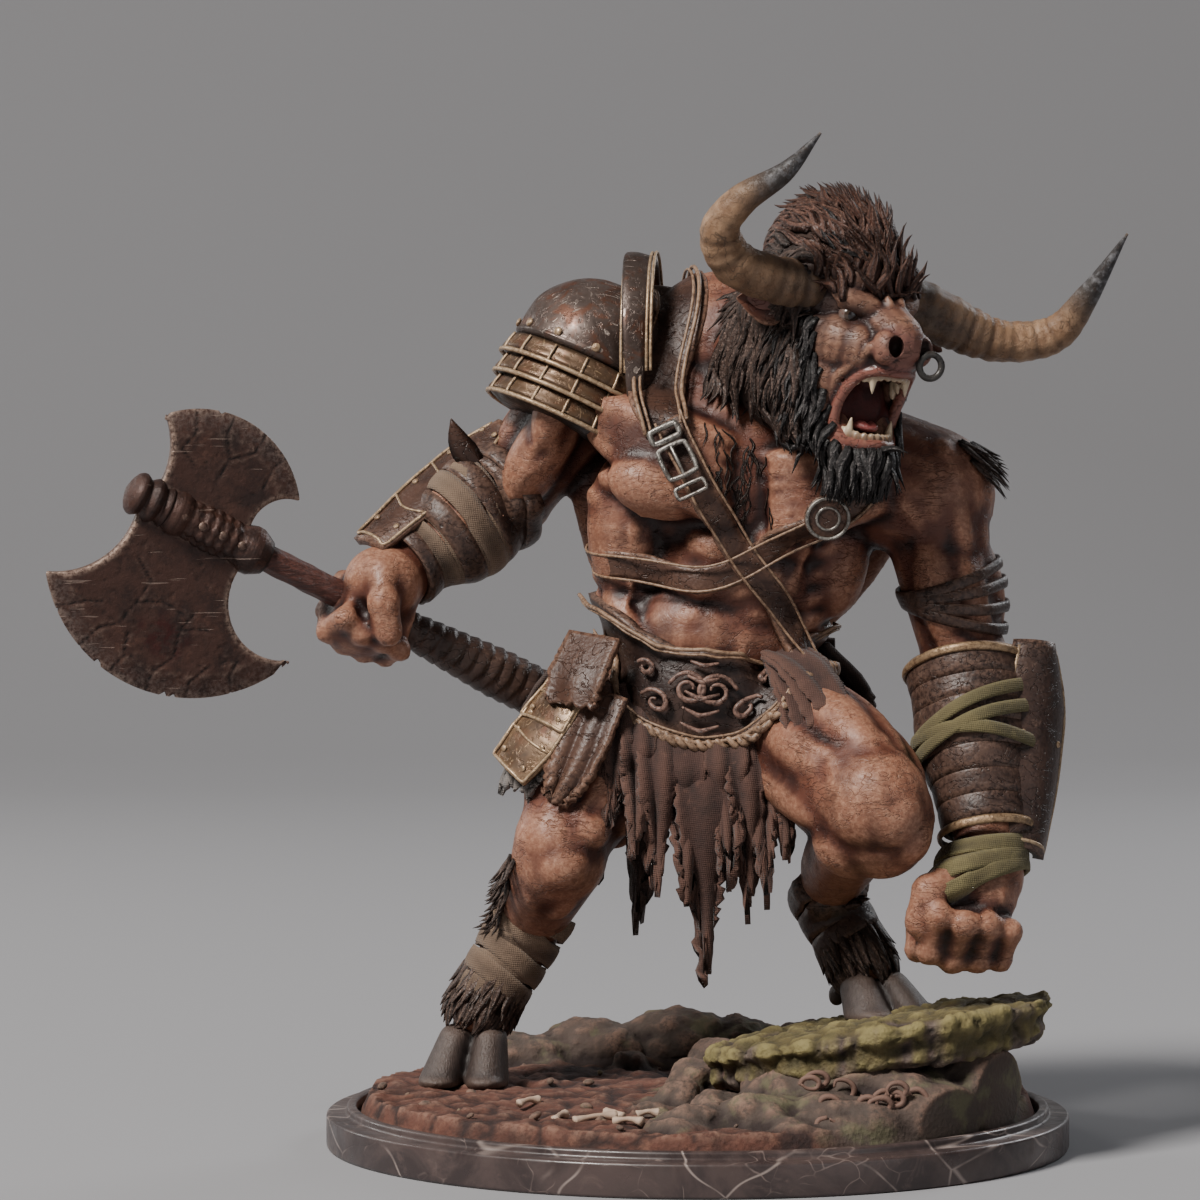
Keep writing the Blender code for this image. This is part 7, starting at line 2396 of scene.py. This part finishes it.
def make_axe():
    """Blades, the carved socket with its ringed knob, the grooved haft and the bound grip."""
    frame = haft_frame()
    length = (HAFT_END - HAFT_START).length
    axis = frame.to_3x3() @ Vector((1, 0, 0))
    square = frame.to_3x3() @ Vector((0, 0, 1))
    blades = joined("blades", [blade("lower", LOWER_BIT, 1), blade("upper", UPPER_BIT, -1)])

    def at(u):
        return frame @ Vector((u, 0, 0))

    knob_profile = [0.5, 1.5, 2.1, 2.35, 2.4, 2.2, 1.95, 2.25, 2.5, 2.5, 2.3, 1.95, 2.2, 2.35, 2.1]
    socket_profile = [
        1.9, 2.25, 2.55, 2.5, 2.2, 2.15, 2.25, 2.35, 2.4, 2.4, 2.35, 2.3, 2.25, 2.2, 2.5, 2.7, 2.65, 2.3, 1.9
    ]

    def carved(t, angle):
        inside = np.clip((t - 0.18) / 0.08, 0, 1) * np.clip((0.78 - t) / 0.08, 0, 1)
        braid = np.sin(angle * 5 + t * 34) * np.sin(angle * 5 - t * 34)
        return 1.0 + 0.055 * inside * np.tanh(braid * 3) + 0.006 * np.sin(t * 230 + angle)

    def grain(t, angle):
        return 1.0 + 0.035 * np.sin(angle * 9 + 2.5 * np.sin(t * 7)) + 0.02 * np.sin(angle * 4 + t * 31)

    def bound(t, angle):
        turn = (t * 17 - angle / math.tau) % 1.0
        return 1.0 + 0.14 * np.sqrt(np.clip(turn, 0, 1)) * (1 - np.clip((turn - 0.88) / 0.12, 0, 1)) - 0.04

    metal = [
        lathe_plate("knob", at(-2.3), axis, 5.0, knob_profile, 48, 50, 1.0, square),
        lathe_plate("socket", at(2.0), axis, 12.8, socket_profile, 72, 110, 1.0, square, carved),
    ]
    wood = lathe_plate("haft", at(13.0), axis, 15.5, [1.48] * 12, 48, 70, 1.0, square, grain)
    grip_length = length - 29.6
    grip_profile = [1.2, 1.6, 1.75, 1.9, 2.05, 2.2, 2.35, 2.5, 2.6, 2.6, 2.6, 2.5, 2.3]
    grip = lathe_plate("grip", at(27.2), axis, grip_length, grip_profile, 40, 200, 1.0, square, bound)
    pommel = lathe_plate(
        "pommel", at(length - 2.6), axis, 2.8, [1.6, 2.4, 2.7, 2.7, 2.75, 2.6, 2.2, 1.2, 0.2], 40, 24, 1.0,
        square
    )
    for k in range(4):
        spot = at(4.0 + 2.4 * k)
        for way in (-1, 1):
            metal.append(knob("rivet", spot + square * way * 2.3, square * way, 0.5))
    for part in metal + [pommel]:
        paint_points(part, "crack", np.zeros(len(part.data.vertices)))
    socket = joined("socket", metal + [pommel])
    return blades, socket, joined("haft", [wood]), joined("grip", [grip])


def iron_paint():
    """Dark brown iron: scratched metal along the ground edge and the cracks, and an old dark red stain."""
    p = Paint("dark_iron", roughness=0.42, metallic=0.35)
    fine = p.noise(0.45, 6.0, 0.75)
    p.coat((0.066, 0.030, 0.022))
    p.coat((0.024, 0.013, 0.011), p.ramp(p.noise(4.0, 5.0, 0.7), 0.40, 0.64), 0.85)
    p.coat((0.120, 0.055, 0.038), p.ramp(p.noise(2.2, 6.0, 0.75), 0.54, 0.70), 0.6)
    p.coat((0.20, 0.15, 0.13), p.math("MULTIPLY", p.value("grind"), p.ramp(fine, 0.40, 0.62)), 0.65)
    for turn in ((0, 35, 20), (0, -25, -15), (0, 80, 10)):
        scratch = p.ramp(p.noise(2.0, 2.0, 0.5, 0.2, p.stretched((0.22, 1.0, 5.0), turn)), 0.71, 0.75)
        p.coat((0.30, 0.22, 0.18), scratch, 0.5)
        p.raise_by(scratch, -0.4)
    # Painted highlight on the raised places.
    p.coat((0.38, 0.27, 0.21), p.math("MULTIPLY", p.value("ridge"), p.ramp(fine, 0.35, 0.6)), 0.75)
    p.coat(
        (0.050, 0.006, 0.005),
        p.math("MULTIPLY", p.value("stain"), p.ramp(p.noise(1.4, 5.0, 0.7), 0.40, 0.60)), 0.85
    )
    # Painted shade in the hollows, together with the dark cracks.
    p.coat((0.010, 0.007, 0.006), p.math("MAXIMUM", p.value("cavity"), p.value("crack")), 0.9)
    p.raise_by(fine, 0.7)
    p.raise_by(p.noise(1.8, 5.0), 1.0)
    p.gloss(p.ramp(p.noise(1.6, 5.0), 0.3, 0.7), 0.34, 0.62)
    return p.done(0.10)


def wood_paint():
    p = Paint("haft_wood", roughness=0.45)
    turn = (HAFT_END - HAFT_START).to_track_quat("X", "Z").to_euler()
    angles = [math.degrees(-a) for a in turn]
    grain = p.noise(0.6, 5.0, 0.7, 0.4, p.stretched((0.2, 2.4, 2.4), angles))
    p.coat((0.105, 0.036, 0.026))
    p.coat((0.035, 0.012, 0.010), p.ramp(grain, 0.40, 0.60), 0.85)
    p.coat((0.26, 0.13, 0.095), p.ramp(grain, 0.62, 0.76), 0.6)
    # Painted highlight on the raised places, and painted shade in the hollows.
    p.coat((0.30, 0.17, 0.125), p.value("ridge"), 0.5)
    p.coat((0.012, 0.006, 0.005), p.value("cavity"), 0.9)
    p.raise_by(grain, 1.4)
    return p.done(0.12)


# Groundwork and plinth

ROCKS = (
    ((-20.0, 23.0, 0.6), (6.0, 4.4, 3.0)), ((-11.0, 25.0, 1.0), (7.0, 4.6, 3.6)),
    ((-2.0, 26.0, 1.4), (7.0, 4.6, 4.4)), ((6.0, 25.0, 1.0), (5.0, 4.6, 3.6)),
    ((13.0, 22.0, 1.0), (6.0, 4.6, 3.4)), ((21.0, 17.0, 1.0), (6.0, 4.6, 4.0)),
    ((-2.6, -12.6, -0.4), (3.0, 3.0, 2.6)), ((-1.0, -26.6, -0.6), (3.6, 3.2, 2.8)),
    ((1.4, -20.0, -0.2), (3.4, 3.6, 3.0)), ((0.0, -3.0, 0.6), (3.6, 3.6, 3.0)),
    ((3.0, 3.0, 1.6), (4.4, 4.0, 3.4)), ((6.4, -26.4, -0.4), (5.0, 4.4, 3.4)),
    ((14.0, -27.0, -0.6), (7.0, 5.0, 4.0)), ((22.0, -23.0, 0.0), (7.0, 6.0, 4.6)),
    ((26.0, -12.0, 2.0), (8.0, 9.0, 5.4)), ((-4.4, -20.6, -0.4), (1.8, 1.6, 1.5)),
    ((-5.4, -16.0, -0.5), (1.5, 1.5, 1.3)), ((-3.4, -30.4, -0.6), (1.8, 1.6, 1.4)),
    ((18.0, -20.0, 1.4), (9.0, 6.0, 4.2)), ((10.0, -18.0, 1.0), (6.0, 6.0, 3.6)),
    ((28.0, -16.0, 2.0), (6.0, 7.0, 5.6)), ((-7.0, 18.0, 0.0), (2.2, 2.0, 1.5)),
    ((-26.0, 14.0, -0.2), (2.6, 2.2, 1.6)), ((9.0, -30.6, -0.7), (2.4, 2.0, 1.8)),
)
SLAB = (
    (0.5, -9.0), (4.0, -18.0), (11.0, -24.0), (22.0, -26.0), (31.0, -21.5), (37.4, -13.5), (36.0, -4.0),
    (30.0, 4.0), (21.0, 8.5), (11.0, 7.0), (3.0, 0.0),
)
SLAB_TOP = (4.4, 0.16, -0.07)
SLAB_THICKNESS = 4.2
GROUND_RADIUS = LIP_RADIUS - LIP_WIDTH - 0.3
GROUND_FLOOR = -2.7


def fissures(places, size, seed):
    """1 on the cracks between irregular cells, and 0 inside them."""
    shift = Vector((seed, -seed, seed * 0.7))
    found = []
    for p in places.tolist():
        near = noise.voronoi(Vector(p) / size + shift)[0]
        found.append(near[1] - near[0])
    return np.exp(-((np.array(found) / 0.10) ** 2))


def make_earth():
    """Cracked red earth with stones and a ridge of rock behind."""
    clay = model("earth")
    disc = form("rod", 72).copy()
    for vertex in disc.vertices:
        size = GROUND_RADIUS if vertex.co.z < 0 else GROUND_RADIUS - 0.9
        vertex.co = (vertex.co.x * size, vertex.co.y * size, GROUND_FLOOR if vertex.co.z < 0 else 0.0)
    lump(disc, Matrix.Identity(4))
    for centre, radii in ROCKS:
        ball(centre, radii, segments=32)
    closed()
    applied(clay, "REMESH", mode="VOXEL", voxel_size=0.43)
    local = points_of(clay).astype(np.float64)
    away = np.hypot(local[:, 0], local[:, 1])
    top = local[:, 2] > GROUND_FLOOR + 0.9
    stony = np.zeros(len(local))
    for centre, radii in ROCKS:
        stony = np.maximum(
            stony,
            np.clip(1.35 - np.linalg.norm((local - centre) / (np.array(radii) + 0.6), axis=1), 0, 1) * 3
        )
    stony = np.clip(stony, 0, 1)
    crack = fissures(
        local * (1, 1, 0.6) + 1.6 * np.stack([rough(local, 5.0, s) for s in (1.0, 2.0, 3.0)], axis=1), 7.0,
        4.0
    )
    small = fissures(local + 0.8 * rough(local, 3.0, 5.0)[:, None], 3.0, 9.0)
    swell = 0.75 * rough(local * (1, 1, 0), 7.0, 2.0) + 0.14 * rough(local, 1.8, 6.0)
    facets = 1.0 * rough(local, 4.6, 8.0, 2) + 0.16 * rough(local, 1.6, 12.0)
    normals = normals_of(clay).astype(np.float64)
    fade = np.clip((GROUND_RADIUS - away) / 2.4, 0.0, 1.0)
    move = np.where(stony > 0.5, facets, swell) * fade
    move -= (0.34 * crack * (1 - 0.4 * stony) + 0.10 * small) * fade
    local += normals * (move * top)[:, None]
    keep = np.hypot(local[:, 0], local[:, 1]) > GROUND_RADIUS
    local[keep, :2] *= (GROUND_RADIUS / np.hypot(local[keep, 0], local[keep, 1]))[:, None]
    move_points(clay, local)
    weather(clay, 2, 10)
    paint_points(clay, "stony", stony)
    paint_points(clay, "crack", crack * (1 - stony) * top)
    return clay


def make_slab():
    """The tilted flat stone under the raised hoof, with moss on top that hangs over its front edge."""
    base, east, north = SLAB_TOP
    clay = model("slab")
    middle = sum((Vector(p) for p in SLAB), Vector((0.0, 0.0))) / len(SLAB)
    outline = [p.xy for p in smooth_path([(*p, 0.0) for p in (*SLAB, SLAB[0])], 64)[:-1]]
    plate = form("rod", 64).copy()
    for vertex in plate.vertices:
        angle = math.atan2(vertex.co.y, vertex.co.x)
        high = vertex.co.z > 0
        corner = min(
            outline,
            key=lambda q: abs(
                (math.atan2(q.y - middle.y, q.x - middle.x) - angle + math.pi) % math.tau - math.pi
            )
        )
        place = middle.lerp(corner, 0.985 if high else 0.90)
        drop = 0.0 if high else -SLAB_THICKNESS - 0.8
        vertex.co = (place.x, place.y, base + east * place.x + north * place.y + drop)
    lump(plate, Matrix.Identity(4))
    closed()
    applied(clay, "REMESH", mode="VOXEL", voxel_size=0.36)
    applied(clay, "SMOOTH", factor=0.5, iterations=14)
    local = points_of(clay).astype(np.float64)
    normals = normals_of(clay).astype(np.float64)
    plane = base + east * local[:, 0] + north * local[:, 1]
    depth = plane - local[:, 2]
    layers = 0.30 * np.sin(depth * 2.2 + 1.3 * rough(local, 4.0, 3.0)) * (depth > 0.7) * (normals[:, 2] < 0.6)
    crack = fissures(local * (1, 1, 1.6) + 0.5 * rough(local, 2.0, 4.0)[:, None], 4.0, 7.0)
    swell = 0.6 * rough(local, 6.0, 5.0, 2) + 0.08 * rough(local, 1.1, 6.0)
    local += normals * (layers + swell - 0.3 * crack)[:, None]
    patch = rough(local * (1, 1, 0), 6.0, 1.0)
    hang = 4.4 + 2.4 * rough(local * (1, 1, 0), 5.0, 9.0)
    moss = np.clip((hang - depth) / 1.6, 0, 1) * np.clip((patch + 0.62) * 3.0, 0, 1)
    moss *= np.clip((normals[:, 2] + 0.9) * 2, 0, 1)
    clumps = 0.25 + 0.75 * np.abs(rough(local * (1, 1, 0.4), 4.0, 2.0, 2)) + 0.08 * rough(local, 1.0, 3.0)
    local += normals * (moss * clumps)[:, None]
    move_points(clay, local)
    weather(clay, 2, 10)
    paint_points(clay, "moss", moss)
    paint_points(clay, "crack", crack * (1 - moss))
    return clay


def make_debris():
    """Small bones, chips and roots that lie on the earth, and pebbles round the slab."""
    dice = random.Random(8)
    bones, pebbles = [], []
    for centre, turn, length in (
        ((-11.0, -27.0, 0.35), 20, 4.6), ((-7.6, -28.8, 0.3), -35, 3.4), ((-14.6, -25.6, 0.3), 70, 3.0),
        ((-9.0, -24.4, 0.4), 130, 2.6), ((-18.0, -14.0, 0.3), 40, 2.6), ((-5.6, -23.6, 0.35), 10, 2.2),
    ):
        axis = Vector((math.cos(math.radians(turn)), math.sin(math.radians(turn)), 0.06))
        start, end = Vector(centre) - axis * length / 2, Vector(centre) + axis * length / 2
        bones.append(
            cord(
                "bone", (start, start.lerp(end, 0.5) + Vector((0, 0, 0.25)), end), [0.5, 0.26, 0.3, 0.55], 14,
                8
            )
        )
    for k in range(70):
        angle, away = dice.uniform(0, math.tau), 34.5 * math.sqrt(dice.random())
        place = Vector((away * math.cos(angle), away * math.sin(angle), dice.uniform(-0.1, 0.3)))
        size = dice.uniform(0.22, 0.62)
        stone = model("pebble")
        ball(
            place, (size * dice.uniform(0.8, 1.5), size, size * 0.7),
            (dice.uniform(-1, 1), dice.uniform(-1, 1), 1), segments=8
        )
        closed()
        pebbles.append(stone)
    roots = []
    for k in range(26):
        start = Vector((dice.uniform(10, 30), dice.uniform(-31.5, -24.5), dice.uniform(0.4, 3.6)))
        if start.xy.length > 35:
            continue
        stops = [start]
        heading = dice.uniform(0, math.tau)
        for _ in range(6):
            heading += dice.uniform(0.5, 1.3) * (1 if k % 2 else -1)
            step = Vector((math.cos(heading) * 0.9, -0.10, math.sin(heading) * 0.7))
            stops.append(stops[-1] + step)
        roots.append(cord("root", stops, [0.28, 0.34, 0.26, 0.12], 26, 6))
    return joined("bones", bones), joined("pebbles", pebbles), joined("roots", roots)


def earth_paint():
    p = Paint("red_earth", roughness=0.85)
    fine = p.noise(0.7, 6.0, 0.7)
    p.coat((0.115, 0.042, 0.027))
    p.coat((0.045, 0.018, 0.013), p.ramp(p.noise(6.0, 5.0, 0.7), 0.42, 0.62), 0.85)
    p.coat((0.22, 0.100, 0.064), p.ramp(p.noise(2.4, 6.0, 0.75), 0.52, 0.70), 0.6)
    p.coat((0.070, 0.055, 0.045), p.value("stony"), 0.85)
    p.coat(
        (0.14, 0.135, 0.07), p.math("MULTIPLY", p.value("stony"), p.ramp(p.noise(5.0, 4.0), 0.50, 0.64)), 0.6
    )
    # Painted highlight on the raised places.
    p.coat((0.30, 0.175, 0.125), p.math("MULTIPLY", p.value("ridge"), p.ramp(fine, 0.35, 0.6)), 0.55)
    # Painted shade in the hollows, together with the dark cracks of the earth.
    p.coat((0.018, 0.009, 0.008), p.math("MAXIMUM", p.value("cavity"), p.value("crack")), 0.9)
    p.raise_by(fine, 1.0)
    p.raise_by(p.cells(0.5), 0.4)
    return p.done(0.16)


def slab_paint():
    p = Paint("mossy_stone", roughness=0.8)
    fine = p.noise(0.6, 6.0, 0.75)
    p.coat((0.105, 0.076, 0.062))
    p.coat((0.040, 0.027, 0.023), p.ramp(p.noise(4.0, 5.0, 0.7), 0.40, 0.62), 0.85)
    p.coat((0.125, 0.058, 0.042), p.ramp(p.noise(5.0, 4.0), 0.52, 0.66), 0.6)
    # Painted highlight on the raised stone.
    p.coat((0.30, 0.23, 0.18), p.math("MULTIPLY", p.value("ridge"), p.ramp(fine, 0.35, 0.6)), 0.7)
    # Painted shade in the hollows, together with the dark cracks.
    p.coat((0.012, 0.008, 0.007), p.math("MAXIMUM", p.value("cavity"), p.value("crack")), 0.9)
    p.coat((0.120, 0.092, 0.034), p.value("moss"), 0.95)
    p.coat(
        (0.062, 0.050, 0.020), p.math("MULTIPLY", p.value("moss"), p.ramp(p.noise(2.6, 5.0), 0.42, 0.60)), 0.8
    )
    # Painted highlight on the raised moss.
    p.coat((0.30, 0.25, 0.10), p.math("MULTIPLY", p.value("moss"), p.value("ridge")), 0.7)
    p.coat((0.20, 0.175, 0.060), p.math("MULTIPLY", p.value("moss"), p.ramp(fine, 0.56, 0.70)), 0.3)
    # Painted shade in the hollows of the moss.
    p.coat((0.020, 0.020, 0.008), p.math("MULTIPLY", p.value("moss"), p.value("cavity")), 0.7)
    p.raise_by(fine, 1.0)
    p.raise_by(p.cells(0.4), 0.5)
    return p.done(0.18)


def make_plinth():
    """A turned disc: rounded shoulder, thin raised lip and a shallow recess for the groundwork."""
    bpy.ops.object.select_all(action="DESELECT")
    bpy.ops.mesh.primitive_cylinder_add(
        vertices=160, radius=PLINTH_RADIUS, depth=PLINTH_HEIGHT, location=(0, 0, 0)
    )
    obj = bpy.context.object
    obj.data.transform(Matrix.Translation((0, 0, PLINTH_HEIGHT / 2 - SOLE_LEVEL)))
    only(obj)
    bpy.ops.object.mode_set(mode="EDIT")
    mesh = bmesh.from_edit_mesh(obj.data)
    bpy.ops.mesh.select_mode(type="FACE")
    bpy.ops.mesh.select_all(action="DESELECT")
    for face in mesh.faces:
        face.select_set(face.normal.z > 0.9)
    bmesh.update_edit_mesh(obj.data)
    bpy.ops.mesh.inset(thickness=PLINTH_RADIUS - LIP_RADIUS)
    bpy.ops.mesh.extrude_region_move(TRANSFORM_OT_translate={"value": (0, 0, LIP_HEIGHT)})
    bpy.ops.mesh.inset(thickness=LIP_WIDTH)
    bpy.ops.mesh.extrude_region_move(TRANSFORM_OT_translate={"value": (0, 0, -LIP_HEIGHT - RECESS_DEPTH)})
    bpy.ops.mesh.select_mode(type="VERT")
    bpy.ops.object.mode_set(mode="OBJECT")
    applied(obj, "BEVEL", width=0.36, segments=4, limit_method="ANGLE", angle_limit=math.radians(40))
    obj.name = "plinth_body"
    paint_points(obj, "edge", np.clip((points_of(obj)[:, 2] + SOLE_LEVEL - PLINTH_HEIGHT) / LIP_HEIGHT, 0, 1))
    return obj


def plinth_paint():
    """Polished dark brown stone look with pale veins, and a painted highlight on raised places such as its
    lip.
    """
    p = Paint("veined_stone", roughness=0.34, coat=0.08)
    p.coat((0.075, 0.052, 0.048))
    p.coat((0.034, 0.024, 0.024), p.ramp(p.noise(9.0, 5.0, 0.65, 0.8), 0.40, 0.62), 0.85)
    p.coat((0.13, 0.088, 0.078), p.ramp(p.noise(4.0, 6.0, 0.7, 1.0), 0.55, 0.70), 0.6)
    veins = p.ramp(p.cells(13.0, "DISTANCE_TO_EDGE", p.stretched((1, 1, 1.8)), 1.2), 0.0, 0.022, flip=True)
    threads = p.ramp(
        p.cells(5.0, "DISTANCE_TO_EDGE", p.stretched((1.3, 1, 1.4), (0, 0, 30)), 1.5), 0.0, 0.026, flip=True
    )
    here = p.ramp(p.noise(11.0, 3.0), 0.42, 0.60)
    # Painted highlight on the raised places.
    p.coat((0.30, 0.215, 0.18), p.value("ridge"), 0.6)
    p.coat((0.36, 0.29, 0.26), p.math("MULTIPLY", veins, here), 0.8)
    p.coat((0.24, 0.18, 0.16), p.math("MULTIPLY", threads, p.ramp(p.noise(7.0, 3.0), 0.48, 0.62)), 0.6)
    p.raise_by(p.noise(1.2, 4.0), 0.5)
    p.raise_by(veins, -0.3)
    p.gloss(p.ramp(p.noise(3.0, 5.0), 0.3, 0.7), 0.26, 0.48)
    return p.done(0.05)


# Paints, by what they cover


# Each: material name, root colour (painted shade), body colour, light colour (painted highlight).
HAIR_PAINTS = {
    "crest": ("crest_strands", (0.02, 0.008, 0.006), (0.088, 0.038, 0.026), (0.27, 0.145, 0.098)),
    "mane": ("mane_strands", (0.010, 0.007, 0.006), (0.055, 0.034, 0.027), (0.22, 0.145, 0.115)),
    "beard": ("beard_strands", (0.008, 0.007, 0.007), (0.030, 0.026, 0.026), (0.20, 0.175, 0.17)),
    "fur": ("fur_strands", (0.012, 0.008, 0.007), (0.070, 0.042, 0.032), (0.25, 0.165, 0.125)),
}
METAL_PAINTS = {
    "steel": ("old_steel", (0.135, 0.100, 0.086), (0.055, 0.034, 0.027), (0.46, 0.38, 0.33), 0.7, 0.6),
    "bronze": ("old_bronze", (0.135, 0.082, 0.048), (0.045, 0.026, 0.018), (0.46, 0.31, 0.18), 0.4, 0.5),
    "gold": ("cream_gold", (0.20, 0.125, 0.068), (0.08, 0.042, 0.024), (0.50, 0.36, 0.23), 0.3, 0.4),
    "silver": ("worn_silver", (0.085, 0.074, 0.064), (0.03, 0.025, 0.022), (0.36, 0.34, 0.31), 0.4, 0.8),
    "iron": ("black_iron", (0.014, 0.013, 0.013), (0.007, 0.006, 0.006), (0.06, 0.055, 0.05), 0.1, 0.2),
}
CLOTH_PAINTS = {
    "red_cloth": ("kilt_cloth", (0.052, 0.022, 0.016), (0.019, 0.009, 0.007), (0.145, 0.068, 0.047)),
    "black_cloth": ("back_cloth", (0.032, 0.020, 0.017), (0.011, 0.008, 0.007), (0.10, 0.066, 0.055)),
    "grey_cloth": ("grey_cloth", (0.095, 0.085, 0.08), (0.038, 0.032, 0.03), (0.25, 0.22, 0.20)),
    "bandage": ("bandage_cloth", (0.098, 0.062, 0.040), (0.036, 0.022, 0.015), (0.25, 0.170, 0.115)),
    "green": ("olive_cloth", (0.072, 0.056, 0.022), (0.024, 0.020, 0.009), (0.21, 0.175, 0.075)),
}
STRAP_LEATHER = ((0.070, 0.034, 0.023), (0.026, 0.012, 0.009), (0.22, 0.122, 0.082))
DARK_LEATHER = ((0.042, 0.023, 0.018), (0.015, 0.008, 0.007), (0.165, 0.098, 0.072))
EMBOSSED_LEATHER = ((0.075, 0.040, 0.032), (0.03, 0.016, 0.013), (0.27, 0.16, 0.125))
PALE_PIPING = ((0.155, 0.088, 0.052), (0.06, 0.032, 0.022), (0.36, 0.235, 0.155))
MANE_UNDER = ((0.026, 0.014, 0.011), (0.010, 0.006, 0.005), (0.05, 0.028, 0.02))


def figure_paints():
    paints = {
        "skin": skin_paint(),
        "face": face_paint(),
        "eyes": eye_paint(),
        "throat": gum_paint(),
        "tongue": tongue_paint(),
        "teeth": tooth_paint(),
        "horns": horn_paint(),
        "mass": plain_paint("mane_under", *MANE_UNDER, roughness=0.95),
        "hooves": hoof_paint(),
        "leather": leather_paint("strap_leather", *STRAP_LEATHER),
        "dark_leather": leather_paint("dark_leather", *DARK_LEATHER),
        "embossed": leather_paint("embossed_leather", *EMBOSSED_LEATHER, grain=0.3),
        "cream": leather_paint("pale_piping", *PALE_PIPING, grain=0.3, cracks=0.3),
    }
    for mix, table in ((hair_paint, HAIR_PAINTS), (metal_paint, METAL_PAINTS), (cloth_paint, CLOTH_PAINTS)):
        for use, recipe in table.items():
            paints[use] = mix(*recipe)
    return paints


def make_figure():
    """Sculpts the figure's pieces, lays the hair and the gear on them, and paints them."""
    dice = random.Random(HAIR_SEED)
    paints = figure_paints()
    skin, face, mass = make_skin(), make_face(), mane_mass()
    weather(skin, strength=1.35)
    weather(mass)
    throat, tongue = make_mouth()
    whole = joined("whole", [copied(skin, "one"), copied(face, "two"), copied(mass, "three")])
    head_and_body, body = surface(whole), surface(skin)
    bpy.data.objects.remove(whole)
    crest, mane, beard = make_hair(head_and_body, dice)
    tuft = lock_template("tuft", 8, 6)
    fur = comb_all("fur", tuft, head_and_body, fur_hairs(dice), dice)
    bpy.data.objects.remove(tuft)
    dome, lames, shoulder_trims = shoulder_plates()
    straps, strap_piping = make_straps(body)
    fittings, boss = make_fittings(body)
    belt, belt_trims, belt_scrolls, rope = make_belt(body)
    tassets, tasset_trims, tasset_cloth, hip_leather = make_tassets()
    kilt, back_cloth = make_kilt()
    bandages, leather_wraps, olive_straps, bracer_bands = make_wrappings(body)
    ridge_plates, bracer, arm_trims = make_arm_plates()
    gear = (
        (dome, "steel"), (lames, "bronze"), (shoulder_trims, "gold"), (straps, "leather"),
        (strap_piping, "cream"), (fittings, "silver"), (boss, "leather"), (belt, "dark_leather"),
        (belt_trims, "cream"), (belt_scrolls, "embossed"), (rope, "cream"), (tassets, "bronze"),
        (tasset_trims, "gold"), (tasset_cloth, "grey_cloth"), (hip_leather, "leather"), (kilt, "red_cloth"),
        (back_cloth, "black_cloth"), (bandages, "bandage"), (leather_wraps, "dark_leather"),
        (olive_straps, "green"), (bracer_bands, "bronze"), (ridge_plates, "leather"),
        (bracer, "dark_leather"), (arm_trims, "gold"), (make_nose_ring(), "iron"),
    )
    for obj, paint in gear:
        weather(obj, 1, 6)
        put(obj, paints[paint])
    flesh = (
        (skin, "skin"), (face, "face"), (make_ears(), "face"), (make_eyes(), "eyes"), (throat, "throat"),
        (tongue, "tongue"), (make_teeth(), "teeth"), (make_horns(), "horns"), (mass, "mass"),
        (crest, "crest"), (mane, "mane"), (beard, "beard"), (fur, "fur"), (make_hooves(), "hooves"),
    )
    for obj, paint in flesh:
        put(obj, paints[paint])


def make_axe_pieces():
    blades, socket, haft, grip = make_axe()
    for obj in (blades, socket, haft, grip):
        weather(obj, 1, 7)
    for name in ("grind", "stain"):
        paint_points(socket, name, np.zeros(len(socket.data.vertices)))
    iron = iron_paint()
    put(blades, iron, "axe")
    put(socket, iron, "axe")
    put(haft, wood_paint(), "axe")
    grip_leather = leather_paint(
        "grip_leather", (0.075, 0.042, 0.032), (0.03, 0.017, 0.013), (0.24, 0.15, 0.11), edge=False
    )
    put(grip, grip_leather, "axe")


def make_base():
    earth = earth_paint()
    put(make_earth(), earth, "groundwork")
    put(make_slab(), slab_paint(), "groundwork")
    bones, pebbles, roots = make_debris()
    for obj in (bones, pebbles, roots):
        weather(obj, 1, 4)
        paint_points(obj, "stony", np.ones(len(obj.data.vertices)))
        paint_points(obj, "crack", np.zeros(len(obj.data.vertices)))
    bone_paint = plain_paint("old_bone", (0.40, 0.27, 0.19), (0.18, 0.10, 0.07), (0.62, 0.47, 0.36), 0.6, 0.6)
    put(bones, bone_paint, "groundwork")
    put(pebbles, earth, "groundwork")
    root_paint = plain_paint(
        "dry_root", (0.09, 0.045, 0.034), (0.035, 0.018, 0.015), (0.24, 0.14, 0.105), 0.75, 0.6
    )
    put(roots, root_paint, "groundwork")
    put(make_plinth(), plinth_paint(), "plinth", angle=35)


def main():
    studio()
    backdrop()
    make_figure()
    make_axe_pieces()
    make_base()
    for mesh in FORMS.values():
        bpy.data.meshes.remove(mesh)


main()
